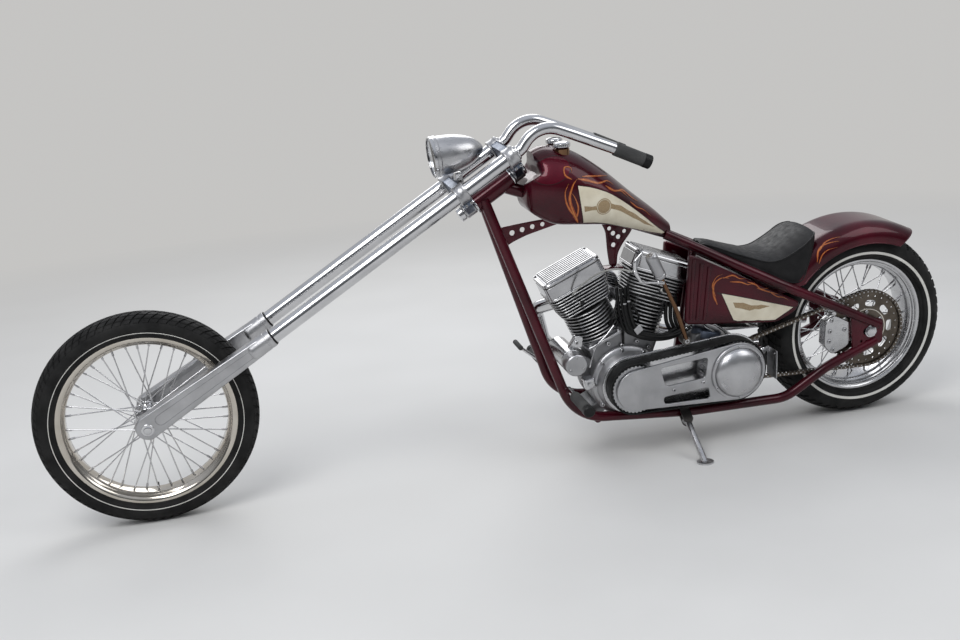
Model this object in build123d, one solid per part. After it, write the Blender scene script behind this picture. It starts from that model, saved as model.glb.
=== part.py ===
from build123d import *
import math
import os

# A long-forked chopper motorcycle with a rigid frame, leaning on its side stand.
# Millimetres and degrees. The machine is modelled upright in a build frame: the rear
# tyre stands below the rear axle, X points to the rear, -Y is the rider's left and
# Z is up. At the end every piece is leaned over to the left together and moved so
# that the origin is on the floor under the middle of the whole machine.

LEFT = -1
RIGHT = 1

# Stance
wheelbase = 2468.0
lean_angle = 5.0

# Fits
seat_gap = 0.3
running_gap = 1.0
moving_gap = 5.0

# Front wheel
front_tyre_radius = 350.0
front_tyre_half_width = 57.5
front_bead_radius = 266.7
front_rim_half_width = 44.0
front_flange_height = 13.5
front_hub_radius = 26.0
front_hub_half_length = 52.0
front_hub_flange_radius = 42.0
front_axle_radius = 10.0

# Rear wheel
rear_tyre_radius = 336.0
rear_tyre_half_width = 100.0
rear_bead_radius = 228.6
rear_rim_half_width = 77.0
rear_flange_height = 14.4
rear_hub_radius = 36.0
rear_hub_half_length = 84.0
rear_hub_flange_radius = 56.0
rear_axle_radius = 12.7
rear_axle_head_radius = 16.0
rear_spacer_radius = 14.0

# Both wheels
rim_lip_thickness = 4.4
rim_well_depth = 17.0
hub_flange_thickness = 6.0
spoke_count = 40
spoke_width = 4.2
spoke_inset = 3.0
spoke_elbow = 2.6
spoke_lacing_angle = 44.0
tyre_steps = 72
hub_flange_inset = 16.0

# Final drive
chain_pitch = 15.875
chain_line = 118.0
chain_plate_thickness = 2.4
chain_inner_gap = 9.6
chain_plate_height = 13.0
chain_roller_radius = 5.0
rear_sprocket_teeth = 54
sprocket_boss_radius = 48.0
front_sprocket_teeth = 23
sprocket_thickness = 6.0
sprocket_tooth_depth = 9.0
sprocket_window_count = 9
sprocket_window_place = 92.0
sprocket_window_length = 40.0
sprocket_window_width = 22.0

# Fork
fork_rise = 31.1
fork_tube_radius = 24.5
fork_tube_spacing = 192.0
axle_lead = 6.5
steering_offset = 83.5
leg_length = 477.0
leg_collar_length = 52.0
leg_collar_radius = 30.0
leg_foot_width = 78.0
leg_thickness = 40.0
leg_bevel = 6.0
leg_corner_radius = 13.0
leg_corner_offset = 14.0
leg_foot_rise = 4.0
leg_bore_depth = 60.0
axle_end_overhang = 34.0
lower_clamp_station = 1217.0
upper_clamp_station = 1412.0
clamp_height = 38.0
clamp_ring_radius = 33.0
clamp_bridge_width = 46.0
clamp_bridge_step = 6.0
clamp_boss_step = 3.0
stem_radius = 12.7
stem_boss_radius = 25.0
stem_nut_radius = 23.0
stem_nut_height = 22.0
steering_limit = 28.0

# Handlebars
bar_radius = 19.0
bar_bend_radius = 60.0
bar_stub = 22.0
grip_cap = 10.0
grip_radius = 23.0
grip_length = 120.0

# Headlight
lamp_radius = 66.5
lamp_length = 172.0
lamp_bezel_length = 22.0
lamp_glass_thickness = 4.0
lamp_glass_depth = 4.0
lamp_pitch = 5.4
lamp_bracket_half = 16.0
lamp_wall = 3.0
lamp_ledge = 6.0
lamp_drop = 4.4
lamp_out = 122.1

# Frame
frame_tube_radius = 17.0
backbone_radius = 22.0
head_tube_radius = 29.0
head_tube_bore = 20.0
rail_half_spacing = 148.0
cradle_half_spacing = 122.0
axle_plate_thickness = 10.0
gusset_thickness = 6.0
backbone_drop = 67.0
downtube_rise = 55.0
downtube_half_gap = 19.5
rail_end_rise = 19.0
cradle_end_drop = 38.0
seat_post_radius = 14.0

# Fuel tank, oil tank and seat
tank_waist = 0.42
tank_flat = 0.6
tank_tunnel_gap = 4.0
tank_tunnel_overrun = 40.0
tank_tail_x = -692.0
cap_share = 0.346
cap_side = 42.0
cap_radius = 27.0
cap_neck_radius = 19.0
cap_neck_z = 1076.0
cap_height = 22.0
oil_tank_half = 118.0
oil_tank_recess_half = 80.0
tyre_room_radial = 10.0
tyre_room_side = 12.0
seat_fender_gap = 1.0

# Engine
crank_x = -888.0
crank_z = 264.0
front_cylinder_lean = 23.5
rear_cylinder_lean = 21.5
crankcase_radius = 128.0
crankcase_half_width = 84.0
barrel_base = 176.0
barrel_fin_radius = 84.0
barrel_core_radius = 58.0
barrel_fin_count = 9
fin_pitch = 12.5
fin_thickness = 4.0
head_fin_count = 5
head_fin_pitch = 18.0
head_fin_thickness = 6.0
head_length = 218.0
head_width = 150.0
valley_shift = -3.0
valley_gap = 4.0
deck_length = 136.0
cam_cover_side = 120.0
pushrod_side = 96.0
pushrod_radius = 7.5
pushrod_boss_depth = 30.0
generator_x = -1082.0
generator_z = 366.0
generator_left = -150.0
generator_right = 60.0
generator_radius = 38.0
air_cleaner_z = 540.0
air_cleaner_inner = 114.0
air_cleaner_radius = 66.0
carburettor_radius = 25.0
pipe_radius = 24.0
pipe_wall = 3.0
pipe_open_depth = 60.0
gearbox_shaft_radius = 14.0
head_core_length = 150.0
head_core_width = 104.0
rocker_length = 214.0
rocker_width = 140.0
rocker_height = 60.0
rocker_rib_count = 8
rocker_rib_width = 7.0
rocker_rib_height = 7.0

# Primary drive
clutch_x = -525.0
clutch_z = 278.0
primary_back = 126.0
primary_back_thickness = 8.0
belt_inner = 137.0
belt_width = 46.0
belt_radius_front = 84.0
belt_radius_rear = 104.0
belt_thickness = 7.0
outer_plate_inner = 186.0
outer_plate_thickness = 9.0
outer_plate_radius = 71.0
outer_plate_radius_rear = 102.0
backing_radius_front = 101.0
backing_radius_rear = 116.0
dome_radius = 97.0
dome_height = 40.0

# Controls
lever_x = -697.0
lever_z = 402.0
lever_side = 166.0
lever_boss_radius = 15.0
lever_radius = 6.0
handle_radius = 20.0
handle_length = 96.0
clutch_lever_radius = 5.0
clutch_cable_radius = 3.0
hose_radius = 6.0
peg_x = -1103.0
peg_z = 272.0
peg_inner = 180.0
peg_outer = 330.0
peg_radius = 19.0
peg_arm_radius = 11.0
pedal_x = -1188.0
pedal_z = 344.0
pedal_side = 164.0
pedal_pad = 70.0
pedal_radius = 6.0

# Rear brake and axles
caliper_reach = 21.0
caliper_gap = 5.0
axle_running_gap = 0.1
axle_head_length = 12.0
axle_slot_length = 46.0
axle_slot_shift = -4.0

# Side stand
stand_pivot_y = -166.0
stand_pivot = Vector(-698.0, stand_pivot_y, 116.0)
stand_foot_x = -705.0
stand_foot_reach = 160.0
stand_leg_radius = 11.0
stand_eye_radius = 17.0
stand_eye_half = 6.0
stand_pin_radius = 7.0
stand_pin_gap = 0.1
stand_ear_length = 44.0
stand_ear_thickness = 7.0
stand_foot_radius = 28.0
stand_foot_thickness = 6.0

# Rear fender
fender_gap = 44.0
fender_radius = rear_tyre_radius + fender_gap
fender_half_width = 124.0
fender_corner = 58.0
fender_drop = 70.0
fender_wall = 3.0
fender_front_angle = 66.0
fender_rear_angle = 34.0

# Plate holder
holder_x = -391.0
holder_side = 145.0
holder_width = 70.0
holder_height = 102.0
holder_top_z = 338.0
holder_thickness = 3.0
holder_bolt_radius = 12.0
holder_angle = 19.0


def wheel_drop(profile):
    """Depth of the lowest point of a leaned tyre below its axle."""
    lean = math.radians(lean_angle)
    return max(radius * math.cos(lean) + half * math.sin(lean) for half, radius in profile)


# Tyre outlines, from the middle of the tread to the bead.
# Columns: distance from the centre plane, radius.
front_tyre_rows = (
    (14.0, front_tyre_radius),
    (42.0, front_tyre_radius - 11.0),
    (front_tyre_half_width, front_tyre_radius - 36.0),
    (front_tyre_half_width - 4.0, front_bead_radius + 26.0),
    (front_rim_half_width - 5.0, front_bead_radius + front_flange_height + 2.0),
    (front_rim_half_width - 5.0, front_bead_radius + seat_gap),
)
rear_tyre_rows = (
    (22.0, rear_tyre_radius),
    (66.0, rear_tyre_radius - 13.0),
    (rear_tyre_half_width - 4.0, rear_tyre_radius - 38.0),
    (rear_tyre_half_width, rear_bead_radius + 36.0),
    (rear_rim_half_width - 5.0, rear_bead_radius + rear_flange_height + 2.0),
    (rear_rim_half_width - 5.0, rear_bead_radius + seat_gap),
)

lean_cos = math.cos(math.radians(lean_angle))
lean_sin = math.sin(math.radians(lean_angle))
rear_axle_z = rear_tyre_radius
floor_z = rear_axle_z * lean_cos - wheel_drop(rear_tyre_rows)
front_axle_z = (floor_z + wheel_drop(front_tyre_rows)) / lean_cos
rear_axle = Vector(0, 0, rear_axle_z)
front_axle = Vector(-wheelbase, 0, front_axle_z)

# Fork directions: along the tubes upward, and square to them towards the front.
fork_along = Vector(math.cos(math.radians(fork_rise)), 0, math.sin(math.radians(fork_rise)))
fork_out = Vector(-fork_along.Z, 0, fork_along.X)
fork_side = Plane(origin=front_axle, x_dir=fork_along, z_dir=(0, -1, 0))
steering_line = -axle_lead - steering_offset


def on_fork(station, out, side=0.0):
    """Point at a distance along the fork, out from the axle line and to one side."""
    return front_axle + fork_along * station + fork_out * out + Vector(0, side, 0)


def slab(profile, y_low, y_high):
    """Extrude a profile drawn in X and Z between two Y planes."""
    return extrude(Plane.XZ.offset(-y_high) * profile, amount=y_high - y_low)


def fork_slab(profile, y_low, y_high):
    """Extrude a profile drawn in fork coordinates between two Y planes."""
    return extrude(fork_side.offset(-y_high) * profile, amount=y_high - y_low)


def rod(start, end, radius):
    """Round bar between two points."""
    line = Line(start, end)
    return extrude(Plane(origin=line @ 0, z_dir=line % 0) * Circle(radius), amount=line.length)


def pipe(points, bend_radii, radius):
    """Round bar along straight runs joined by arcs."""
    path = FilletPolyline(*points, radius=bend_radii)
    return sweep(Plane(origin=path @ 0, z_dir=path % 0) * Circle(radius), path=path)


def turned(rows):
    """Solid of revolution about local Z from rows of radius and height."""
    return revolve(Plane.XZ * make_face(Polyline(*rows, close=True)), axis=Axis.Z)


def to_wheel(solid, centre):
    """Put a piece turned about local Z on an axle, with local Z to the left."""
    return Pos(centre) * Rot(90, 0, 0) * solid


def wheel_tyre(rows, centre):
    """Tyre in flat steps from its outline rows, mirrored about the centre plane."""
    right = [(radius, half) for half, radius in rows]
    left = [(radius, -half) for half, radius in reversed(rows)]
    outline = right + left
    faces = []
    for step in range(tyre_steps):
        angles = [math.tau * (step + share) / tyre_steps for share in (0.0, 1.0)]
        for (radius, height), (next_radius, next_height) in zip(outline, outline[1:] + outline[:1]):
            near = [(radius * math.cos(a), radius * math.sin(a), height) for a in angles]
            far = [(next_radius * math.cos(a), next_radius * math.sin(a), next_height) for a in reversed(angles)]
            faces.append(Face(Wire.make_polygon(near + far, close=True)))
    return to_wheel(Solid(Shell(faces)), centre)


def wheel_rim(bead_radius, half_width, flange, centre):
    """Deep rim with two turned lips and a stepped well."""
    lip = half_width - rim_lip_thickness
    well = bead_radius - rim_well_depth
    rows = (
        (bead_radius, lip),
        (bead_radius + flange, lip),
        (bead_radius + flange, half_width),
        (bead_radius - 1.0, half_width),
        (well, half_width - 20.0),
    )
    lower = [(radius, -height) for radius, height in reversed(rows)]
    return to_wheel(turned(list(rows) + lower), centre)


def wheel_hub(radius, half_length, flange_radius, bore, centre):
    """Turned hub with two spoke flanges and a running bore."""
    outside = half_length - hub_flange_inset
    rows = (
        (bore, half_length),
        (radius * 0.8, half_length),
        (radius * 0.8, outside),
        (flange_radius, outside),
        (flange_radius, outside - hub_flange_thickness),
        (flange_radius - spoke_inset - spoke_width, outside - hub_flange_thickness),
        (radius, outside - hub_flange_thickness - hub_flange_inset / 2),
    )
    lower = [(r, -h) for r, h in reversed(rows)]
    return to_wheel(turned(list(rows) + lower), centre)


def wheel_spokes(flange_radius, flange_height, rim_radius, rim_height, centre):
    """Crossed wire spokes from both faces of both hub flanges to the rim well."""
    spokes = []
    pitch = 360.0 / spoke_count
    face_step = (hub_flange_thickness + spoke_width) / 2 + spoke_elbow
    for index in range(spoke_count):
        side = 1 if index % 2 == 0 else -1
        crossing = 1 if index % 4 < 2 else -1
        rim_angle = math.radians(index * pitch)
        hub_angle = math.radians(index * pitch + crossing * spoke_lacing_angle)
        start = Vector(
            flange_radius * math.cos(hub_angle),
            flange_radius * math.sin(hub_angle),
            side * (flange_height + crossing * face_step),
        )
        end = Vector(rim_radius * math.cos(rim_angle), rim_radius * math.sin(rim_angle), side * rim_height)
        line = Line(start, end)
        section = Plane(origin=line @ 0, z_dir=line % 0) * Rectangle(spoke_width, spoke_width)
        spokes.append(extrude(section, amount=line.length))
    return to_wheel(Compound(children=spokes), centre)


def sprocket_pitch_radius(teeth):
    """Radius through the roller centres."""
    return chain_pitch / 2 / math.sin(math.pi / teeth)


def toothed_disc(teeth, bore, thickness):
    """Sprocket blank with a straight-flanked tooth at every pitch."""
    tip = sprocket_pitch_radius(teeth) + sprocket_tooth_depth / 2
    root = tip - sprocket_tooth_depth
    corners = []
    for tooth in range(teeth):
        # Columns: share of a pitch from the tooth's middle, radius.
        for share, radius in ((-0.30, root), (-0.12, tip), (0.12, tip), (0.30, root)):
            angle = math.tau * (tooth + share) / teeth
            corners.append((radius * math.cos(angle), radius * math.sin(angle)))
    blank = make_face(Polyline(*corners, close=True)) - Circle(bore)
    return extrude(blank, amount=thickness / 2, both=True)


def chain_loop(centres_radii, height):
    """Closed belt outline round two wheels, grown by a height."""
    (near, near_radius), (far, far_radius) = centres_radii
    near_circle = Pos(near.X, near.Z) * Circle(near_radius + height)
    far_circle = Pos(far.X, far.Z) * Circle(far_radius + height)
    return make_hull(near_circle.edges() + far_circle.edges())


def final_drive(clutch, rear):
    """Roller chain as one fixed loop with every free roller in place."""
    radii = (sprocket_pitch_radius(front_sprocket_teeth), sprocket_pitch_radius(rear_sprocket_teeth))
    loops = ((clutch, radii[0]), (rear, radii[1]))
    band = chain_loop(loops, chain_plate_height / 2) - chain_loop(loops, -chain_plate_height / 2)
    inner = chain_inner_gap / 2
    outer = inner + chain_plate_thickness
    plates = slab(band, -chain_line + inner, -chain_line + outer)
    plates += slab(band, -chain_line - outer, -chain_line - inner)
    span = rear - clutch
    length = math.hypot(span.X, span.Z)
    slope = math.atan2(span.Z, span.X)
    spread = math.asin((radii[1] - radii[0]) / length)
    run_length = length * math.cos(spread)
    reach = sprocket_tooth_depth / 2 + chain_roller_radius + running_gap
    first = math.sqrt((radii[0] + reach) ** 2 - radii[0] ** 2)
    last = run_length - math.sqrt((radii[1] + reach) ** 2 - radii[1] ** 2)
    roller_count = int((last - first) / chain_pitch) + 1
    for side in (1, -1):
        direction = slope + side * spread
        normal = direction + side * math.pi / 2
        start_x = clutch.X + radii[0] * math.cos(normal)
        start_z = clutch.Z + radii[0] * math.sin(normal)
        for index in range(roller_count):
            along = first + index * chain_pitch
            place = Pos(start_x + along * math.cos(direction), start_z + along * math.sin(direction))
            roller = place * RegularPolygon(chain_roller_radius, 4)
            plates += slab(roller, -chain_line - inner, -chain_line + inner)
    return plates


def fork_leg(side):
    """Machined lower leg: bevelled flat blade with a round collar for the tube."""
    middle = side * fork_tube_spacing / 2
    blade_end = leg_length - leg_collar_length
    half_foot = leg_foot_width / 2
    blade = make_hull(
        (Pos(half_foot - axle_end_overhang, leg_foot_rise) * Circle(half_foot)).edges()
        + (Pos(blade_end, leg_corner_offset - axle_lead) * Circle(leg_corner_radius)).edges()
        + (Pos(blade_end, -leg_corner_offset - axle_lead) * Circle(leg_corner_radius)).edges()
    )
    y_low = middle - leg_thickness / 2
    leg = fork_slab(blade, y_low, y_low + leg_thickness)
    flat_edges = leg.edges().filter_by(lambda e: abs(e.center().Y - middle) > leg_thickness / 2 - 0.1)
    leg = chamfer(flat_edges, leg_bevel)
    collar_start = on_fork(blade_end - leg_collar_radius, -axle_lead, middle)
    leg += rod(collar_start, on_fork(leg_length, -axle_lead, middle), leg_collar_radius)
    bore_start = on_fork(leg_length - leg_bore_depth, -axle_lead, middle)
    leg -= rod(bore_start, on_fork(leg_length + 1, -axle_lead, middle), fork_tube_radius + seat_gap)
    axle_hole = Pos(0, 0) * Circle(front_axle_radius + seat_gap)
    return leg - fork_slab(axle_hole, y_low - 1, y_low + leg_thickness + 1)


def fork_tube(side):
    """Straight fork tube from the leg's bore through both clamps."""
    middle = side * fork_tube_spacing / 2
    low = on_fork(leg_length - leg_bore_depth + seat_gap, -axle_lead, middle)
    high = on_fork(upper_clamp_station + clamp_height / 2, -axle_lead, middle)
    return rod(low, high, fork_tube_radius)


# Handlebar route behind the short stub that carries on the fork tube's line.
# Columns: distance behind the stub, outside the tube's line and above the stub.
handlebar_rows = (
    (57.5, 1.0, 77.7),
    (170.5, 5.0, 31.7),
    (295.5, 12.8, -22.6),
    (412.5, 26.0, -78.3),
)
handlebar_bends = (bar_bend_radius, bar_bend_radius, 90.0, 90.0)


def bar_points(side):
    """Corners of one handlebar from the stub's end to the grip's end."""
    top = upper_clamp_station + clamp_height / 2
    stub = on_fork(top + bar_stub, -axle_lead, side * fork_tube_spacing / 2)
    return [stub] + [stub + Vector(back, side * out, up) for back, out, up in handlebar_rows]


def handlebar(side):
    """Bar that carries the fork tube's line on, then bends straight back."""
    top = upper_clamp_station + clamp_height / 2
    start = on_fork(top + seat_gap, -axle_lead, side * fork_tube_spacing / 2)
    return pipe([start] + bar_points(side), handlebar_bends, bar_radius)


def grip(side):
    """Rubber sleeve over the bar's end, closed at the end."""
    before, end = bar_points(side)[-2:]
    along = (end - before).normalized()
    start = end - along * grip_length
    sleeve = rod(start, end + along * grip_cap, grip_radius)
    return sleeve - rod(start - along, end + along * seat_gap, bar_radius + seat_gap)


def triple_clamp(station):
    """Clamp with a ring on each tube, a bridge and the stem's boss."""
    half = clamp_height / 2
    section = Plane(origin=on_fork(station, 0), z_dir=fork_along, x_dir=(0, 1, 0))
    reach = fork_tube_spacing / 2
    rings = [Pos(side * reach, -axle_lead) for side in (LEFT, RIGHT)]
    boss = Pos(0, steering_line) * Circle(stem_boss_radius - clamp_boss_step)
    edges = boss.edges()
    for ring in rings:
        edges += (ring * Circle(clamp_bridge_width / 2)).edges()
    stem_hole = section * Pos(0, steering_line) * Circle(stem_radius + seat_gap)
    solid = extrude(section * make_hull(edges), amount=half - clamp_bridge_step, both=True)
    solid += extrude(section * Pos(0, steering_line) * Circle(stem_boss_radius), amount=half, both=True)
    for ring in rings:
        solid += extrude(section * ring * Circle(clamp_ring_radius), amount=half, both=True)
    for ring in rings:
        solid -= extrude(section * ring * Circle(fork_tube_radius + seat_gap), amount=half + 1, both=True)
    return solid - extrude(stem_hole, amount=half + 1, both=True)


def steering_stem():
    """Stem through the head tube with a nut under the lower clamp and one on top."""
    bottom = lower_clamp_station - clamp_height / 2
    top = upper_clamp_station + clamp_height / 2
    foot = on_fork(bottom - stem_nut_height, steering_line)
    head = on_fork(top + stem_nut_height / 2, steering_line)
    stem = rod(foot, head, stem_radius)
    stem += rod(foot, on_fork(bottom, steering_line), stem_nut_radius)
    return stem + rod(on_fork(top, steering_line), head, stem_nut_radius - 3)


def head_tube():
    """Steering head between the clamps, bored for the bearings and stem."""
    low = lower_clamp_station + clamp_height / 2 + running_gap
    high = upper_clamp_station - clamp_height / 2 - running_gap
    outer = rod(on_fork(low, steering_line), on_fork(high, steering_line), head_tube_radius)
    return outer - rod(on_fork(low - 1, steering_line), on_fork(high + 1, steering_line), head_tube_bore)


def head_cutter():
    """Body of the head tube, used to mitre the tubes that meet it."""
    low = lower_clamp_station - clamp_height
    high = upper_clamp_station + clamp_height
    return rod(on_fork(low, steering_line), on_fork(high, steering_line), head_tube_radius)


backbone_start = on_fork(upper_clamp_station - backbone_drop, steering_line)
backbone_end = Vector(-700.0, 0, 744.0)
rail_start = Vector(-712.0, 22.0, 742.0)
rail_bend = Vector(-330.0, rail_half_spacing, 542.0)
rail_end = Vector(34.0, rail_half_spacing, rear_axle_z + rail_end_rise)
downtube_start = on_fork(lower_clamp_station + downtube_rise, steering_line)
downtube_end = Vector(-1127.0, 99.0, 294.0)
cradle_corner = Vector(-1087.0, 113.0, 166.0)
cradle_mid = Vector(-673.0, cradle_half_spacing, 129.0)
cradle_rise = Vector(-312.0, 134.0, 128.0)
cradle_knee = Vector(-165.0, rail_half_spacing, 226.0)
cradle_end = Vector(24.0, rail_half_spacing, rear_axle_z - cradle_end_drop)
seat_post_top = Vector(-600.0, 0, 684.0)
seat_post_foot = Vector(-690.0, 0, 134.0)


def sided(point, side):
    """A point given on the right, put on the wanted side."""
    return Vector(point.X, side * point.Y, point.Z)


def backbone():
    """Main tube through the fuel tank's tunnel, mitred to the head tube."""
    return rod(backbone_start, backbone_end, backbone_radius) - head_cutter()


def downtube_bar(side):
    """Round bar of a downtube before it is mitred."""
    start = Vector(downtube_start.X, side * downtube_half_gap, downtube_start.Z)
    return rod(start, sided(downtube_end, side), frame_tube_radius)


def downtube(side):
    """Front tube from the steering head to the cradle."""
    return downtube_bar(side) - head_cutter()


def cradle_pipe(side):
    """Bent bar of the lower rail before it is mitred to the downtube."""
    bends = (158.0, 900.0, 130.0, 220.0)
    corners = (downtube_end, cradle_corner, cradle_mid, cradle_rise, cradle_knee, cradle_end)
    return pipe([sided(p, side) for p in corners], bends, frame_tube_radius)


def lower_rail(side):
    """Cradle tube under the engine and up to the rear axle."""
    return cradle_pipe(side) - downtube_bar(side)


def upper_rail(side):
    """Straight rear tube from the tank's tail down to the rear axle."""
    points = [sided(p, side) for p in (rail_start, rail_bend, rail_end)]
    rail = pipe(points, (380.0,), frame_tube_radius)
    return rail - rod(backbone_start, backbone_end, backbone_radius + seat_gap)


def seat_post():
    """Post behind the engine with the cross tubes that carry engine and gearbox."""
    post = rod(seat_post_top, seat_post_foot, seat_post_radius)
    # Columns: X, Z, reach to each side, radius.
    for x, z, reach, radius in (
        (seat_post_top.X, seat_post_top.Z, 60.0, 13.0),
        (-1000.0, 134.0, 118.0, 14.0),
        (seat_post_foot.X, seat_post_foot.Z, 122.0, 14.0),
        (-480.0, 134.0, 124.0, 14.0),
    ):
        post += rod(Vector(x, -reach, z), Vector(x, reach, z), radius)
    for side in (LEFT, RIGHT):
        post -= lower_rail(side)
        post -= upper_rail(side)
    return post


def axle_plate(side):
    """Slotted plate between the ends of the upper and lower rails."""
    # Columns: X, height above the axle.
    outline = ((-78.0, 79.0), (48.0, 36.0), (48.0, -48.0), (-66.0, -66.0))
    slot = Pos(axle_slot_shift, 0) * SlotOverall(axle_slot_length, 2 * rear_axle_radius + 2 * seat_gap)
    plate_face = Pos(0, rear_axle_z) * (make_face(Polyline(*outline, close=True)) - slot)
    middle = side * rail_half_spacing
    plate = slab(plate_face, middle - axle_plate_thickness / 2, middle + axle_plate_thickness / 2)
    return plate - upper_rail(side) - lower_rail(side)


def perforated(outline, holes):
    """Flat gusset on the centre plane with a row of round holes."""
    face = make_face(Polyline(*outline, close=True))
    for x, z, radius in holes:
        face -= Pos(x, z) * Circle(radius)
    return slab(face, -gusset_thickness / 2, gusset_thickness / 2)


def tank_brackets():
    """Drilled plates that tie the tank to the downtubes and the engine to the backbone."""
    # Columns: X and Z from the downtubes' top.
    front_outline = (
        (40.0, -103.0),
        (202.0, -91.0),
        (254.0, -99.0),
        (250.0, -117.0),
        (152.0, -131.0),
        (64.0, -169.0),
    )
    # Columns: X and Z from the downtubes' top, radius.
    front_holes = ((92.0, -124.0, 9.0), (127.0, -117.0, 8.5), (162.0, -111.0, 8.0), (197.0, -107.0, 7.5))
    front = perforated(front_outline, front_holes)
    front += rod(Vector(44.0, -40.0, -133.0), Vector(44.0, 40.0, -133.0), 11.0)
    front = Pos(downtube_start.X, 0, downtube_start.Z) * front
    for side in (LEFT, RIGHT):
        front -= downtube(side)
    # Columns: X, Z.
    rear_outline = (
        (-975.0, 862.0),
        (-815.0, 790.0),
        (-832.0, 748.0),
        (-874.0, 700.0),
        (-880.0, 646.0),
        (-905.0, 646.0),
        (-912.0, 770.0),
    )
    # Columns: X, Z, radius.
    rear_holes = (
        (-903.0, 780.0, 7.0),
        (-890.0, 762.0, 8.0),
        (-872.0, 748.0, 8.0),
        (-890.0, 722.0, 8.0),
        (-850.0, 765.0, 7.0),
    )
    rear = perforated(rear_outline, rear_holes)
    rear += Pos(-896.0, 0, 644.0) * Box(64, 44, 8)
    rear -= rod(backbone_start, backbone_end, backbone_radius)
    return Compound(children=[front, rear])


def lamp_place():
    """Location of the lamp's rim centre with local Z towards the lamp's tail."""
    pitch = math.radians(lamp_pitch)
    centre = on_fork(lower_clamp_station - lamp_drop, lamp_out)
    return Plane(origin=centre, x_dir=(0, 1, 0), z_dir=(math.cos(pitch), 0, math.sin(pitch)))


def lamp_bowl(wall):
    """Outline of the lamp's bowl behind its bezel, set in by a wall."""
    # Columns: how much slimmer than the rim, share of the lamp's length.
    rows = ((3.5, 0.15), (4.5, 0.35), (11.5, 0.58), (25.5, 0.78), (44.5, 0.92))
    bowl = [(lamp_radius - slimmer - wall, share * lamp_length) for slimmer, share in rows]
    return bowl + [(0.0, lamp_length - wall)]


def headlight_shell():
    """Bullet lamp body with its bezel and the bracket on the lower clamp."""
    # Columns: radius, distance behind the rim.
    bezel = ((lamp_radius - lamp_ledge, 0.0), (lamp_radius, 2.0), (lamp_radius, lamp_bezel_length))
    shell = lamp_place() * turned(list(bezel) + lamp_bowl(0.0) + lamp_bowl(lamp_wall)[::-1])
    foot = lower_clamp_station + clamp_height / 2 - clamp_bridge_step
    # Columns: station along the fork, distance out from the axle line.
    profile = ((foot, -14.0), (foot, 12.0), (foot + 16.0, 40.0), (foot + 40.0, 30.0), (foot + 22.0, -14.0))
    bracket = fork_slab(make_face(Polyline(*profile, close=True)), -lamp_bracket_half, lamp_bracket_half)
    room = turned([(0.0, 0.0), (lamp_radius - lamp_wall, 0.0)] + lamp_bowl(lamp_wall / 2))
    return shell + (bracket - lamp_place() * room)


def headlight_lens():
    """Clear glass disc inside the bezel."""
    glass = extrude(Circle(lamp_radius - lamp_ledge - seat_gap), amount=lamp_glass_thickness)
    return lamp_place() * Pos(0, 0, lamp_glass_depth) * glass


def tank_section(x, bottom, top, half):
    """One closed section of the fuel tank, flat below and domed above."""
    middle = bottom + tank_waist * (top - bottom)
    flat = tank_flat * half
    corner = (flat + 0.74 * (half - flat), bottom + 0.26 * (middle - bottom))
    shoulder = (0.74 * half, middle + 0.70 * (top - middle))
    edges = [
        Line((-flat, bottom), (flat, bottom)),
        ThreePointArc((flat, bottom), corner, (half, middle)),
        ThreePointArc((half, middle), shoulder, (0, top)),
        ThreePointArc((0, top), (-shoulder[0], shoulder[1]), (-half, middle)),
        ThreePointArc((-half, middle), (-corner[0], corner[1]), (-flat, bottom)),
    ]
    return Plane(origin=(x, 0, 0), x_dir=(0, 1, 0), z_dir=(1, 0, 0)) * make_face(edges)


# Fuel tank sections from the steering head back.
# Columns: share of the way from the head to the tank's tail, bottom Z, top Z, half width.
tank_rows = (
    (0.114, 905.0, 1030.0, 58.0),
    (0.155, 876.0, 1060.0, 96.0),
    (0.259, 838.0, 1082.0, 122.0),
    (0.415, 826.0, 1058.0, 130.0),
    (0.588, 812.0, 985.0, 118.0),
    (0.761, 775.0, 900.0, 86.0),
    (0.900, 747.0, 832.0, 48.0),
    (1.0, 728.0, 776.0, 20.0),
)


def tank_x(share):
    """X at a share of the way from the steering head to the tank's tail."""
    return backbone_start.X + share * (tank_tail_x - backbone_start.X)


def steering_clearance():
    """Room that the upper clamp sweeps as the fork turns."""
    low = upper_clamp_station - clamp_height
    high = upper_clamp_station + clamp_height / 2 + stem_nut_height
    section = Plane(origin=on_fork(low, steering_line), z_dir=fork_along, x_dir=(0, 1, 0))
    rear = stem_boss_radius + moving_gap + 1.0
    swing = fork_tube_spacing / 2 + 2 * clamp_ring_radius + moving_gap
    corners = [(rear, -rear), (swing, -10.0), (swing, 90.0)]
    corners += [(-x, z) for x, z in reversed(corners)]
    return extrude(section * make_face(Polyline(*corners, close=True)), amount=high - low)


def tank_block():
    """Outside form of the fuel tank."""
    return loft([tank_section(tank_x(share), *sizes) for share, *sizes in tank_rows], ruled=True)


def fuel_tank():
    """Teardrop tank with an open tunnel over the backbone."""
    rise = backbone_radius + tank_tunnel_gap
    along = (backbone_end - backbone_start).normalized() * tank_tunnel_overrun
    start = backbone_start - along
    end = backbone_end + along
    outline = ((start.X, start.Z + rise), (end.X, end.Z + rise), (end.X, 600.0), (start.X, 600.0))
    tank = tank_block() - slab(make_face(Polyline(*outline, close=True)), -rise, rise)
    for side in (LEFT, RIGHT):
        rail_low = sided(rail_bend, side)
        rail_high = sided(rail_start, side)
        past_rail = (rail_high - rail_low).normalized() * tank_tunnel_overrun
        tank -= rod(rail_high + past_rail, rail_low, frame_tube_radius + running_gap)
    return tank - steering_clearance()


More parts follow.
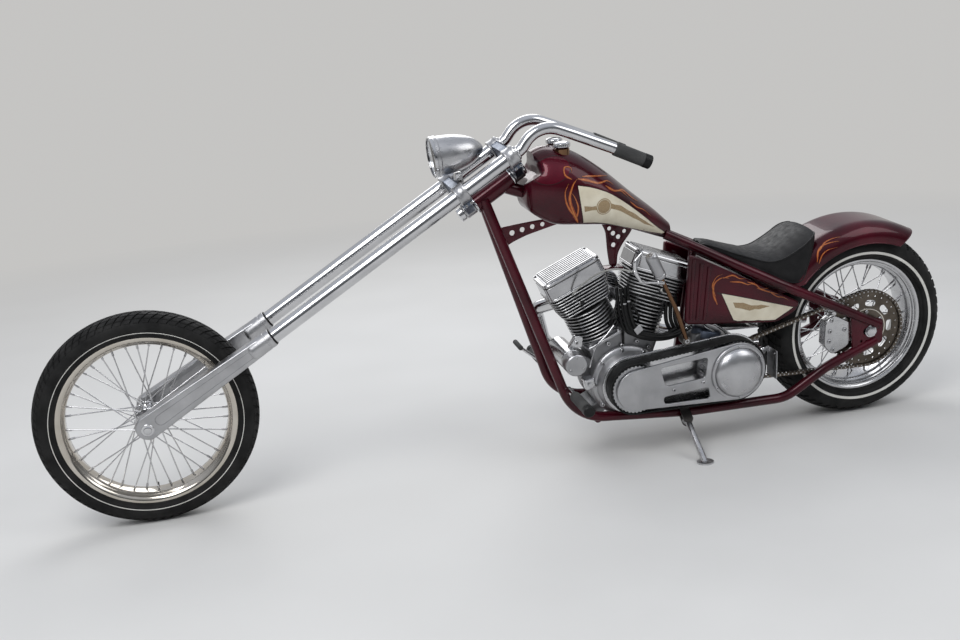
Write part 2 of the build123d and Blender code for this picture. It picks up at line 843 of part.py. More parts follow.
def filler_caps():
    """Pair of low turned filler caps on the tank's shoulders."""
    # Columns: radius, height above the neck's top.
    rows = (
        (0.0, -36.0),
        (cap_neck_radius, -36.0),
        (cap_neck_radius, 0.0),
        (cap_radius, 0.0),
        (cap_radius, cap_height - 6.0),
        (cap_radius - 5.0, cap_height),
        (0.0, cap_height),
    )
    caps = []
    for side in (LEFT, RIGHT):
        caps.append(Pos(tank_x(cap_share), side * cap_side, cap_neck_z) * turned(rows) - tank_block())
    return Compound(children=caps)


def fender_face(grow):
    """Half-polygon section of the rear fender's outside as radius and height rows."""
    corner = fender_corner
    half = fender_half_width + grow
    crown = fender_radius + grow
    steps = [math.radians(a) for a in (0.0, 30.0, 60.0, 90.0)]
    side = [(crown - corner + corner * math.cos(a), half - corner + corner * math.sin(a)) for a in steps]
    side.append((fender_radius - fender_drop, half))
    return side


def fender_ring(grow, from_angle, to_angle):
    """Solid sector with the fender's outside section."""
    side = fender_face(grow)
    lower = [(r, -h) for r, h in reversed(side)]
    face = Plane.XZ * make_face(Polyline(*(side + lower), close=True))
    sector = revolve(face, axis=Axis.Z, revolution_arc=to_angle - from_angle)
    return Pos(rear_axle) * Rot(90, 0, 0) * Rot(0, 0, 90.0 + from_angle) * sector


def rear_fender():
    """Close-fitting fender with rounded shoulders and a clipped tail."""
    outer = fender_ring(0, -fender_rear_angle, fender_front_angle)
    side = fender_face(-fender_wall)
    side[-1] = (fender_radius - fender_drop - 4 * moving_gap, side[-1][1])
    lower = [(r, -h) for r, h in reversed(side)]
    face = Plane.XZ * make_face(Polyline(*(side + lower), close=True))
    inner = to_wheel(revolve(face, axis=Axis.Z), rear_axle)
    # Columns: X, height above the axle, of what is clipped from the lower corners.
    tail = ((104.0, 284.0), (240.0, 323.0), (320.0, 204.0), (104.0, 204.0))
    nose = ((-372.0, 146.0), (-228.0, 200.0), (-228.0, 64.0), (-440.0, 64.0))
    fender = outer - inner
    reach = fender_half_width + moving_gap
    for outline in (tail, nose):
        fender -= slab(Pos(0, rear_axle_z) * make_face(Polyline(*outline, close=True)), -reach, reach)
    return fender


def seat():
    """Closed form of the solo seat, resting on the rails and the fender."""
    # Columns: X, Z, over the top and back along the rails and the fender.
    side_outline = (
        (-588.0, 700.0),
        (-571.0, 711.0),
        (-469.0, 678.0),
        (-376.0, 652.0),
        (-321.0, 672.0),
        (-247.0, 712.0),
        (-202.0, 732.0),
        (-188.0, 716.0),
        (-196.0, 600.0),
        (-250.0, 528.0),
        (-470.0, 643.0),
    )
    # Columns: X, half width.
    plan_rows = (
        (-588.0, 44.0),
        (-530.0, 72.0),
        (-450.0, 104.0),
        (-370.0, 121.0),
        (-215.0, 124.0),
        (-186.0, 96.0),
    )
    plan = list(plan_rows) + [(x, -half) for x, half in reversed(plan_rows)]
    block = slab(make_face(Polyline(*side_outline, close=True)), -fender_half_width, fender_half_width)
    block = block & extrude(make_face(Polyline(*plan, close=True)), amount=2 * rear_axle_z + fender_radius)
    return block - fender_ring(seat_fender_gap, -fender_rear_angle, fender_front_angle + 14.0)


def oil_tank():
    """Oil tank between the rails with a recess for the post and cheeks beside the tyre."""
    # Columns: X, Z, down the rails and forward along the bottom.
    outline = (
        (-664.0, 690.0),
        (-624.0, 671.0),
        (-251.0, 470.0),
        (-262.0, 440.0),
        (-300.0, 418.0),
        (-345.0, 402.0),
        (-492.0, 418.0),
        (-625.0, 433.0),
        (-684.0, 441.0),
    )
    tank = slab(make_face(Polyline(*outline, close=True)), -oil_tank_half, oil_tank_half)
    recess = ((-720.0, 730.0), (-574.0, 730.0), (-622.0, 400.0), (-720.0, 400.0))
    tank -= slab(make_face(Polyline(*recess, close=True)), -oil_tank_recess_half, oil_tank_recess_half)
    tyre_room = Cylinder(rear_tyre_radius + tyre_room_radial, 2 * rear_tyre_half_width + tyre_room_side)
    tank -= Pos(rear_axle) * Rot(90, 0, 0) * tyre_room
    tank -= fender_ring(running_gap, -fender_rear_angle, fender_front_angle + 1)
    for side in (LEFT, RIGHT):
        tank -= rod(sided(rail_start, side), sided(rail_bend, side), frame_tube_radius + seat_gap)
    return tank


def cylinder_place(lean):
    """Location with local Z along a cylinder from the crankshaft's centre."""
    return Pos(crank_x, 0, crank_z) * Rot(0, lean, 0)


def clipped_rectangle(length, width, clip):
    """Rectangle with clipped corners."""
    return chamfer(Rectangle(length, width).vertices(), clip)


def cylinder(lean):
    """Finned barrel and finned head of one cylinder."""
    pieces = extrude(RegularPolygon(barrel_core_radius, 12), amount=barrel_fin_count * fin_pitch)
    for index in range(barrel_fin_count):
        fin = extrude(RegularPolygon(barrel_fin_radius, 16), amount=fin_thickness)
        pieces += Pos(0, 0, (index + 0.5) * fin_pitch) * fin
    head_start = barrel_fin_count * fin_pitch
    head_height = head_fin_count * head_fin_pitch
    core = clipped_rectangle(head_core_length, head_core_width, 20)
    pieces += Pos(0, 0, head_start) * extrude(core, amount=head_height)
    for index in range(head_fin_count):
        fin = extrude(clipped_rectangle(head_length, head_width, 26), amount=head_fin_thickness)
        pieces += Pos(0, 0, head_start + (index + 1) * head_fin_pitch - head_fin_thickness) * fin
    boss = Pos(0, (head_width + pushrod_boss_depth) / 2 - 1) * Rectangle(84, pushrod_boss_depth + 2)
    pieces += Pos(0, 0, head_start + 2) * extrude(boss, amount=14)
    placed = cylinder_place(lean) * Pos(0, 0, barrel_base) * pieces
    side = 1 if lean < 0 else -1
    cut_x = crank_x + valley_shift + side * (150 - valley_gap / 2)
    return placed - Pos(cut_x, 0, crank_z + 250) * Box(300, 300, 600)


def rocker_box(lean):
    """Rocker cover with clipped corners and lengthwise ribs on top."""
    start = barrel_base + barrel_fin_count * fin_pitch + head_fin_count * head_fin_pitch + seat_gap
    cover = extrude(clipped_rectangle(rocker_length, rocker_width, 16), amount=rocker_height)
    pitch = (rocker_width - 24.0) / (rocker_rib_count - 1)
    for index in range(rocker_rib_count):
        y = (index - (rocker_rib_count - 1) / 2) * pitch
        rib = extrude(Rectangle(rocker_length - 40, rocker_rib_width), amount=rocker_rib_height)
        cover += Pos(0, y, rocker_height) * rib
    return cylinder_place(lean) * Pos(0, 0, start) * cover


def crankcase():
    """Closed crankcase block with two cylinder decks and its feet."""
    case = slab(Pos(crank_x, crank_z) * Circle(crankcase_radius), -crankcase_half_width, crankcase_half_width)
    for lean in (-front_cylinder_lean, rear_cylinder_lean):
        deck = extrude(Rectangle(deck_length, 2 * crankcase_half_width - 8), amount=barrel_base - seat_gap)
        case += cylinder_place(lean) * deck
    # Columns: X and Z from the crankshaft.
    feet = (
        (-136.0, -115.0),
        (-136.0, -96.0),
        (-72.0, -64.0),
        (88.0, -64.0),
        (146.0, -96.0),
        (146.0, -115.0),
        (82.0, -115.0),
        (68.0, -99.0),
        (-62.0, -99.0),
        (-78.0, -115.0),
    )
    return case + slab(Pos(crank_x, crank_z) * make_face(Polyline(*feet, close=True)), -62, 62)


def cam_cover():
    """Cam chest on the right with its four pushrod tubes."""
    # Columns: X and Z from the crankshaft.
    outline = (
        (-112.0, -34.0),
        (-97.0, 56.0),
        (-52.0, 104.0),
        (52.0, 104.0),
        (98.0, 56.0),
        (112.0, -24.0),
        (48.0, -86.0),
        (-52.0, -86.0),
    )
    low = crankcase_half_width + seat_gap
    cover = slab(Pos(crank_x, crank_z) * make_face(Polyline(*outline, close=True)), low, cam_cover_side)
    cover += slab(Pos(crank_x, crank_z) * Circle(46), cam_cover_side - 1, cam_cover_side + 8)
    top = barrel_base + barrel_fin_count * fin_pitch + 2 - seat_gap
    # Columns: lean, offset at the cover, offset at the head.
    for lean, low_offset, high_offset in (
        (-front_cylinder_lean, -6.0, -27.0),
        (-front_cylinder_lean, 22.0, 24.0),
        (rear_cylinder_lean, -22.0, -24.0),
        (rear_cylinder_lean, 6.0, 27.0),
    ):
        place = cylinder_place(lean)
        foot = (place * Pos(low_offset, pushrod_side, 96)).position
        head = (place * Pos(high_offset, pushrod_side, top)).position
        cover += rod(foot, head, pushrod_radius)
    return cover


def generator():
    """Generator in front of the crankcase on its saddle."""
    body = slab(Circle(generator_radius), generator_left, generator_right)
    body += slab(Circle(generator_radius - 12.0), generator_left - 8.0, generator_left + 1.0)
    # Columns: X and Z from the generator's middle.
    saddle = ((-4.0, -16.0), (42.0, 6.0), (107.0, -36.0), (82.0, -96.0), (22.0, -66.0))
    body += slab(make_face(Polyline(*saddle, close=True)), -56, 56)
    return Pos(generator_x, 0, generator_z) * body - crankcase()


def air_cleaner():
    """Carburettor body and its round air cleaner on the right."""
    centre_x = crank_x + valley_shift
    inside = Vector(centre_x, pushrod_side - 8.0, air_cleaner_z)
    body = rod(inside, Vector(centre_x, air_cleaner_inner, air_cleaner_z), carburettor_radius)
    # Columns: radius, distance to the right.
    rows = (
        (0.0, 0.0),
        (air_cleaner_radius - 8.0, 0.0),
        (air_cleaner_radius, 8.0),
        (air_cleaner_radius, 40.0),
        (air_cleaner_radius - 10.0, 50.0),
        (0.0, 50.0),
    )
    cleaner = Pos(centre_x, air_cleaner_inner, air_cleaner_z) * Rot(-90, 0, 0) * turned(rows)
    return body + cleaner


# Exhaust routes from each head to the pipe's end.
# Columns: X, Y, Z.
front_exhaust = (
    (-1096.0, 36.0, 536.0),
    (-1148.0, 92.0, 506.0),
    (-1092.0, 196.0, 350.0),
    (-980.0, 198.0, 226.0),
    (-90.0, 205.0, 212.0),
)
rear_exhaust = (
    (-752.0, 60.0, 566.0),
    (-744.0, 204.0, 560.0),
    (-690.0, 206.0, 318.0),
    (-60.0, 208.0, 290.0),
)


def exhaust_pipe(rows, bends, lean):
    """One drag pipe, open at its end and clear of its cylinder head."""
    path = [Vector(*row) for row in rows]
    end = path[-1]
    back = (path[-2] - end).normalized() * pipe_open_depth
    tube = pipe(path, bends, pipe_radius)
    tube -= rod(end - back * 0.1, end + back, pipe_radius - pipe_wall)
    return tube - cylinder_envelope(lean)


def exhaust_pipes():
    """Two drag pipes on the right, open at their ends."""
    front = exhaust_pipe(front_exhaust, (50.0, 90.0, 110.0), -front_cylinder_lean)
    rear = exhaust_pipe(rear_exhaust, (60.0, 100.0), rear_cylinder_lean)
    return Compound(children=[front, rear])


def cylinder_envelope(lean):
    """Room of one cylinder head without the gaps between its fins."""
    start = barrel_base + barrel_fin_count * fin_pitch
    height = head_fin_count * head_fin_pitch
    outline = clipped_rectangle(head_length + 2 * seat_gap, head_width + 2 * seat_gap, 26)
    block = extrude(outline, amount=height)
    return cylinder_place(lean) * Pos(0, 0, start) * block


def crank_centre(y):
    """Crankshaft centre at a Y plane."""
    return Vector(crank_x, y, crank_z)


def clutch_centre(y):
    """Clutch and gearbox main shaft centre at a Y plane."""
    return Vector(clutch_x, y, clutch_z)


def primary_shape(front_radius, rear_radius):
    """Outline round the crankshaft and the clutch."""
    return chain_loop(((crank_centre(0), front_radius), (clutch_centre(0), rear_radius)), 0)


def primary_backing():
    """Flat plate behind the primary belt with its spacer on the crankcase."""
    low = -primary_back - primary_back_thickness
    plate = slab(primary_shape(backing_radius_front, backing_radius_rear), low, -primary_back)
    return plate + rod(crank_centre(-primary_back), crank_centre(-crankcase_half_width - seat_gap), 62.0)


def primary_belt():
    """Wide toothed belt between the engine pulley and the clutch drum."""
    outer = primary_shape(belt_radius_front + belt_thickness, belt_radius_rear + belt_thickness)
    band = outer - primary_shape(belt_radius_front, belt_radius_rear)
    return slab(band, -belt_inner - belt_width, -belt_inner)


def primary_pulleys():
    """Engine pulley and clutch drum inside the belt."""
    low = -belt_inner - belt_width
    start = -primary_back - primary_back_thickness - seat_gap
    front = rod(crank_centre(start), crank_centre(low), belt_radius_front - seat_gap)
    rear = rod(clutch_centre(start), clutch_centre(low), belt_radius_rear - seat_gap)
    return Compound(children=[front, rear])


def primary_outer_plate():
    """Polished outer plate with two long windows."""
    face = primary_shape(outer_plate_radius, outer_plate_radius_rear)
    # Columns: X and Z from the crankshaft.
    upper = ((91.0, 62.0), (248.0, 76.0), (240.0, 17.0), (108.0, 6.0))
    lower = ((96.0, -42.0), (252.0, -32.0), (258.0, -68.0), (89.0, -76.0))
    for outline in (upper, lower):
        face -= Pos(crank_x, crank_z) * make_face(Polyline(*outline, close=True))
    return slab(face, -outer_plate_inner - outer_plate_thickness, -outer_plate_inner)


def clutch_dome():
    """Domed clutch cover on the outer plate."""
    # Columns: radius, distance to the left.
    rows = (
        (0.0, 0.0),
        (dome_radius, 0.0),
        (dome_radius, 9.0),
        (dome_radius - 9.0, 11.0),
        (dome_radius - 17.0, dome_height - 18.0),
        (dome_radius - 35.0, dome_height - 8.0),
        (dome_radius - 63.0, dome_height - 2.0),
        (0.0, dome_height),
    )
    start = -outer_plate_inner - outer_plate_thickness - seat_gap
    return Pos(clutch_x, start, clutch_z) * Rot(90, 0, 0) * turned(rows)


def transmission():
    """Closed gearbox with its output sprocket."""
    # Columns: X and Z from the main shaft.
    outline = (
        (-137.0, -129.0),
        (-135.0, -96.0),
        (-103.0, 102.0),
        (-85.0, 114.0),
        (-11.0, 94.0),
        (93.0, 52.0),
        (113.0, -28.0),
        (95.0, -129.0),
    )
    case = slab(Pos(clutch_x, clutch_z) * make_face(Polyline(*outline, close=True)), -76, 92)
    case += rod(clutch_centre(-76), clutch_centre(-chain_line + 1), 24)
    disc = toothed_disc(front_sprocket_teeth, gearbox_shaft_radius, sprocket_thickness)
    return case + to_wheel(disc, clutch_centre(-chain_line))


# Hand shift, from its boss up to the handle's top, and the clutch lever beside it.
# Columns: distance behind the boss, above the boss, left of the centre plane.
shift_rows = ((-55.0, 138.0, 196.0), (-153.0, 335.0, 233.0))
clutch_lever_rows = (
    (-125.0, 236.0, 222.0),
    (-186.0, 248.0, 232.0),
    (-208.0, 288.0, 236.0),
    (-208.0, 323.0, 238.0),
    (-183.0, 346.0, 236.0),
)


def by_lever(row):
    """Point from a row of the hand shift's tables."""
    behind, above, left = row
    return Vector(lever_x + behind, -left, lever_z + above)


def shift_lever():
    """Hand shift with its pivot boss, a round handle and the bent clutch lever beside it."""
    pivot = Vector(lever_x, -primary_back, lever_z)
    boss = rod(pivot, Vector(lever_x, -lever_side, lever_z), lever_boss_radius)
    foot = Vector(lever_x, -lever_side + lever_radius + 2, lever_z + 4)
    middle, top = [by_lever(row) for row in shift_rows]
    shaft = pipe((foot, middle, top), (400.0,), lever_radius)
    handle = rod(top + (middle - top).normalized() * handle_length, top, handle_radius)
    clutch = pipe([by_lever(row) for row in clutch_lever_rows], (16.0, 16.0, 16.0), clutch_lever_radius)
    return boss + shaft + handle + clutch


# Points: X, Y, Z, from the clutch lever down to the front cylinder head.
cable_route = (
    (-913.0, -237.0, 690.0),
    (-946.0, -214.0, 702.0),
    (-992.0, -165.0, 684.0),
    (-1030.0, -116.0, 642.0),
    (-1056.0, -96.0, 612.0),
    (-1066.0, -79.0, 590.0),
)


def clutch_cable():
    """Cable from the clutch lever to its stop on the front cylinder head."""
    return pipe([Vector(*point) for point in cable_route], (24.0, 40.0, 30.0, 12.0), clutch_cable_radius)


def oil_hoses():
    """Hoses from the carburettor side of the V down behind the belt to the oil tank."""
    # Points: X, Y, Z.
    route = (
        (-893.0, -98.0, 560.0),
        (-886.0, -100.0, 500.0),
        (-866.0, -112.0, 436.0),
        (-812.0, -113.0, 410.0),
        (-744.0, -110.0, 402.0),
        (-690.0, -103.0, 412.0),
        (-664.0, -100.0, 430.0),
    )
    hoses = []
    for step in (0.0, 14.0):
        points = [Vector(x + step, y, z + step / 2) for x, y, z in route[:-1]]
        points.append(Vector(route[-1][0] + step, route[-1][1], route[-1][2]))
        hoses.append(pipe(points, (30.0, 30.0, 30.0, 30.0, 16.0), hose_radius))
    return Compound(children=hoses)


def foot_controls(side):
    """Forward peg with its arm on the frame, and a pedal ahead of it."""
    peg_start = Vector(peg_x, side * peg_inner, peg_z)
    peg_end = Vector(peg_x, side * peg_outer, peg_z)
    solid = rod(peg_start, peg_end, peg_radius)
    arm = rod(Vector(peg_x, side * 112.0, peg_z), peg_start, peg_arm_radius) - cradle_pipe(side)
    solid += arm
    pivot = Vector(peg_x, side * pedal_side, peg_z)
    pad_centre = Vector(pedal_x, side * pedal_side, pedal_z)
    solid += rod(pivot, pad_centre, pedal_radius)
    pad_start = pad_centre - Vector(0, side * (pedal_radius + 1), 0)
    return solid + rod(pad_start, pad_centre + Vector(0, side * pedal_pad, 0), pedal_radius + 3)


def rear_sprocket():
    """Brake sprocket with a ring of windows on a boss against the hub."""
    disc = toothed_disc(rear_sprocket_teeth, rear_hub_radius, sprocket_thickness)
    for index in range(sprocket_window_count):
        angle = 360.0 * index / sprocket_window_count
        slot = SlotOverall(sprocket_window_length, sprocket_window_width, rotation=90)
        window = Rot(0, 0, angle) * Pos(sprocket_window_place, 0) * slot
        disc -= extrude(window, amount=sprocket_thickness, both=True)
    start = rear_hub_half_length + seat_gap - chain_line
    ring = Circle(sprocket_boss_radius) - Circle(rear_axle_radius + axle_running_gap)
    boss = Pos(0, 0, start) * extrude(ring, amount=-start + sprocket_thickness / 2)
    return to_wheel(disc + boss, rear_axle + Vector(0, -chain_line, 0))


def brake_caliper():
    """Caliper that straddles the front of the rear sprocket."""
    # Columns: X, height above the axle.
    outline = (
        (-137.0, 75.0),
        (-168.0, 52.0),
        (-172.0, -36.0),
        (-140.0, -72.0),
        (-78.0, -46.0),
        (-34.0, -14.0),
        (-34.0, 14.0),
        (-62.0, 35.0),
    )
    outside = -rail_half_spacing + axle_plate_thickness / 2 + seat_gap
    body = Pos(0, rear_axle_z) * make_face(Polyline(*outline, close=True))
    body = slab(body, outside, -chain_line + caliper_reach)
    tip = sprocket_pitch_radius(rear_sprocket_teeth) + sprocket_tooth_depth / 2
    slot = sprocket_thickness + 2 * caliper_gap
    middle = Pos(0, -chain_line, rear_axle_z) * Rot(90, 0, 0)
    body -= middle * Cylinder(tip + moving_gap, slot)
    return body - middle * Cylinder(sprocket_boss_radius + moving_gap, 100)


def wheel_axle(centre, radius, half_length, head_radius, spacers):
    """Axle with a head at both ends and a spacer over each stated stretch."""
    axle = rod(centre - Vector(0, half_length, 0), centre + Vector(0, half_length, 0), radius)
    for side in (LEFT, RIGHT):
        start = centre + Vector(0, side * (half_length - 1), 0)
        axle += rod(start, start + Vector(0, side * axle_head_length, 0), head_radius)
    for low, high, spacer_radius in spacers:
        axle += rod(centre + Vector(0, low, 0), centre + Vector(0, high, 0), spacer_radius)
    return axle


def stand_place():
    """Location of the stand's pin with local X along the leg and local Z on the pin."""
    foot = stand_foot()
    along = (foot - stand_pivot).normalized()
    return Plane(origin=stand_pivot, x_dir=along, z_dir=Vector(1, 0, 0).cross(along))


def stand_foot():
    """Point on the floor under the middle of the stand's foot."""
    y = stand_pivot_y - stand_foot_reach
    return Vector(stand_foot_x, y, (floor_z - y * lean_sin) / lean_cos)


def stand_axis():
    """Direction of the stand's pin, upward; the leg swings rearwards about it."""
    return stand_place().z_dir


def side_stand():
    """Leg with an eye on the pin and a flat round foot that lies on the floor."""
    place = stand_place()
    foot = stand_foot()
    reach = (foot - stand_pivot).length
    eye = Circle(stand_eye_radius) - Circle(stand_pin_radius + stand_pin_gap)
    leg = place * extrude(eye, amount=stand_eye_half, both=True)
    start = stand_eye_radius + running_gap
    leg += place * Pos(start, 0, 0) * Box(12, 16, 2 * stand_eye_half)
    leg += place * Plane.YZ.offset(start) * extrude(Circle(stand_leg_radius), amount=reach - start)
    floor_up = Vector(0, lean_sin, lean_cos)
    pad = Plane(origin=foot, z_dir=floor_up) * extrude(Circle(stand_foot_radius), amount=stand_foot_thickness)
    below = Plane(origin=foot, z_dir=-floor_up) * extrude(Circle(stand_foot_radius * 2), amount=40)
    return leg + pad - below


def stand_bracket():
    """Two ears and the pin on the left cradle tube."""
    place = stand_place()
    solid = place * extrude(Circle(stand_pin_radius), amount=stand_eye_half + 9, both=True)
    ear = Circle(stand_eye_radius)
    ear += Pos(-stand_ear_length / 2, 0) * Rectangle(stand_ear_length, 2 * stand_eye_radius)
    for low in (stand_eye_half + seat_gap * 2, -stand_eye_half - seat_gap * 2 - stand_ear_thickness):
        solid += place * Pos(0, 0, low) * extrude(ear, amount=stand_ear_thickness)
    web = Pos(-stand_ear_length + 4, 0) * Rectangle(12, 2 * stand_eye_radius)
    solid += place * extrude(web, amount=stand_eye_half + seat_gap * 2 + stand_ear_thickness, both=True)
    return solid - lower_rail(LEFT)


def plate_holder():
    """Small bare plate behind the clutch, hung from a round bolt on the primary's backing."""
    reach = belt_radius_rear + belt_thickness + 2 * running_gap + holder_bolt_radius
    bolt_x = clutch_x + reach * math.cos(math.radians(holder_angle))
    bolt_z = clutch_z + reach * math.sin(math.radians(holder_angle))
    inside = -primary_back - primary_back_thickness - seat_gap
    solid = rod(Vector(bolt_x, inside, bolt_z), Vector(bolt_x, -holder_side, bolt_z), holder_bolt_radius)
    arm_ends = (Pos(bolt_x, bolt_z), Pos(holder_x, holder_top_z - holder_bolt_radius))
    arm = make_hull([edge for end in arm_ends for edge in (end * Circle(8)).edges()])
    solid += slab(arm, -holder_side - 1.0, -holder_side + 4.0)
    middle_y = -holder_side - holder_width / 2
    plate = Box(holder_thickness, holder_width, holder_height)
    return solid + Pos(holder_x, middle_y, holder_top_z - holder_height / 2) * plate


front_hub_sizes = (
    front_hub_radius,
    front_hub_half_length,
    front_hub_flange_radius,
    front_axle_radius + axle_running_gap,
)
rear_hub_sizes = (
    rear_hub_radius,
    rear_hub_half_length,
    rear_hub_flange_radius,
    rear_axle_radius + axle_running_gap,
)
front_spoke_ends = (
    front_hub_flange_radius - spoke_inset,
    front_hub_half_length - hub_flange_inset - hub_flange_thickness / 2,
    front_bead_radius - rim_well_depth - 1.0,
    9.0,
)
rear_spoke_ends = (
    rear_hub_flange_radius - spoke_inset,
    rear_hub_half_length - hub_flange_inset - hub_flange_thickness / 2,
    rear_bead_radius - rim_well_depth - 1.0,
    14.0,
)
front_spacers = (
    (-fork_tube_spacing / 2 + leg_thickness / 2 + seat_gap, -front_hub_half_length - running_gap, 15.0),
    (front_hub_half_length + running_gap, fork_tube_spacing / 2 - leg_thickness / 2 - seat_gap, 15.0),
)
rail_inner_face = rail_half_spacing - axle_plate_thickness / 2
rear_spacers = (
    (-rail_inner_face + seat_gap, -chain_line - sprocket_thickness / 2 - running_gap, rear_spacer_radius),
    (rear_hub_half_length + running_gap, rail_inner_face - seat_gap, rear_spacer_radius),
)
front_axle_half = fork_tube_spacing / 2 + leg_thickness / 2 + 1 + seat_gap
rear_axle_half = rail_half_spacing + axle_plate_thickness / 2 + 1 + seat_gap

nodes = {
    "head_tube": head_tube(),
    "backbone": backbone(),
    "downtube_left": downtube(LEFT),
    "downtube_right": downtube(RIGHT),
    "lower_rail_left": lower_rail(LEFT),
    "lower_rail_right": lower_rail(RIGHT),
    "upper_rail_left": upper_rail(LEFT),
    "upper_rail_right": upper_rail(RIGHT),
    "seat_post": seat_post(),
    "axle_plates": Compound(children=[axle_plate(LEFT), axle_plate(RIGHT)]),
    "tank_brackets": tank_brackets(),
    "fuel_tank": fuel_tank(),
    "filler_caps": filler_caps(),
    "seat": seat(),
    "rear_fender": rear_fender(),
    "oil_tank": oil_tank(),
    "crankcase": crankcase(),
    "front_cylinder": cylinder(-front_cylinder_lean),
    "rear_cylinder": cylinder(rear_cylinder_lean),
    "rocker_boxes": Compound(children=[rocker_box(-front_cylinder_lean), rocker_box(rear_cylinder_lean)]),
    "cam_cover": cam_cover(),
    "generator": generator(),
    "air_cleaner": air_cleaner(),
    "exhaust_pipes": exhaust_pipes(),
    "primary_backing": primary_backing(),
    "primary_belt": primary_belt(),
    "primary_pulleys": primary_pulleys(),
    "primary_outer_plate": primary_outer_plate(),
    "clutch_dome": clutch_dome(),
    "transmission": transmission(),
    "drive_chain": final_drive(clutch_centre(0), rear_axle),
    "shift_lever": shift_lever(),
    "clutch_cable": clutch_cable(),
    "oil_hoses": oil_hoses(),
    "foot_controls_left": foot_controls(LEFT),
    "foot_controls_right": foot_controls(RIGHT),
    "brake_caliper": brake_caliper(),
    "rear_axle": wheel_axle(rear_axle, rear_axle_radius, rear_axle_half, rear_axle_head_radius, rear_spacers),
    "plate_holder": plate_holder(),
    "stand_bracket": stand_bracket(),
    "steering_stem": steering_stem(),
    "triple_clamps": Compound(children=[triple_clamp(s) for s in (lower_clamp_station, upper_clamp_station)]),
    "fork_tubes": Compound(children=[fork_tube(LEFT), fork_tube(RIGHT)]),
    "handlebars": Compound(children=[handlebar(LEFT), handlebar(RIGHT)]),
    "grips": Compound(children=[grip(LEFT), grip(RIGHT)]),
    "fork_legs": Compound(children=[fork_leg(LEFT), fork_leg(RIGHT)]),
    "headlight_shell": headlight_shell(),
    "headlight_lens": headlight_lens(),
    "front_axle": wheel_axle(front_axle, front_axle_radius, front_axle_half, 15.0, front_spacers),
    "front_tyre": wheel_tyre(front_tyre_rows, front_axle),
    "front_rim": wheel_rim(front_bead_radius, front_rim_half_width, front_flange_height, front_axle),
    "front_spokes": wheel_spokes(*front_spoke_ends, front_axle),
    "front_hub": wheel_hub(*front_hub_sizes, front_axle),
    "rear_tyre": wheel_tyre(rear_tyre_rows, rear_axle),
    "rear_rim": wheel_rim(rear_bead_radius, rear_rim_half_width, rear_flange_height, rear_axle),
    "rear_spokes": wheel_spokes(*rear_spoke_ends, rear_axle),
    "rear_hub": wheel_hub(*rear_hub_sizes, rear_axle),
    "rear_sprocket": rear_sprocket(),
    "side_stand": side_stand(),
}

# Lean everything over and put the floor under the middle of the whole machine.
leaned = {name: Rot(lean_angle, 0, 0) * solid for name, solid in nodes.items()}
boxes = [solid.bounding_box() for solid in leaned.values()]
middle_x = (min(b.min.X for b in boxes) + max(b.max.X for b in boxes)) / 2
middle_y = (min(b.min.Y for b in boxes) + max(b.max.Y for b in boxes)) / 2
to_floor = Pos(-middle_x, -middle_y, -floor_z)

if __name__ == "__main__":
    os.makedirs("parts", exist_ok=True)
    for name, solid in leaned.items():
        export_step(to_floor * solid, f"parts/{name}.step")
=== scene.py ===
"""Looks of the long-forked chopper motorcycle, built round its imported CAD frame."""

import logging
import math
from dataclasses import dataclass
from enum import Enum
from functools import lru_cache
from typing import Iterable, Sequence

import bmesh
import bpy
from mathutils import Matrix, Vector
from mathutils.bvhtree import BVHTree
from mathutils.geometry import delaunay_2d_cdt


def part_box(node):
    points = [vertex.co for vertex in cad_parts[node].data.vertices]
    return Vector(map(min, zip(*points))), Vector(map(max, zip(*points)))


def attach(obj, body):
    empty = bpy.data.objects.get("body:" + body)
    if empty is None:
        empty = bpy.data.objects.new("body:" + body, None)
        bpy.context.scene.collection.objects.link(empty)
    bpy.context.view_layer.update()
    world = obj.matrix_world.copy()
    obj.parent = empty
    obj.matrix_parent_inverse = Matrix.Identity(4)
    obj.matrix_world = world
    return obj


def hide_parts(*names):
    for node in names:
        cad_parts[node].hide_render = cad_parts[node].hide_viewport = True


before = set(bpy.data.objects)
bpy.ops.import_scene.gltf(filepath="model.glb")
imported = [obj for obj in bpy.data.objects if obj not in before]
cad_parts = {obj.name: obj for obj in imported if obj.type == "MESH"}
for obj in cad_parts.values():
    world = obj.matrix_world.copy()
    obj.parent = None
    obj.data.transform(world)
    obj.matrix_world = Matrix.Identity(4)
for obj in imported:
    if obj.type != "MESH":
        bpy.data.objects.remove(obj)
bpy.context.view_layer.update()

LOG = logging.getLogger("chopper")
Row = Sequence[float]
Socket = bpy.types.NodeSocket
Tree = bpy.types.NodeTree
MM = 0.001
X_AXIS, Y_AXIS, Z_AXIS = Vector((1, 0, 0)), Vector((0, 1, 0)), Vector((0, 0, 1))
TO_LEFT, TO_RIGHT = -Y_AXIS, Y_AXIS


class Side(Enum):
    """Side of the machine, as the sign of Y."""

    LEFT = -1
    RIGHT = 1


class Body(Enum):
    """The CAD bodies that pieces ride on."""

    FRAME = "frame"
    FORK = "fork"
    FRONT_WHEEL = "front_wheel"
    REAR_WHEEL = "rear_wheel"


class Slot(Enum):
    """Material slots of the record."""

    RUBBER = "black_rubber"
    CHROME = "chrome"
    STEEL = "dark_steel"
    FINS = "fin_alloy"
    GRIPS = "grip_rubber"
    LEATHER = "leather"
    LENS = "lens"
    PAINT = "maroon_paint"
    ALLOY = "polished_alloy"
    TYRE = "tyre"


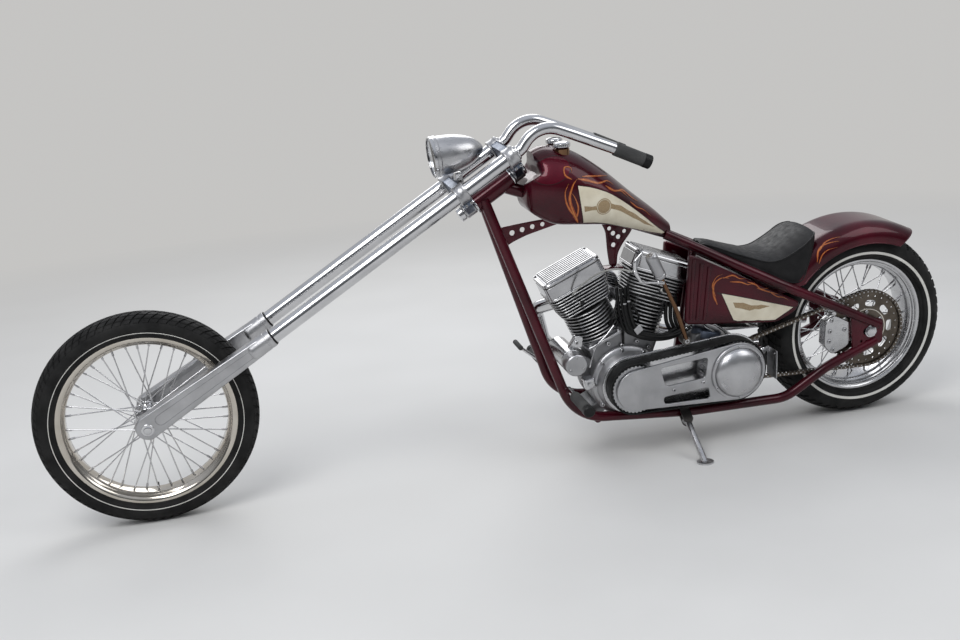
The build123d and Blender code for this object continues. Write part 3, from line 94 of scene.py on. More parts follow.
@dataclass(frozen=True)
class Stance:
    """The leaned place of the machine: build millimetres to the row frame in metres."""

    lean_deg: float = 5.0
    rear_axle_z: float = 336.0
    front_axle_x: float = -2468.0
    front_axle_z: float = 349.30
    fork_rise_deg: float = 31.1

    def matrix(self) -> Matrix:
        """Work out the way from the upright build frame to the row frame.

        Returns:
            The matrix, from millimetres to metres.
        """
        low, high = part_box("rear_tyre")
        axle = (Vector(low) + Vector(high)) / 2
        lean = Matrix.Rotation(math.radians(self.lean_deg), 4, "X")
        shift = axle - (lean @ (Z_AXIS * self.rear_axle_z)) * MM
        return Matrix.Translation(shift) @ lean @ Matrix.Scale(MM, 4)

    @property
    def along(self) -> Vector:
        """Direction up the fork."""
        rise = math.radians(self.fork_rise_deg)
        return Vector((math.cos(rise), 0, math.sin(rise)))

    @property
    def across(self) -> Vector:
        """Direction square to the fork, forwards and up."""
        return Vector((-self.along.z, 0, self.along.x))

    def on_fork(self, station: float, out: float, side: float = 0.0) -> Vector:
        """Point at a distance up the fork from the axle, out square to it, and to the right."""
        foot = Vector((self.front_axle_x, side, self.front_axle_z))
        return foot + self.along * station + self.across * out

    def fork_place(self, side: float = 0.0) -> Matrix:
        """Local X up the fork, local Y outwards and local Z to the left."""
        return place_matrix(self.on_fork(0, 0, side), self.along, self.across)


def place_matrix(origin: Vector, x_dir: Vector, y_dir: Vector) -> Matrix:
    """Matrix of a place.

    Args:
        origin: The place's origin.
        x_dir: Its local X, a unit vector.
        y_dir: Its local Y, a unit vector square to X.

    Returns:
        The four by four matrix.
    """
    z_dir = x_dir.cross(y_dir)
    rows = [(x_dir[i], y_dir[i], z_dir[i], origin[i]) for i in range(3)]
    return Matrix((*rows, (0, 0, 0, 1)))


def left_place(at: Row) -> Matrix:
    """Place with local X to the rear, local Y up and local Z to the left."""
    return place_matrix(Vector(at), X_AXIS, Z_AXIS)


def right_place(at: Row) -> Matrix:
    """Place with local X to the rear, local Y down and local Z to the right."""
    return place_matrix(Vector(at), X_AXIS, -Z_AXIS)


def side_place(y: float) -> Matrix:
    """Place on the plane of one Y, with local X and Y as the build X and Z."""
    return left_place((0, y, 0))


def axis_place(at: Vector, axis: Vector) -> Matrix:
    """Place with local Z along an axis, turned in no set way about it."""
    side = axis.orthogonal().normalized()
    return place_matrix(at, side, axis.cross(side))


def turns(count: int, start: float = 0.0) -> list[float]:
    """Angles that share a full turn out evenly, in radians."""
    return [start + math.tau * i / count for i in range(count)]


def polar(centre: Row, radius: float, angle: float) -> Vector:
    """Flat point at a radius and an angle from a centre."""
    return Vector((centre[0] + radius * math.cos(angle), centre[1] + radius * math.sin(angle)))


def mixed(low: float, high: float, share: float) -> float:
    """Value at a share of the way between two values."""
    return low + (high - low) * share


def held(value: float) -> float:
    """Value held between 0 and 1."""
    return max(0, min(1, value))


def add_object(name: str, data: bpy.types.ID) -> bpy.types.Object:
    """Put an object into the scene.

    Args:
        name: The object's name.
        data: Its mesh, curve, lamp or camera.

    Returns:
        The new object.
    """
    made = bpy.data.objects.new(name, data)
    bpy.context.scene.collection.objects.link(made)
    return made


STANCE = Stance()
TO_ROW = STANCE.matrix()
FRONT_AXLE = Vector((STANCE.front_axle_x, 0, STANCE.front_axle_z))
REAR_AXLE = Vector((0, 0, STANCE.rear_axle_z))


def add_node(tree: Tree, kind: str, **values: float | tuple) -> bpy.types.Node:
    """Add a shader node and set its inputs.

    Args:
        tree: The node tree.
        kind: The node's type without its leading words.
        values: Input values by their names, with spaces as underscores.

    Returns:
        The node.
    """
    node = tree.nodes.new("ShaderNode" + kind)
    for name, value in values.items():
        node.inputs[name.replace("_", " ")].default_value = value
    return node


class Paint:
    """Small helper that wires one procedural material."""

    def __init__(self, name: str) -> None:
        """Start a material with its shader.

        Args:
            name: The material's name.
        """
        self.material = bpy.data.materials.new(name)
        self.material.use_nodes = True
        self.tree = self.material.node_tree
        self.shader = self.tree.nodes["Principled BSDF"]
        self.join = self.tree.links.new
        self.place = add_node(self.tree, "TexCoord").outputs["Object"]

    def set(self, **values: float | tuple) -> None:
        """Set shader sockets by their names, with spaces as underscores."""
        for name, value in values.items():
            self.shader.inputs[name.replace("_", " ")].default_value = value

    def noise(self, scale: float, detail: float = 3.0, stretch: tuple = (1, 1, 1)) -> Socket:
        """Noise in object space.

        Args:
            scale: Noise scale in cells per metre.
            detail: Noise detail.
            stretch: Scale of each axis.

        Returns:
            The factor socket.
        """
        mapping = add_node(self.tree, "Mapping", Scale=stretch)
        node = add_node(self.tree, "TexNoise", Scale=scale, Detail=detail)
        self.join(self.place, mapping.inputs["Vector"])
        self.join(mapping.outputs["Vector"], node.inputs["Vector"])
        return node.outputs["Fac"]

    def cells(self, scale: float) -> Socket:
        """Grain of cells in object space.

        Args:
            scale: Cells per metre.

        Returns:
            The distance socket.
        """
        node = add_node(self.tree, "TexVoronoi", Scale=scale)
        self.join(self.place, node.inputs["Vector"])
        return node.outputs["Distance"]

    def ramp(self, source: Socket, stops: Sequence[tuple[float, tuple]]) -> Socket:
        """Colour ramp over a factor.

        Args:
            source: The factor.
            stops: Positions and colours.

        Returns:
            The colour socket.
        """
        node = add_node(self.tree, "ValToRGB")
        band = node.color_ramp
        band.elements[0].position, band.elements[0].color = stops[0][0], (*stops[0][1], 1)
        band.elements[1].position, band.elements[1].color = stops[-1][0], (*stops[-1][1], 1)
        for position, color in stops[1:-1]:
            band.elements.new(position).color = (*color, 1)
        self.join(source, node.inputs["Fac"])
        return node.outputs["Color"]

    def colour(self, source: Socket) -> None:
        """Drive the base colour."""
        self.join(source, self.shader.inputs["Base Color"])

    def roughness(self, source: Socket, low: float, high: float) -> None:
        """Drive the roughness.

        Args:
            source: A noise, whose middle part is used.
            low: Smoothest value.
            high: Roughest value.
        """
        node = add_node(self.tree, "MapRange", From_Min=0.3, From_Max=0.7, To_Min=low, To_Max=high)
        self.join(source, node.inputs["Value"])
        self.join(node.outputs["Result"], self.shader.inputs["Roughness"])

    def bump(self, source: Socket, strength: float, distance: float) -> None:
        """Drive the surface's relief.

        Args:
            source: The height.
            strength: Share of the full effect.
            distance: Height of the relief in metres.
        """
        node = add_node(self.tree, "Bump", Strength=strength, Distance=distance)
        self.join(source, node.inputs["Height"])
        self.join(node.outputs["Normal"], self.shader.inputs["Normal"])


@dataclass(frozen=True)
class CandyPaint:
    """Deep coloured lacquer under a thick clear coat."""

    name: str
    deep: tuple
    bright: tuple
    metal: float = 0.35

    def material(self) -> bpy.types.Material:
        """Build the paint.

        Returns:
            The material.
        """
        paint = Paint(self.name)
        paint.set(Metallic=self.metal, Coat_Weight=0.45, Coat_Roughness=0.03, Specular_IOR_Level=0.15)
        paint.colour(paint.ramp(paint.noise(7, 4), [(0.3, self.deep), (0.72, self.bright)]))
        paint.roughness(paint.noise(900, 2), 0.24, 0.36)
        paint.bump(paint.noise(260, 1), 0.05, 0.0004)
        return paint.material


@dataclass(frozen=True)
class PlainPaint:
    """Opaque paint line or panel under a clear coat."""

    name: str
    low: tuple
    high: tuple
    scale: float = 24.0

    def material(self) -> bpy.types.Material:
        """Build the paint.

        Returns:
            The material.
        """
        paint = Paint(self.name)
        paint.set(Coat_Weight=0.3, Coat_Roughness=0.06, Specular_IOR_Level=0.3)
        paint.colour(paint.ramp(paint.noise(self.scale, 4), [(0.3, self.low), (0.7, self.high)]))
        paint.roughness(paint.noise(500, 2), 0.3, 0.42)
        paint.bump(paint.noise(300, 1), 0.04, 0.0003)
        return paint.material


@dataclass(frozen=True)
class Metal:
    """Bare or plated metal with fine wear."""

    name: str
    low: tuple
    high: tuple
    smooth: float
    rough: float
    grain: float = 700.0
    stretch: tuple = (1, 1, 1)
    relief: float = 0.05
    depth: float = 0.0003

    def material(self) -> bpy.types.Material:
        """Build the metal.

        Returns:
            The material.
        """
        paint = Paint(self.name)
        paint.set(Metallic=1)
        paint.colour(paint.ramp(paint.noise(11, 5), [(0.3, self.low), (0.7, self.high)]))
        paint.roughness(paint.noise(26, 6, self.stretch), self.smooth, self.rough)
        paint.bump(paint.noise(self.grain, 2, self.stretch), self.relief, self.depth)
        return paint.material


@dataclass(frozen=True)
class Rubber:
    """Dull rubber or plastic with dust in its grain."""

    name: str
    low: tuple
    high: tuple
    smooth: float = 0.55
    rough: float = 0.85
    grain: float = 900.0

    def material(self) -> bpy.types.Material:
        """Build the rubber.

        Returns:
            The material.
        """
        paint = Paint(self.name)
        paint.set(Specular_IOR_Level=0.22)
        paint.colour(paint.ramp(paint.noise(14, 6), [(0.35, self.low), (0.75, self.high)]))
        paint.roughness(paint.noise(30, 4), self.smooth, self.rough)
        paint.bump(paint.noise(self.grain, 3), 0.25, 0.0005)
        return paint.material


@dataclass(frozen=True)
class Leather:
    """Grained black leather."""

    name: str
    low: tuple = (0.005, 0.005, 0.0055)
    high: tuple = (0.014, 0.0135, 0.014)

    def material(self) -> bpy.types.Material:
        """Build the leather.

        Returns:
            The material.
        """
        paint = Paint(self.name)
        paint.set(Specular_IOR_Level=0.22)
        paint.colour(paint.ramp(paint.noise(20, 6), [(0.3, self.low), (0.7, self.high)]))
        paint.roughness(paint.noise(60, 5), 0.40, 0.62)
        paint.bump(paint.cells(420), 0.35, 0.0007)
        return paint.material


@dataclass(frozen=True)
class ClearGlass:
    """Clear glass for the lamp."""

    name: str

    def material(self) -> bpy.types.Material:
        """Build the glass.

        Returns:
            The material.
        """
        paint = Paint(self.name)
        paint.set(Base_Color=(0.95, 0.97, 1, 1), Transmission_Weight=1, IOR=1.3)
        paint.roughness(paint.noise(40, 3), 0.01, 0.05)
        paint.bump(paint.noise(90, 1, (1, 0.1, 1)), 0.1, 0.0006)
        return paint.material


def span(tree: Tree, source: Socket, low: float, high: float) -> Socket:
    """Share of the way from one value to another, held between 0 and 1.

    Args:
        tree: The node tree.
        source: The value.
        low: Where the share is 0.
        high: Where the share is 1.

    Returns:
        The share's socket.
    """
    node = add_node(tree, "MapRange", From_Min=low, From_Max=high)
    tree.links.new(source, node.inputs["Value"])
    return node.outputs["Result"]


def math_of(tree: Tree, kind: str, *sources: Socket) -> Socket:
    """Run two sockets through a Math node.

    Args:
        tree: The node tree.
        kind: The node's operation.
        sources: The two inputs.

    Returns:
        The result's socket.
    """
    node = add_node(tree, "Math")
    node.operation = kind
    for source, socket in zip(sources, node.inputs):
        tree.links.new(source, socket)
    return node.outputs["Value"]


BACKDROP = (0.560, 0.555, 0.545)


@dataclass(frozen=True)
class Ground:
    """Plain pale floor that fades into the backdrop's colour far from the machine."""

    name: str
    low: tuple = (0.60, 0.595, 0.58)
    high: tuple = (0.64, 0.635, 0.62)

    def material(self) -> bpy.types.Material:
        """Build the floor's finish.

        Returns:
            The material.
        """
        paint = Paint(self.name)
        paint.colour(paint.ramp(paint.noise(1.5, 6), [(0.3, self.low), (0.7, self.high)]))
        paint.roughness(paint.noise(6, 4), 0.75, 0.9)
        paint.bump(paint.noise(120, 3), 0.1, 0.0008)
        tree = paint.tree
        split = add_node(tree, "SeparateXYZ")
        tree.links.new(paint.place, split.inputs["Vector"])
        away = add_node(tree, "VectorMath")
        away.operation = "LENGTH"
        tree.links.new(paint.place, away.inputs[0])
        fade = span(tree, away.outputs["Value"], 2, 6.5)
        ray = add_node(tree, "LightPath").outputs
        mirror = math_of(tree, "MAXIMUM", ray["Is Glossy Ray"], ray["Is Transmission Ray"])
        behind = math_of(tree, "MULTIPLY", mirror, span(tree, split.outputs["Y"], -2, 0.5))
        seen = math_of(tree, "MAXIMUM", ray["Is Camera Ray"], behind)
        glow = add_node(tree, "Emission", Color=(*BACKDROP, 1))
        mix = add_node(tree, "MixShader")
        tree.links.new(math_of(tree, "MULTIPLY", fade, seen), mix.inputs["Fac"])
        tree.links.new(paint.shader.outputs["BSDF"], mix.inputs[1])
        tree.links.new(glow.outputs["Emission"], mix.inputs[2])
        tree.links.new(mix.outputs["Shader"], tree.nodes["Material Output"].inputs["Surface"])
        return paint.material


class Finish(Enum):
    """Every finish on the machine."""

    MAROON = CandyPaint("candy_maroon", (0.022, 0.0005, 0.003), (0.078, 0.002, 0.0105))
    # Brighter maroon for the oval on the tank's flank: a painted highlight that stands for the light on the
    # panel's bulge.
    MAROON_PANEL = CandyPaint("candy_maroon_panel", (0.045, 0.001, 0.006), (0.120, 0.004, 0.017))
    IVORY = PlainPaint("ivory_paint", (0.62, 0.56, 0.43), (0.74, 0.69, 0.56))
    GOLD = PlainPaint("gold_paint", (0.24, 0.165, 0.085), (0.38, 0.28, 0.16), 300)
    FLAME = PlainPaint("flame_paint", (0.20, 0.022, 0.005), (0.40, 0.075, 0.010), 60)
    FLAME_HEART = PlainPaint("flame_heart", (0.42, 0.15, 0.03), (0.60, 0.27, 0.07), 60)
    EDGE_LINE = PlainPaint("dark_edge_line", (0.012, 0.002, 0.003), (0.03, 0.004, 0.006), 60)
    POLISHED = Metal("polished_alloy", (0.46, 0.46, 0.465), (0.62, 0.62, 0.63), 0.14, 0.30, 500, (1, 1, 6))
    SATIN = Metal("satin_alloy", (0.38, 0.38, 0.39), (0.52, 0.52, 0.53), 0.30, 0.45, 650, (8, 1, 1), 0.10)
    CAST = Metal(
        "cast_alloy", (0.24, 0.24, 0.245), (0.36, 0.36, 0.37), 0.40, 0.58, 500, relief=0.35, depth=0.0006
    )
    FIN = Metal("finned_alloy", (0.34, 0.34, 0.345), (0.50, 0.50, 0.505), 0.26, 0.42, 600, (1, 1, 4), 0.15)
    # Near-black alloy of the cylinder cores, the bands between the fins and the studs: painted shade deep
    # between the fins.
    FIN_ROOT = Metal("dark_fin_root", (0.025, 0.025, 0.025), (0.06, 0.06, 0.06), 0.50, 0.70, 400, relief=0.3)
    CHROME = Metal("chrome", (0.54, 0.54, 0.55), (0.66, 0.66, 0.67), 0.04, 0.11, 300, relief=0.02)
    WARM_CHROME = Metal("warm_chrome", (0.50, 0.46, 0.40), (0.64, 0.60, 0.54), 0.08, 0.16, 300, relief=0.03)
    STEEL = Metal("dark_steel", (0.09, 0.085, 0.08), (0.20, 0.19, 0.18), 0.32, 0.55, 400, relief=0.3)
    COVER = Metal("cover_alloy", (0.36, 0.36, 0.37), (0.52, 0.52, 0.53), 0.10, 0.24, 600, (1, 1, 5), 0.05)
    BOLT = Metal("bolt_steel", (0.40, 0.40, 0.41), (0.60, 0.60, 0.61), 0.18, 0.34, 500)
    BRUSHED_DOME = Metal(
        "brushed_dome", (0.44, 0.44, 0.45), (0.58, 0.58, 0.59), 0.24, 0.38, 900, (1, 9, 1), 0.08
    )
    BLUE_CAST = Metal("blue_grey_cast", (0.09, 0.11, 0.15), (0.19, 0.215, 0.27), 0.34, 0.5, 500, relief=0.2)
    CHAIN = Metal("oiled_chain", (0.075, 0.062, 0.050), (0.17, 0.145, 0.12), 0.30, 0.5, 500, relief=0.2)
    BRONZE = Metal("bronze_shaft", (0.13, 0.07, 0.04), (0.22, 0.125, 0.07), 0.07, 0.16, 500, (1, 1, 3))
    TYRE = Rubber("tyre_rubber", (0.006, 0.006, 0.006), (0.020, 0.0195, 0.019))
    WHITE_BAND = Rubber("white_band", (0.62, 0.61, 0.57), (0.76, 0.75, 0.71), 0.5, 0.7, 500)
    GRIP = Rubber("grip_rubber", (0.045, 0.045, 0.045), (0.085, 0.085, 0.082), 0.6, 0.85, 600)
    BLACK = Rubber("black_rubber", (0.005, 0.005, 0.005), (0.014, 0.014, 0.014), 0.35, 0.6)
    BELT = Rubber("belt_rubber", (0.007, 0.007, 0.007), (0.018, 0.018, 0.018), 0.45, 0.65, 1200)
    HOSE = Rubber("hose_rubber", (0.004, 0.004, 0.004), (0.012, 0.012, 0.012), 0.30, 0.5)
    CABLE = Rubber("grey_cable", (0.24, 0.24, 0.23), (0.36, 0.36, 0.34), 0.45, 0.6)
    LEATHER = Leather("seat_leather")
    GLASS = ClearGlass("lamp_glass")
    GROUND = Ground("pale_floor")

    @property
    def made(self) -> bpy.types.Material:
        """The material, built once."""
        return built(self)


@lru_cache(maxsize=None)
def built(finish: Finish) -> bpy.types.Material:
    """Build a finish's material once."""
    return finish.value.material()


def rounded_route(points: Sequence[Row], bends: Sequence[float]) -> list[Vector]:
    """Rigid tube's middle line: straight runs joined by arcs.

    Args:
        points: Corner points in the build frame.
        bends: Radius at each inner corner.

    Returns:
        Points along the line, dense in the arcs.
    """
    corners = [Vector(p) for p in points]
    line = [corners[0]]
    for before, corner, after, bend in zip(corners, corners[1:], corners[2:], bends):
        into = (before - corner).normalized()
        away = (after - corner).normalized()
        half = into.angle(away) / 2
        reach = bend / math.tan(half)
        middle = corner + (into + away).normalized() * (bend / math.sin(half))
        start = corner + into * reach - middle
        normal = start.cross(corner + away * reach - middle)
        turn = math.pi - 2 * half
        steps = max(3, int(math.degrees(turn) / 5))
        for index in range(steps + 1):
            spin = Matrix.Rotation(turn * index / steps, 3, normal)
            line.append(middle + spin @ start)
    line.append(corners[-1])
    return line


def smooth_line(points: Sequence[Row], steps: int = 8) -> list[Vector]:
    """Catmull-Rom line through points of any dimension.

    Args:
        points: The points to pass through.
        steps: New points on each span.

    Returns:
        The dense line.
    """
    knots = [Vector(p) for p in points]
    knots = [knots[0] * 2 - knots[1], *knots, knots[-1] * 2 - knots[-2]]
    line = []
    for a, b, c, d in zip(knots, knots[1:], knots[2:], knots[3:]):
        for index in range(steps):
            t = index / steps
            square, cube = 2 * a - 5 * b + 4 * c - d, 3 * b - a - 3 * c + d
            line.append(0.5 * ((2 * b) + (c - a) * t + square * t * t + cube * t ** 3))
    line.append(knots[-2])
    return line


def round_outline(points: Sequence[Row], radius: float, steps: int = 5) -> list[Vector]:
    """Closed flat outline with its corners rounded.

    Args:
        points: Corner points.
        radius: Largest corner radius.
        steps: Points on each corner.

    Returns:
        The rounded outline.
    """
    corners = [Vector(p[:2]) for p in points]
    outline = []
    for index, corner in enumerate(corners):
        before = corners[index - 1] - corner
        after = corners[(index + 1) % len(corners)] - corner
        reach = min(radius, before.length * 0.45, after.length * 0.45)
        start = corner + before.normalized() * reach
        end = corner + after.normalized() * reach
        for step in range(steps + 1):
            t = step / steps
            outline.append(start * (1 - t) ** 2 + corner * 2 * t * (1 - t) + end * t * t)
    return outline


def circle(x: float, y: float, radius: float, count: int = 48) -> list[Vector]:
    """Closed flat circle."""
    return [polar((x, y), radius, angle) for angle in turns(count)]


def box_outline(half_x: float, half_y: float, radius: float, steps: int = 5, y: float = 0.0) -> list[Vector]:
    """Flat box of two half sizes with rounded corners, its middle at X 0 and the given Y."""
    signs = ((-1, -1), (1, -1), (1, 1), (-1, 1))
    return round_outline([(a * half_x, y + b * half_y) for a, b in signs], radius, steps)


def lifted(ring: Sequence[Vector], y: float) -> list[Vector]:
    """Flat ring of X and Z, stood at one Y."""
    return [Vector((p.x, y, p.y)) for p in ring]


class Shape:
    """A mesh being built in millimetres in the upright build frame."""

    def __init__(self, name: str) -> None:
        """Start an empty mesh.

        Args:
            name: The piece's name.
        """
        self.name = name
        self.mesh = bmesh.new()
        self.finishes: list[Finish] = []

    def slot_of(self, finish: Finish) -> int:
        """Find a finish's material slot, and add it when it is new.

        Args:
            finish: The finish.

        Returns:
            The slot's index.
        """
        if finish not in self.finishes:
            self.finishes.append(finish)
        return self.finishes.index(finish)

    def grid(
        self, rows: Sequence[Sequence[Vector]], finish: Finish, wrap: bool = False, loop: bool = False
    ) -> None:
        """Skin over rows of points.

        Args:
            rows: Rows with the same number of points.
            finish: The finish.
            wrap: Join each row's end to its start.
            loop: Join the last row to the first.
        """
        slot = self.slot_of(finish)
        made = [[self.mesh.verts.new(p) for p in row] for row in rows]
        pairs = list(zip(made, made[1:])) + ([(made[-1], made[0])] if loop else [])
        for low, high in pairs:
            count = len(low)
            for i in range(count if wrap else count - 1):
                j = (i + 1) % count
                quad = self.mesh.faces.new((low[i], low[j], high[j], high[i]))
                quad.material_index = slot

    def cap(self, ring: Sequence[Vector], finish: Finish) -> None:
        """Flat face on a ring of points."""
        face = self.mesh.faces.new([self.mesh.verts.new(p) for p in ring])
        face.material_index = self.slot_of(finish)

    def lathe(
        self, rows: Sequence[Row], place: Matrix, finish: Finish, count: int = 64, closed: bool = False
    ) -> None:
        """Turned form about a place's local Z.

        Args:
            rows: Radius and height pairs.
            place: Where the form stands.
            finish: The finish.
            count: Steps round.
            closed: Join the last row to the first.
        """
        slot = self.slot_of(finish)
        rings: list[list[bmesh.types.BMVert]] = []
        for radius, height in rows:
            if radius <= 1e-6:
                rings.append([self.mesh.verts.new(place @ Vector((0, 0, height)))])
                continue
            ring = [(*polar((0, 0), radius, angle), height) for angle in turns(count)]
            rings.append([self.mesh.verts.new(place @ Vector(p)) for p in ring])
        pairs = list(zip(rings, rings[1:])) + ([(rings[-1], rings[0])] if closed else [])
        for low, high in pairs:
            for i in range(count):
                j = (i + 1) % count
                corners = [low[i % len(low)], low[j % len(low)], high[j % len(high)], high[i % len(high)]]
                unique = list(dict.fromkeys(corners))
                if len(unique) > 2:
                    self.mesh.faces.new(unique).material_index = slot

    def tube(
        self, line: Sequence[Vector], radius: float | Sequence[float], finish: Finish, count: int = 24,
        caps: bool = True
    ) -> None:
        """Round tube along a line.

        Args:
            line: The middle line.
            radius: One radius, or one for each point.
            finish: The finish.
            count: Sides of the tube.
            caps: Close the ends.
        """
        points = [Vector(p) for p in line]
        sizes = list(radius) if isinstance(radius, (list, tuple)) else [radius] * len(points)
        last = len(points) - 1
        tangents = [(points[min(i + 1, last)] - points[max(i - 1, 0)]).normalized() for i in range(last + 1)]
        side = tangents[0].orthogonal().normalized()
        rings = []
        for point, tangent, size in zip(points, tangents, sizes):
            side = (side - tangent * side.dot(tangent)).normalized()
            other = tangent.cross(side)
            rings.append([point + (side * math.cos(a) + other * math.sin(a)) * size for a in turns(count)])
        self.grid(rings, finish, wrap=True)
        if caps:
            self.cap(rings[0], finish)
            self.cap(rings[-1], finish)

    def rod(
        self, start: Row, end: Row, radius: float, finish: Finish, count: int = 24, chamfer: float = 0.0
    ) -> None:
        """Round bar between two points.

        Args:
            start: Middle of one end.
            end: Middle of the other end.
            radius: Its radius.
            finish: The finish.
            count: Its sides.
            chamfer: Width of the chamfer at both ends.
        """
        a, b = Vector(start), Vector(end)
        along = (b - a).normalized() * chamfer
        line = [a, a + along, b - along, b] if chamfer else [a, b]
        sizes = [radius - chamfer, radius, radius, radius - chamfer] if chamfer else [radius, radius]
        self.tube(line, sizes, finish, count)

    def plate(
        self, outline: Sequence[Vector], place: Matrix, depth: float, finish: Finish,
        holes: Iterable[Sequence[Vector]] = (), bevel: float = 0.0
    ) -> None:
        """Flat plate with holes and eased edges, from local Z 0 to a depth.

        Args:
            outline: Closed outline in local X and Y.
            place: Where the plate lies.
            depth: Thickness along local Z, of either sign.
            finish: The finish.
            holes: Closed outlines of the holes.
            bevel: Width of the eased edge.
        """
        data = bpy.data.curves.new(self.name + "_outline", "CURVE")
        data.dimensions = "2D"
        data.fill_mode = "BOTH"
        data.extrude = abs(depth) / 2 - bevel
        data.bevel_depth = bevel
        data.bevel_resolution = 2
        data.offset = -bevel
        for ring in (outline, *holes):
            spline = data.splines.new("POLY")
            spline.points.add(len(ring) - 1)
            for point, corner in zip(spline.points, ring):
                point.co = (corner[0], corner[1], 0, 1)
            spline.use_cyclic_u = True
        holder = add_object(self.name + "_outline", data)
        solid = bpy.data.meshes.new_from_object(holder.evaluated_get(bpy.context.evaluated_depsgraph_get()))
        solid.transform(place @ Matrix.Translation((0, 0, depth / 2)))
        self.take(solid, finish)
        bpy.data.objects.remove(holder)
        bpy.data.meshes.remove(solid)
        bpy.data.curves.remove(data)

    def prism(self, ring: Sequence[Vector], near: float, far: float, finish: Finish) -> None:
        """Solid between two Y planes on a flat ring of X and Z.

        Args:
            ring: The closed ring.
            near: Y of the first end.
            far: Y of the second end.
            finish: The finish.
        """
        ends = [lifted(ring, near), lifted(ring, far)]
        self.grid(ends, finish, wrap=True)
        self.cap(ends[0], finish)
        self.cap(ends[1], finish)

    def bolts(self, spots: Iterable[Row], y: float, way: Vector, radius: float, height: float) -> None:
        """Bolts at spots of X and Z whose heads stand on one Y plane, to the left or right."""
        for x, z in spots:
            self.bolt((x, y, z), way, radius, height)

    def take(self, solid: bpy.types.Mesh, finish: Finish) -> None:
        """Add another mesh in one finish.

        Args:
            solid: The mesh, in the build frame.
            finish: The finish.
        """
        before = len(self.mesh.faces)
        self.mesh.from_mesh(solid)
        self.mesh.faces.ensure_lookup_table()
        slot = self.slot_of(finish)
        for face in self.mesh.faces[before:]:
            face.material_index = slot

    def bolt(self, at: Row, along: Row, radius: float, height: float, finish: Finish = Finish.BOLT) -> None:
        """Socket-head bolt standing on a surface.

        Args:
            at: Middle of the head's foot.
            along: Direction that the head stands in.
            radius: Head radius.
            height: Head height.
            finish: The finish.
        """
        place = axis_place(Vector(at), Vector(along).normalized())
        rows = [
            (0, -1), (radius, -1), (radius, height * 0.8), (radius * 0.85, height), (radius * 0.5, height)
        ]
        self.lathe(rows, place, finish, 18)
        socket = [(radius * 0.5, height), (radius * 0.45, height * 0.4), (0, height * 0.4)]
        self.lathe(socket, place, Finish.STEEL, 6)

    def weld(self) -> None:
        """Join points that lie in one place."""
        bmesh.ops.remove_doubles(self.mesh, verts=self.mesh.verts, dist=0.002)

    def finish(
        self, replaces: str, slot: Slot, angle: float = 38.0, body: Body = Body.FRAME
    ) -> bpy.types.Object:
        """Turn the mesh into a piece on its body.

        Args:
            replaces: The CAD node that it stands for, or nothing.
            slot: The record's material slot; not used.
            angle: Edges sharper than this stay sharp, in degrees.
            body: The body it rides on.

        Returns:
            The new object.
        """
        self.weld()
        bmesh.ops.recalc_face_normals(self.mesh, faces=self.mesh.faces)
        data = bpy.data.meshes.new(self.name)
        self.mesh.to_mesh(data)
        self.mesh.free()
        data.transform(TO_ROW)
        for finish in self.finishes:
            data.materials.append(finish.made)
        data.polygons.foreach_set("use_smooth", [True] * len(data.polygons))
        data.set_sharp_from_angle(angle=math.radians(angle))
        piece = add_object(self.name, data)
        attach(piece, body.value)
        if replaces:
            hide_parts(replaces)
        LOG.info("%s: %d faces", self.name, len(data.polygons))
        return piece


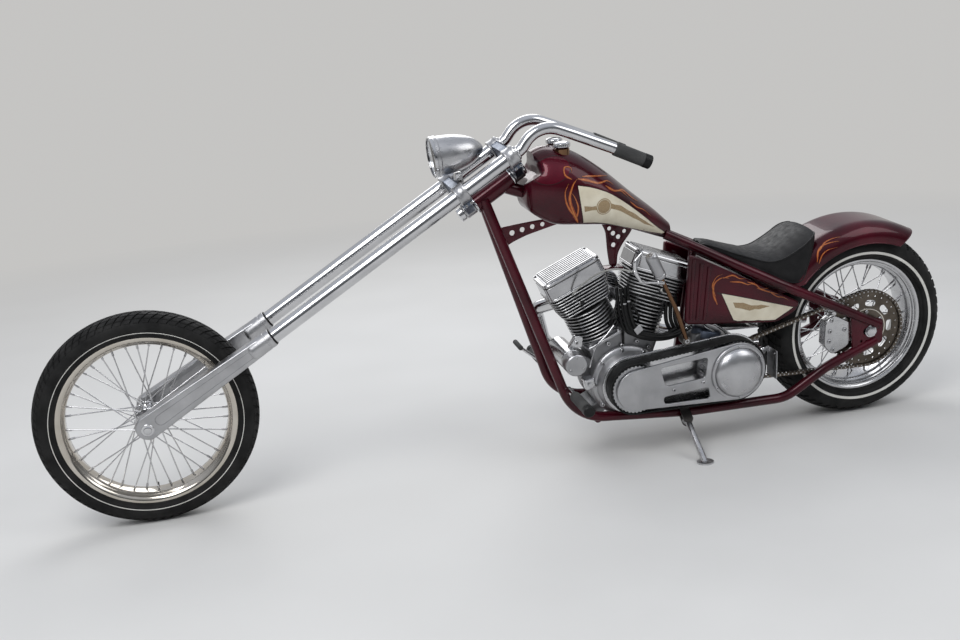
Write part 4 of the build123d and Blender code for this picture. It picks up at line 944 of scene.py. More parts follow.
@dataclass
class Wheel:
    """Wire wheel with its tyre."""

    name: str
    centre: Vector
    body: Body
    tyre_rows: tuple
    rim_rows: tuple
    hub_rows: tuple
    bands: tuple
    flange_radius: float
    flange_height: float
    rim_radius: float
    rim_height: float
    rim_finish: Finish
    tread_edge: float
    tread_depth: float
    tread_pitches: int
    tread_skew: float
    spokes: int = 40
    lacing_deg: float = 44.0
    spoke_radius: float = 2.1
    steps: int = 160

    def build(self) -> None:
        """Build every piece of the wheel."""
        self.tyre()
        self.rim()
        self.spoke_set()
        self.hub()

    def half_profile(self) -> list[Vector]:
        """Dense outline of the right half of the tyre, as half width and radius."""
        return smooth_line(self.tyre_rows, 6)

    def radius_at(self, half: float) -> float:
        """Tread radius at a distance from the centre plane.

        Args:
            half: The distance.

        Returns:
            The radius.
        """
        line = self.half_profile()
        for a, b in zip(line, line[1:]):
            if a.x <= half <= b.x:
                return a.y + (b.y - a.y) * (half - a.x) / max(b.x - a.x, 1e-6)
        return line[0].y

    def tyre(self) -> None:
        """Carcass with raised tread blocks and the pale bands."""
        shape = Shape(self.name + "_tyre_skin")
        place = left_place(self.centre)
        right = []
        for p in self.half_profile():
            drop = self.tread_depth if p.x < self.tread_edge else 0.0
            right.append((p.y - drop, p.x))
        left = [(r, -h) for r, h in reversed(right)]
        shape.lathe(left + right, place, Finish.TYRE, self.steps)
        self.tread(shape, place)
        for low, high in self.bands:
            rows = [p for p in self.half_profile() if p.x > self.tread_edge and low <= p.y <= high]
            for sign in (1, -1):
                lift = [(p.y, sign * (p.x + 0.5)) for p in rows]
                first, last = ((r, h - sign) for r, h in (lift[0], lift[-1]))
                shape.lathe([first, *lift, last], place, Finish.WHITE_BAND, self.steps)
        shape.finish(self.name + "_tyre", Slot.TYRE, body=self.body)

    def tread(self, shape: Shape, place: Matrix) -> None:
        """Rows of slanted blocks across the crown.

        Args:
            shape: The tyre's mesh.
            place: The wheel's place.
        """
        edge = self.tread_edge
        # Columns: near and far share of the half tread, share of a pitch that the block fills.
        bands = ((0.03, 0.40, 0.86), (0.46, 0.76, 0.80), (0.82, 1, 0.62))
        pitch = math.tau / self.tread_pitches
        for index in range(self.tread_pitches):
            for sign in (1, -1):
                start = index * pitch + (0.5 * pitch if sign < 0 else 0)
                for near, far, fill in bands:
                    self.block(shape, place, (start, fill * pitch), sign, (near * edge, far * edge))

    def block(self, shape: Shape, place: Matrix, arc: Row, sign: int, edges: Row) -> None:
        """One tread block.

        Args:
            shape: The tyre's mesh.
            place: The wheel's place.
            arc: Where the block starts round the wheel, and its angle.
            sign: Side of the centre plane.
            edges: Distances of its edges from the centre plane.
        """
        near, far = edges
        rows = []
        for drop in (self.tread_depth + 0.5, 0.6, 0):
            inset = 0.0 if drop else 0.6
            ring = []
            for i, j in ((0, 0), (0, 1), (0, 2), (1, 2), (2, 2), (2, 1), (2, 0), (1, 0)):
                half = near + inset + (far - near - 2 * inset) * j / 2
                turn = arc[0] + arc[1] * (0.03 + 0.94 * i / 2) + self.tread_skew * half
                spot = polar((0, 0), self.radius_at(half) - drop, turn)
                ring.append(place @ Vector((*spot, sign * half)))
            rows.append(ring)
        shape.grid(rows, Finish.TYRE, wrap=True)
        shape.cap(rows[-1], Finish.TYRE)

    def rim(self) -> None:
        """Turned rim with its steps and a valve."""
        shape = Shape(self.name + "_rim_skin")
        place = left_place(self.centre)
        shape.lathe(self.rim_rows, place, self.rim_finish, self.steps, closed=True)
        ends = [place @ Vector((0, -self.rim_radius + out, self.rim_height)) for out in (-2, 26)]
        shape.rod(*ends, 3, Finish.BLACK, 12)
        shape.finish(self.name + "_rim", Slot.ALLOY, 30, body=self.body)

    def spoke_set(self) -> None:
        """Crossed spokes with nipples and hooked heads."""
        shape = Shape(self.name + "_spoke_set")
        place = left_place(self.centre)
        pitch = math.tau / self.spokes
        lacing = math.radians(self.lacing_deg)
        for index in range(self.spokes):
            side = 1 if index % 2 == 0 else -1
            crossing = 1 if index % 4 < 2 else -1
            foot = polar((0, 0), self.flange_radius, index * pitch + crossing * lacing)
            tip = polar((0, 0), self.rim_radius, index * pitch)
            low = Vector((*foot, side * (self.flange_height + crossing * 5.4)))
            high = Vector((*tip, side * self.rim_height))
            along = (high - low).normalized()
            shape.rod(place @ low, place @ high, self.spoke_radius, Finish.CHROME, 10)
            shape.rod(place @ (high - along * 17), place @ high, 3.6, Finish.BOLT, 10, 0.8)
            shape.rod(place @ (low - along * 3), place @ (low + along * 3), 3.4, Finish.CHROME, 8, 1)
        shape.finish(self.name + "_spokes", Slot.CHROME, body=self.body)

    def hub(self) -> None:
        """Turned hub."""
        shape = Shape(self.name + "_hub_skin")
        shape.lathe(self.hub_rows, left_place(self.centre), Finish.CHROME, closed=True)
        shape.finish(self.name + "_hub", Slot.CHROME, 30, body=self.body)


def mirrored_rows(rows: Sequence[Row]) -> tuple:
    """Rows of radius and height with their mirror image below."""
    return tuple(rows) + tuple((r, -h) for r, h in reversed(rows))


def hull(circles: Sequence[Row], count: int = 64) -> list[Vector]:
    """Closed outline wrapped round circles.

    Args:
        circles: X, Y and radius of each circle.
        count: Points sampled on each circle.

    Returns:
        The outline, anticlockwise.
    """
    found: set[tuple[float, float]] = set()
    for x, y, radius in circles:
        for angle in turns(count):
            found.add((round(x + radius * math.cos(angle), 4), round(y + radius * math.sin(angle), 4)))
    points = sorted(found)
    halves = []
    for order in (points, list(reversed(points))):
        chain: list[tuple[float, float]] = []
        for p in order:
            while len(chain) > 1 and cross_of(chain[-2], chain[-1], p) <= 0:
                chain.pop()
            chain.append(p)
        halves.append(chain[:-1])
    return [Vector(p) for p in halves[0] + halves[1]]


def around(outline: Sequence[Vector]) -> float:
    """Length of a closed outline."""
    return sum((b - a).length for a, b in zip(outline, [*outline[1:], outline[0]]))


def stations(outline: Sequence[Vector], count: int) -> list[tuple[Vector, Vector]]:
    """Evenly spaced points round a closed outline.

    Args:
        outline: The closed outline.
        count: How many points.

    Returns:
        Each point and the outline's direction there.
    """
    step, walked = around(outline) / count, 0.0
    found: list[tuple[Vector, Vector]] = []
    target = 0.0
    for a, b in zip(outline, [*outline[1:], outline[0]]):
        size = (b - a).length
        while target < walked + size and len(found) < count:
            found.append((a + (b - a) * ((target - walked) / size), (b - a).normalized()))
            target += step
        walked += size
    return found


def cross_of(a: Row, b: Row, c: Row) -> float:
    """Twice the signed area of a flat triangle."""
    return (b[0] - a[0]) * (c[1] - a[1]) - (b[1] - a[1]) * (c[0] - a[0])


def toothed(centre: Row, teeth: int, tooth: Sequence[Row]) -> list[Vector]:
    """Outline of a toothed wheel.

    Args:
        centre: Its centre.
        teeth: How many teeth.
        tooth: Points of one tooth, as a share of the pitch and a radius.

    Returns:
        The closed outline.
    """
    return [
        polar(centre, radius, math.tau * (index + share) / teeth)
        for index in range(teeth)
        for share, radius in tooth
    ]


def inside(x: float, y: float, outline: Sequence[Row]) -> bool:
    """Whether a flat point lies inside a closed outline.

    Args:
        x: The point's X.
        y: The point's Y.
        outline: The closed outline.

    Returns:
        True inside it.
    """
    found = False
    for (ax, ay), (bx, by) in zip(outline, [*outline[1:], outline[0]]):
        if (ay > y) != (by > y) and x < (bx - ax) * (y - ay) / (by - ay) + ax:
            found = not found
    return found


@dataclass
class Artwork:
    """Paint laid on a skin by casting flat outlines onto it along Y."""

    shape: Shape
    side: Side
    cell: float = 6.0
    lift: float = 0.35
    reach: float = 400.0

    def __post_init__(self) -> None:
        """Keep the skin as it is before any paint is laid."""
        self.shape.mesh.normal_update()
        self.skin = BVHTree.FromBMesh(self.shape.mesh)

    def drop(self, x: float, z: float, lift: float) -> Vector | None:
        """Point on the skin under a flat point.

        Args:
            x: The flat point's X.
            z: The flat point's Z.
            lift: How far it is lifted off the skin.

        Returns:
            The point, or None where the skin is missed.
        """
        way = Vector((0, -self.side.value, 0))
        at, normal, _, _ = self.skin.ray_cast(Vector((x, self.side.value * self.reach, z)), way)
        if at is None:
            return None
        out = normal if normal.dot(way) < 0 else -normal
        return at + out * lift

    def fill(self, outline: Sequence[Row], finish: Finish, layer: int = 1) -> None:
        """Fill a closed outline.

        Args:
            outline: X and Z pairs.
            finish: The paint.
            layer: Height of the layer above the skin.
        """
        ring = [Vector(p[:2]) for p in outline]
        edges = [(i, (i + 1) % len(ring)) for i in range(len(ring))]
        columns, rows = ([p[axis] for p in ring] for axis in (0, 1))
        inner = []
        for i in range(int((max(columns) - min(columns)) / self.cell) + 1):
            for j in range(int((max(rows) - min(rows)) / self.cell) + 1):
                x, z = min(columns) + (i + 0.5) * self.cell, min(rows) + (j + 0.5) * self.cell
                if inside(x, z, ring):
                    inner.append(Vector((x, z)))
        verts, _, faces, _, _, _ = delaunay_2d_cdt(ring + inner, edges, [], 1, 0.01)
        placed = [self.drop(v.x, v.y, self.lift * layer) for v in verts]
        slot = self.shape.slot_of(finish)
        made = [None if p is None else self.shape.mesh.verts.new(p) for p in placed]
        for face in faces:
            corners = [made[i] for i in face]
            if None not in corners and spread(corners) < self.cell * 6:
                self.shape.mesh.faces.new(corners).material_index = slot

    def stroke(self, line: Sequence[Vector], widths: Sequence[float], finish: Finish, layer: int = 2) -> None:
        """Brush stroke along a flat line, left out where it misses the skin.

        Args:
            line: Points as X and Z.
            widths: Full width at each point.
            finish: The paint.
            layer: Height of the layer above the skin.
        """
        last = len(line) - 1
        runs: list[list[list[Vector]]] = [[]]
        for i, (point, width) in enumerate(zip(line, widths)):
            along = (line[min(i + 1, last)] - line[max(i - 1, 0)]).normalized()
            across = Vector((-along.y, along.x)) * width / 2
            row = [self.drop(*(point + across * share), self.lift * layer) for share in (-1, 0, 1)]
            if None in row:
                runs.append([])
            else:
                runs[-1].append(row)
        for rows in runs:
            if len(rows) > 1:
                self.shape.grid(rows, finish)

    def line(
        self, points: Sequence[Row], width: float, finish: Finish = Finish.EDGE_LINE, layer: int = 2
    ) -> None:
        """Smooth stroke of even width through points of X and Z."""
        path = smooth_line(points, 10)
        self.stroke(path, [width] * len(path), finish, layer)

    def licks(self, licks: Iterable[tuple[Sequence[Row], float]]) -> None:
        """Flame licks: orange bodies that taper to their tips, each with a pale heart line.

        Args:
            licks: X and Z pairs from root to tip, and the width, of each.
        """
        for points, width in licks:
            path = smooth_line(points, 10)
            count = len(path) - 1
            parts = [i / count for i in range(count + 1)]
            shares = [min(1, 5.0 * part + 0.25) * (1 - part ** 1.6) + 0.06 for part in parts]
            self.stroke(path, [width * s * 0.8 + 1.2 for s in shares], Finish.EDGE_LINE, 2)
            self.stroke(path, [width * s * 0.8 for s in shares], Finish.FLAME, 3)
            self.stroke(path, [width * s * 0.2 for s in shares], Finish.FLAME_HEART, 4)


def spread(corners: Sequence[bmesh.types.BMVert]) -> float:
    """Longest edge of a small face."""
    return max((a.co - b.co).length for a in corners for b in corners)


@dataclass
class Fork:
    """Long straight fork with its clamps and stem."""

    spacing: float = 192.0
    tube_out: float = -6.5
    tube_radius: float = 24.5
    leg_length: float = 477.0
    leg_thickness: float = 40.0
    steering_line: float = -90.0
    clamps: tuple = (1217, 1412)
    clamp_half: float = 19.0

    def build(self) -> None:
        """Build legs, tubes, clamps, stem and axle."""
        self.legs()
        self.tubes()
        self.clamp_pair()
        self.stem()
        self.axle()

    def axis(self, station: float, out: float, side: float) -> Matrix:
        """Place with local Z up the fork and local Y outwards."""
        return place_matrix(STANCE.on_fork(station, out, side), Y_AXIS, STANCE.across)

    def legs(self) -> None:
        """Machined flat blades with a round collar and pinched axle ends."""
        shape = Shape("fork_leg_pair")
        blade = hull(((5, 4, 39), (425, self.tube_out, 27)))
        recess = hull(((52, 2, 17), (392, self.tube_out, 12)), 32)
        for side in Side:
            middle = side.value * self.spacing / 2
            place = STANCE.fork_place(middle + self.leg_thickness / 2)
            shape.plate(blade, place, self.leg_thickness, Finish.SATIN, (circle(0, 0, 10.4),), 5.5)
            # A thin darker line on the blade traces a pocket that is not cut: painted shade at the pocket's
            # edge.
            outer = STANCE.fork_place(middle + side.value * self.leg_thickness / 2)
            lip = [outer @ Vector((p.x, p.y, -0.25 * side.value)) for p in recess]
            shape.tube([*lip, lip[0]], 0.9, Finish.CAST, 8, caps=False)
            collar = self.axis(0, self.tube_out, middle)
            rows = (
                (24.8, 470), (24.8, 477), (29, 477), (30, 476), (30, 462), (28.8, 461), (28.8, 458),
                (30, 457), (30, 405), (29, 398), (26, 394), (20, 392)
            )
            shape.lathe(rows, collar, Finish.SATIN)
            rows = [(24.6, 477), (28.5, 477), (28, 480.5), (25.5, 482.5), (24.6, 482.5)]
            shape.lathe(rows, collar, Finish.BLACK)
            for station in (-14, 14):
                shape.bolt(STANCE.on_fork(station, -31, middle), -STANCE.across, 6, 6)
            at = STANCE.on_fork(0, 0, middle + side.value * 20)
            rows = ((0, 5), (9, 5), (11, 4.2), (12.5, 2), (19, 1.6), (20, 0.6), (20, -1))
            shape.lathe(rows, place_matrix(at, X_AXIS, Z_AXIS * -side.value), Finish.CHROME, 40)
        shape.finish("fork_legs", Slot.ALLOY, 32, body=Body.FORK)

    def tubes(self) -> None:
        """Polished fork tubes."""
        shape = Shape("fork_tube_pair")
        for side in Side:
            middle = side.value * self.spacing / 2
            low = STANCE.on_fork(self.leg_length - 60, self.tube_out, middle)
            high = STANCE.on_fork(self.clamps[1] + self.clamp_half, self.tube_out, middle)
            line = [low + (high - low) * i / 24 for i in range(25)]
            shape.tube(line, self.tube_radius, Finish.CHROME, 64)
        shape.finish("fork_tubes", Slot.CHROME, body=Body.FORK)

    def clamp_pair(self) -> None:
        """Both clamps with split rings, ribs and pinch bolts."""
        shape = Shape("triple_clamp_forgings")
        for station in self.clamps:
            half = self.clamp_half
            reach = self.spacing / 2
            body = self.axis(station - half + 6, 0, 0)
            corners = [(way * reach, self.tube_out, 22.5) for way in (-1, 1)]
            bridge = hull([*corners, (0, self.steering_line, 21.5)], 48)
            tube_holes = [circle(side.value * reach, self.tube_out, self.tube_radius + 0.3) for side in Side]
            window = round_outline(((-44, -22), (44, -22), (18, -58), (-18, -58)), 12)
            stem_hole = circle(0, self.steering_line, 13)
            shape.plate(bridge, body, 2 * half - 12, Finish.BLUE_CAST, (*tube_holes, stem_hole, window), 3)
            boss = [(13.1, -half), (23, -half), (24.8, -half + 2), (24.8, half - 2), (23, half), (13.1, half)]
            shape.lathe(boss, self.axis(station, self.steering_line, 0), Finish.SATIN, 48, closed=True)
            ring = [
                (24.7, -half), (31, -half), (33, -half + 2), (33, -half + 8), (32, -half + 9.5),
                (32, half - 9.5), (33, half - 8), (33, half - 2), (31, half), (24.7, half)
            ]
            for side in Side:
                middle = side.value * reach
                shape.lathe(ring, self.axis(station, self.tube_out, middle), Finish.SATIN, closed=True)
                ear = self.axis(station - half + 3, 0, 0)
                near, far = self.tube_out - 28, self.tube_out - 44
                outline = round_outline(
                    [(middle - 13, near), (middle + 13, near), (middle + 13, far), (middle - 13, far)], 5
                )
                shape.plate(outline, ear, 2 * half - 6, Finish.BLUE_CAST, bevel=2)
                for step in (-9, 9):
                    at = STANCE.on_fork(station + step, self.tube_out - 37, middle + side.value * 13)
                    shape.bolt(at, (0, side.value, 0), 4.6, 4)
        shape.finish("triple_clamps", Slot.ALLOY, 35, body=Body.FORK)

    def stem(self) -> None:
        """Stem with its lower nut and domed top nut."""
        shape = Shape("steering_stem_set")
        bottom = self.clamps[0] - self.clamp_half
        top = self.clamps[1] + self.clamp_half
        low = self.axis(bottom, self.steering_line, 0)
        rows = [
            (0, -22), (18, -22), (22.5, -20), (23, -18), (23, -4), (21, -2), (12.7, -2), (12.7, 240), (0, 240)
        ]
        shape.lathe(rows, low, Finish.CHROME, 48)
        high = self.axis(top, self.steering_line, 0)
        rows = [(12.7, 0), (19, 0), (19.8, 1.5), (19.8, 7), (17, 10), (9, 11.6), (0, 12)]
        shape.lathe(rows, high, Finish.CHROME, 48)
        shape.finish("steering_stem", Slot.CHROME, body=Body.FORK)

    def axle(self) -> None:
        """Front axle with turned spacers."""
        shape = Shape("front_axle_set")
        place = left_place(FRONT_AXLE)
        reach = self.spacing / 2 + self.leg_thickness / 2
        shape.lathe([(0, -reach), (10, -reach), (10, reach), (0, reach)], place, Finish.CHROME, 40)
        inner = self.spacing / 2 - self.leg_thickness / 2 - 0.3
        for side in Side:
            rows = [
                (10.2, 53), (14, 53), (15, 54), (15, 60), (13.2, 61.5), (13.2, inner - 6), (15, inner - 4.5),
                (15, inner - 0.5), (10.2, inner)
            ]
            shape.lathe([(r, -side.value * h) for r, h in rows], place, Finish.POLISHED, 40)
        shape.finish("front_axle", Slot.CHROME, body=Body.FORK)


FORK = Fork()


@dataclass
class Handlebars:
    """Swept bars that carry the fork tubes on, with their grips."""

    radius: float = 19.0
    grip_radius: float = 23.0
    grip_length: float = 120.0
    corners: tuple = ((-1163, 97, 1172), (-1050, 101, 1126), (-925, 108.8, 1071.7), (-808, 122, 1016))

    def build(self) -> None:
        """Build both bars and grips."""
        bars = Shape("swept_bars")
        grips = Shape("ribbed_grips")
        for side in Side:
            across = side.value * FORK.spacing / 2
            start = [STANCE.on_fork(s, FORK.tube_out, across) for s in (1431.3, 1453)]
            route = [*start, *[Vector((x, side.value * y, z)) for x, y, z in self.corners]]
            bars.tube(rounded_route(route, (60, 92, 90, 90)), self.radius, Finish.CHROME, 48)
            up = (start[1] - start[0]).normalized()
            collar = place_matrix(start[0], Y_AXIS, up.cross(Y_AXIS))
            rows = [(19, 0.4), (24, 0.4), (24.5, 1.5), (24.5, 5), (21, 8), (19, 8.5)]
            bars.lathe(rows, collar, Finish.CHROME, 48)
            self.grip(grips, route[-2], route[-1])
        bars.finish("handlebars", Slot.CHROME, body=Body.FORK)
        grips.finish("grips", Slot.GRIPS, 30, body=Body.FORK)

    def grip(self, shape: Shape, before: Vector, end: Vector) -> None:
        """Soft sleeve with a black end ring and a bright plug.

        Args:
            shape: The grips' mesh.
            before: The bar's last bend.
            end: The bar's end.
        """
        along = (end - before).normalized()
        place = axis_place(end - along * self.grip_length, along)
        r = self.grip_radius
        rows = [(19.3, 0), (r - 2, 0), (r - 1.2, 1.5)]
        for index in range(26):
            z = 4 + index * 3.7
            rows += [(r - 1.1, z), (r - 0.6, z + 0.9), (r - 0.6, z + 2.6), (r - 1.1, z + 3.3)]
        shape.lathe([*rows, (r - 1.1, 102.5)], place, Finish.GRIP)
        rows = [(20, 102.5), (r - 0.2, 102.5), (r, 104), (r, 126), (r - 2, 128.5), (13, 129)]
        shape.lathe(rows, place, Finish.BLACK)
        shape.lathe([(13, 128.5), (12.5, 129.2), (8, 129.9), (0, 129.9)], place, Finish.CHROME, 32)


@dataclass
class Headlight:
    """Bullet headlight with its bracket, reflector and bulb."""

    rim_centre: tuple = (-1492.7, 0, 1080.2)
    radius: float = 66.5
    length: float = 172.0
    pitch_deg: float = 5.4

    def place(self) -> Matrix:
        """Place at the rim's centre.

        Returns:
            The place, with local Z to the lamp's tail.
        """
        pitch = math.radians(self.pitch_deg)
        axis = Vector((math.cos(pitch), 0, math.sin(pitch)))
        return place_matrix(Vector(self.rim_centre), Y_AXIS, axis.cross(Y_AXIS))

    def build(self) -> None:
        """Build shell, lens, reflector and bracket."""
        place = self.place()
        shell = Shape("lamp_shell")
        r = self.radius
        corners = (
            (63.6, 24), (63.2, 42), (61.6, 62), (57.5, 88), (49, 118), (36, 144), (18, 164), (6, 171),
            (0, 172)
        )
        profile = smooth_line(corners, 6)
        rows = [
            (57, 9), (60.5, 8), (60.7, 0.6), (62, 0), (64.5, 0.2), (r, 2.5), (r, 9), (r - 1.2, 11),
            (r - 1.2, 15), (r, 17), (r, 21), (64.4, 23)
        ]
        shell.lathe(rows[:7], place, Finish.CHROME, 96)
        shell.lathe([*rows[6:], *profile], place, Finish.BRUSHED_DOME, 96)
        reflector = [(59, 9.5), (56, 18), (48, 32), (36, 45), (22, 54), (9, 58), (0, 58)]
        shell.lathe(reflector, place, Finish.CHROME)
        shell.lathe([(0, 26), (6, 27), (9, 31), (9, 40), (6, 46), (6, 57)], place, Finish.WHITE_BAND, 32)
        shell.lathe([(14, 29), (14.5, 29), (14.5, 33), (14, 33)], place, Finish.CHROME, 32, closed=True)
        bracket = round_outline(((1228, -14), (1228, 12), (1246, 36), (1266, 28), (1250, -14)), 6)
        shell.plate(bracket, STANCE.fork_place(16), 32, Finish.POLISHED, bevel=2)
        for side in Side:
            shell.bolt(STANCE.on_fork(1245, 8, side.value * 16), Y_AXIS * side.value, 7.5, 5)
        shell.finish("headlight_shell", Slot.CHROME, 30, body=Body.FORK)
        lens = Shape("lamp_lens")
        rows = [(0, 1.5), (20, 1.8), (40, 2.8), (56, 4.4), (60, 5.2), (60, 8), (0, 8)]
        lens.lathe(rows, place, Finish.GLASS)
        lens.finish("headlight_lens", Slot.LENS, 50, body=Body.FORK)


@dataclass
class FrameTubes:
    """Rigid frame: backbone, downtubes, cradle, rear rails and small plates."""

    tube: float = 17.0
    backbone: float = 22.0
    downtube_gap: float = 19.5
    lower_rail: tuple = (
        (-1127, 99, 294),
        (-1087, 113, 166),
        (-673, 122, 129),
        (-312, 134, 128),
        (-165, 148, 226),
        (24, 148, 298),
    )

    def build(self) -> None:
        """Build every tube and plate of the frame."""
        self.head()
        self.main_tubes()
        self.cross_tubes()
        self.plates()

    def head(self) -> None:
        """Steering head with bright bearing cups."""
        shape = Shape("steering_head")
        place = FORK.axis(0, FORK.steering_line, 0)
        shape.lathe([(21, 1240), (29, 1240), (29, 1389), (21, 1389)], place, Finish.MAROON)
        for low, high in ((1237.4, 1243.5), (1385.5, 1391.6)):
            rows = [(20.2, low), (30.5, low), (31, low + 0.8), (31, high - 0.8), (30.5, high), (20.2, high)]
            shape.lathe(rows, place, Finish.CHROME, closed=True)
        shape.finish("head_tube", Slot.PAINT)

    def main_tubes(self) -> None:
        """Backbone, downtubes and the rails to the rear axle."""
        shape = Shape("backbone_tube")
        start = STANCE.on_fork(1345, FORK.steering_line)
        shape.tube([start, Vector((-700, 0, 744))], self.backbone, Finish.MAROON, 48)
        shape.finish("backbone", Slot.PAINT)
        top = STANCE.on_fork(1272, FORK.steering_line, self.downtube_gap)
        self.pair("downtube", (top, (-1127, 99, 294)))
        self.pair("lower_rail", self.lower_rail, (158, 900, 130, 220))
        self.pair("upper_rail", ((-712, 22, 742), (-330, 148, 542), (34, 148, 355)), (380,))

    def pair(self, node: str, corners: Sequence[Row], bends: Sequence[float] = ()) -> None:
        """Tube and its mirror image.

        Args:
            node: The CAD nodes' name without the side.
            corners: The right tube's corner points.
            bends: Radius at each inner corner.
        """
        for side in Side:
            name = f"{node}_{side.name.lower()}"
            shape = Shape(name + "_tube")
            route = [(x, side.value * y, z) for x, y, z in corners]
            shape.tube(rounded_route(route, bends), self.tube, Finish.MAROON, 40)
            shape.finish(name, Slot.PAINT)

    def cross_tubes(self) -> None:
        """Seat post and cross tubes under the engine and gearbox."""
        shape = Shape("seat_post_tubes")
        shape.rod((-600, 0, 684), (-690, 0, 134), 14, Finish.MAROON, 32)
        # Columns: X, Z, reach, radius.
        spots = ((-600, 684, 50, 13), (-1000, 147, 108, 14), (-690, 134, 112, 14), (-480, 134, 114, 14))
        for x, z, reach, radius in spots:
            shape.rod((x, -reach, z), (x, reach, z), radius, Finish.MAROON, 32)
        shape.finish("seat_post", Slot.PAINT)

    def plates(self) -> None:
        """Axle plates and the drilled tank and engine brackets."""
        outline = round_outline(((-78, 415), (48, 372), (48, 288), (-66, 270)), 10)
        slot = hull(((-14.5, 336, 13.2), (6.5, 336, 13.2)), 24)
        # Columns: X, Z of the lightening holes.
        spots = ((-30, 375), (-10, 372), (10, 368), (-34, 302), (-14, 299), (8, 302))
        holes = [circle(x, z, 5, 20) for x, z in spots]
        shape = Shape("drilled_axle_plates")
        for side in Side:
            shape.plate(outline, side_place(side.value * 148 + 5), 10, Finish.MAROON, (slot, *holes), 1)
        shape.finish("axle_plates", Slot.PAINT)
        shape = Shape("drilled_brackets")
        corners = (
            (-1292, 826), (-1210, 834), (-1130, 838), (-1078, 832), (-1078, 818), (-1130, 806), (-1190, 792),
            (-1240, 774), (-1268, 758)
        )
        front = round_outline(corners, 14)
        holes = ((-1240, 805, 9), (-1205, 812, 8.5), (-1170, 818, 8), (-1135, 822, 7.5))
        shape.plate(front, side_place(3), 6, Finish.MAROON, [circle(*hole, 24) for hole in holes], 0.8)
        shape.rod((-1288, -38, 796), (-1288, 38, 796), 11, Finish.MAROON)
        corners = (
            (-975, 862), (-900, 834), (-815, 790), (-826, 760), (-858, 722), (-876, 690), (-880, 648),
            (-905, 648), (-912, 700), (-916, 770), (-940, 820)
        )
        rear = round_outline(corners, 14)
        holes = ((-903, 780, 7), (-890, 762, 8), (-872, 748, 8), (-890, 722, 8), (-850, 765, 7))
        shape.plate(rear, side_place(3), 6, Finish.MAROON, [circle(*hole, 24) for hole in holes], 0.8)
        foot = round_outline(((-928, 640), (-864, 640), (-864, 648), (-928, 648)), 2)
        shape.plate(foot, side_place(22), 44, Finish.MAROON, bevel=0.8)
        for y in (-14, 14):
            shape.bolt((-890, y, 648), Z_AXIS, 5, 4)
        shape.finish("tank_brackets", Slot.PAINT)


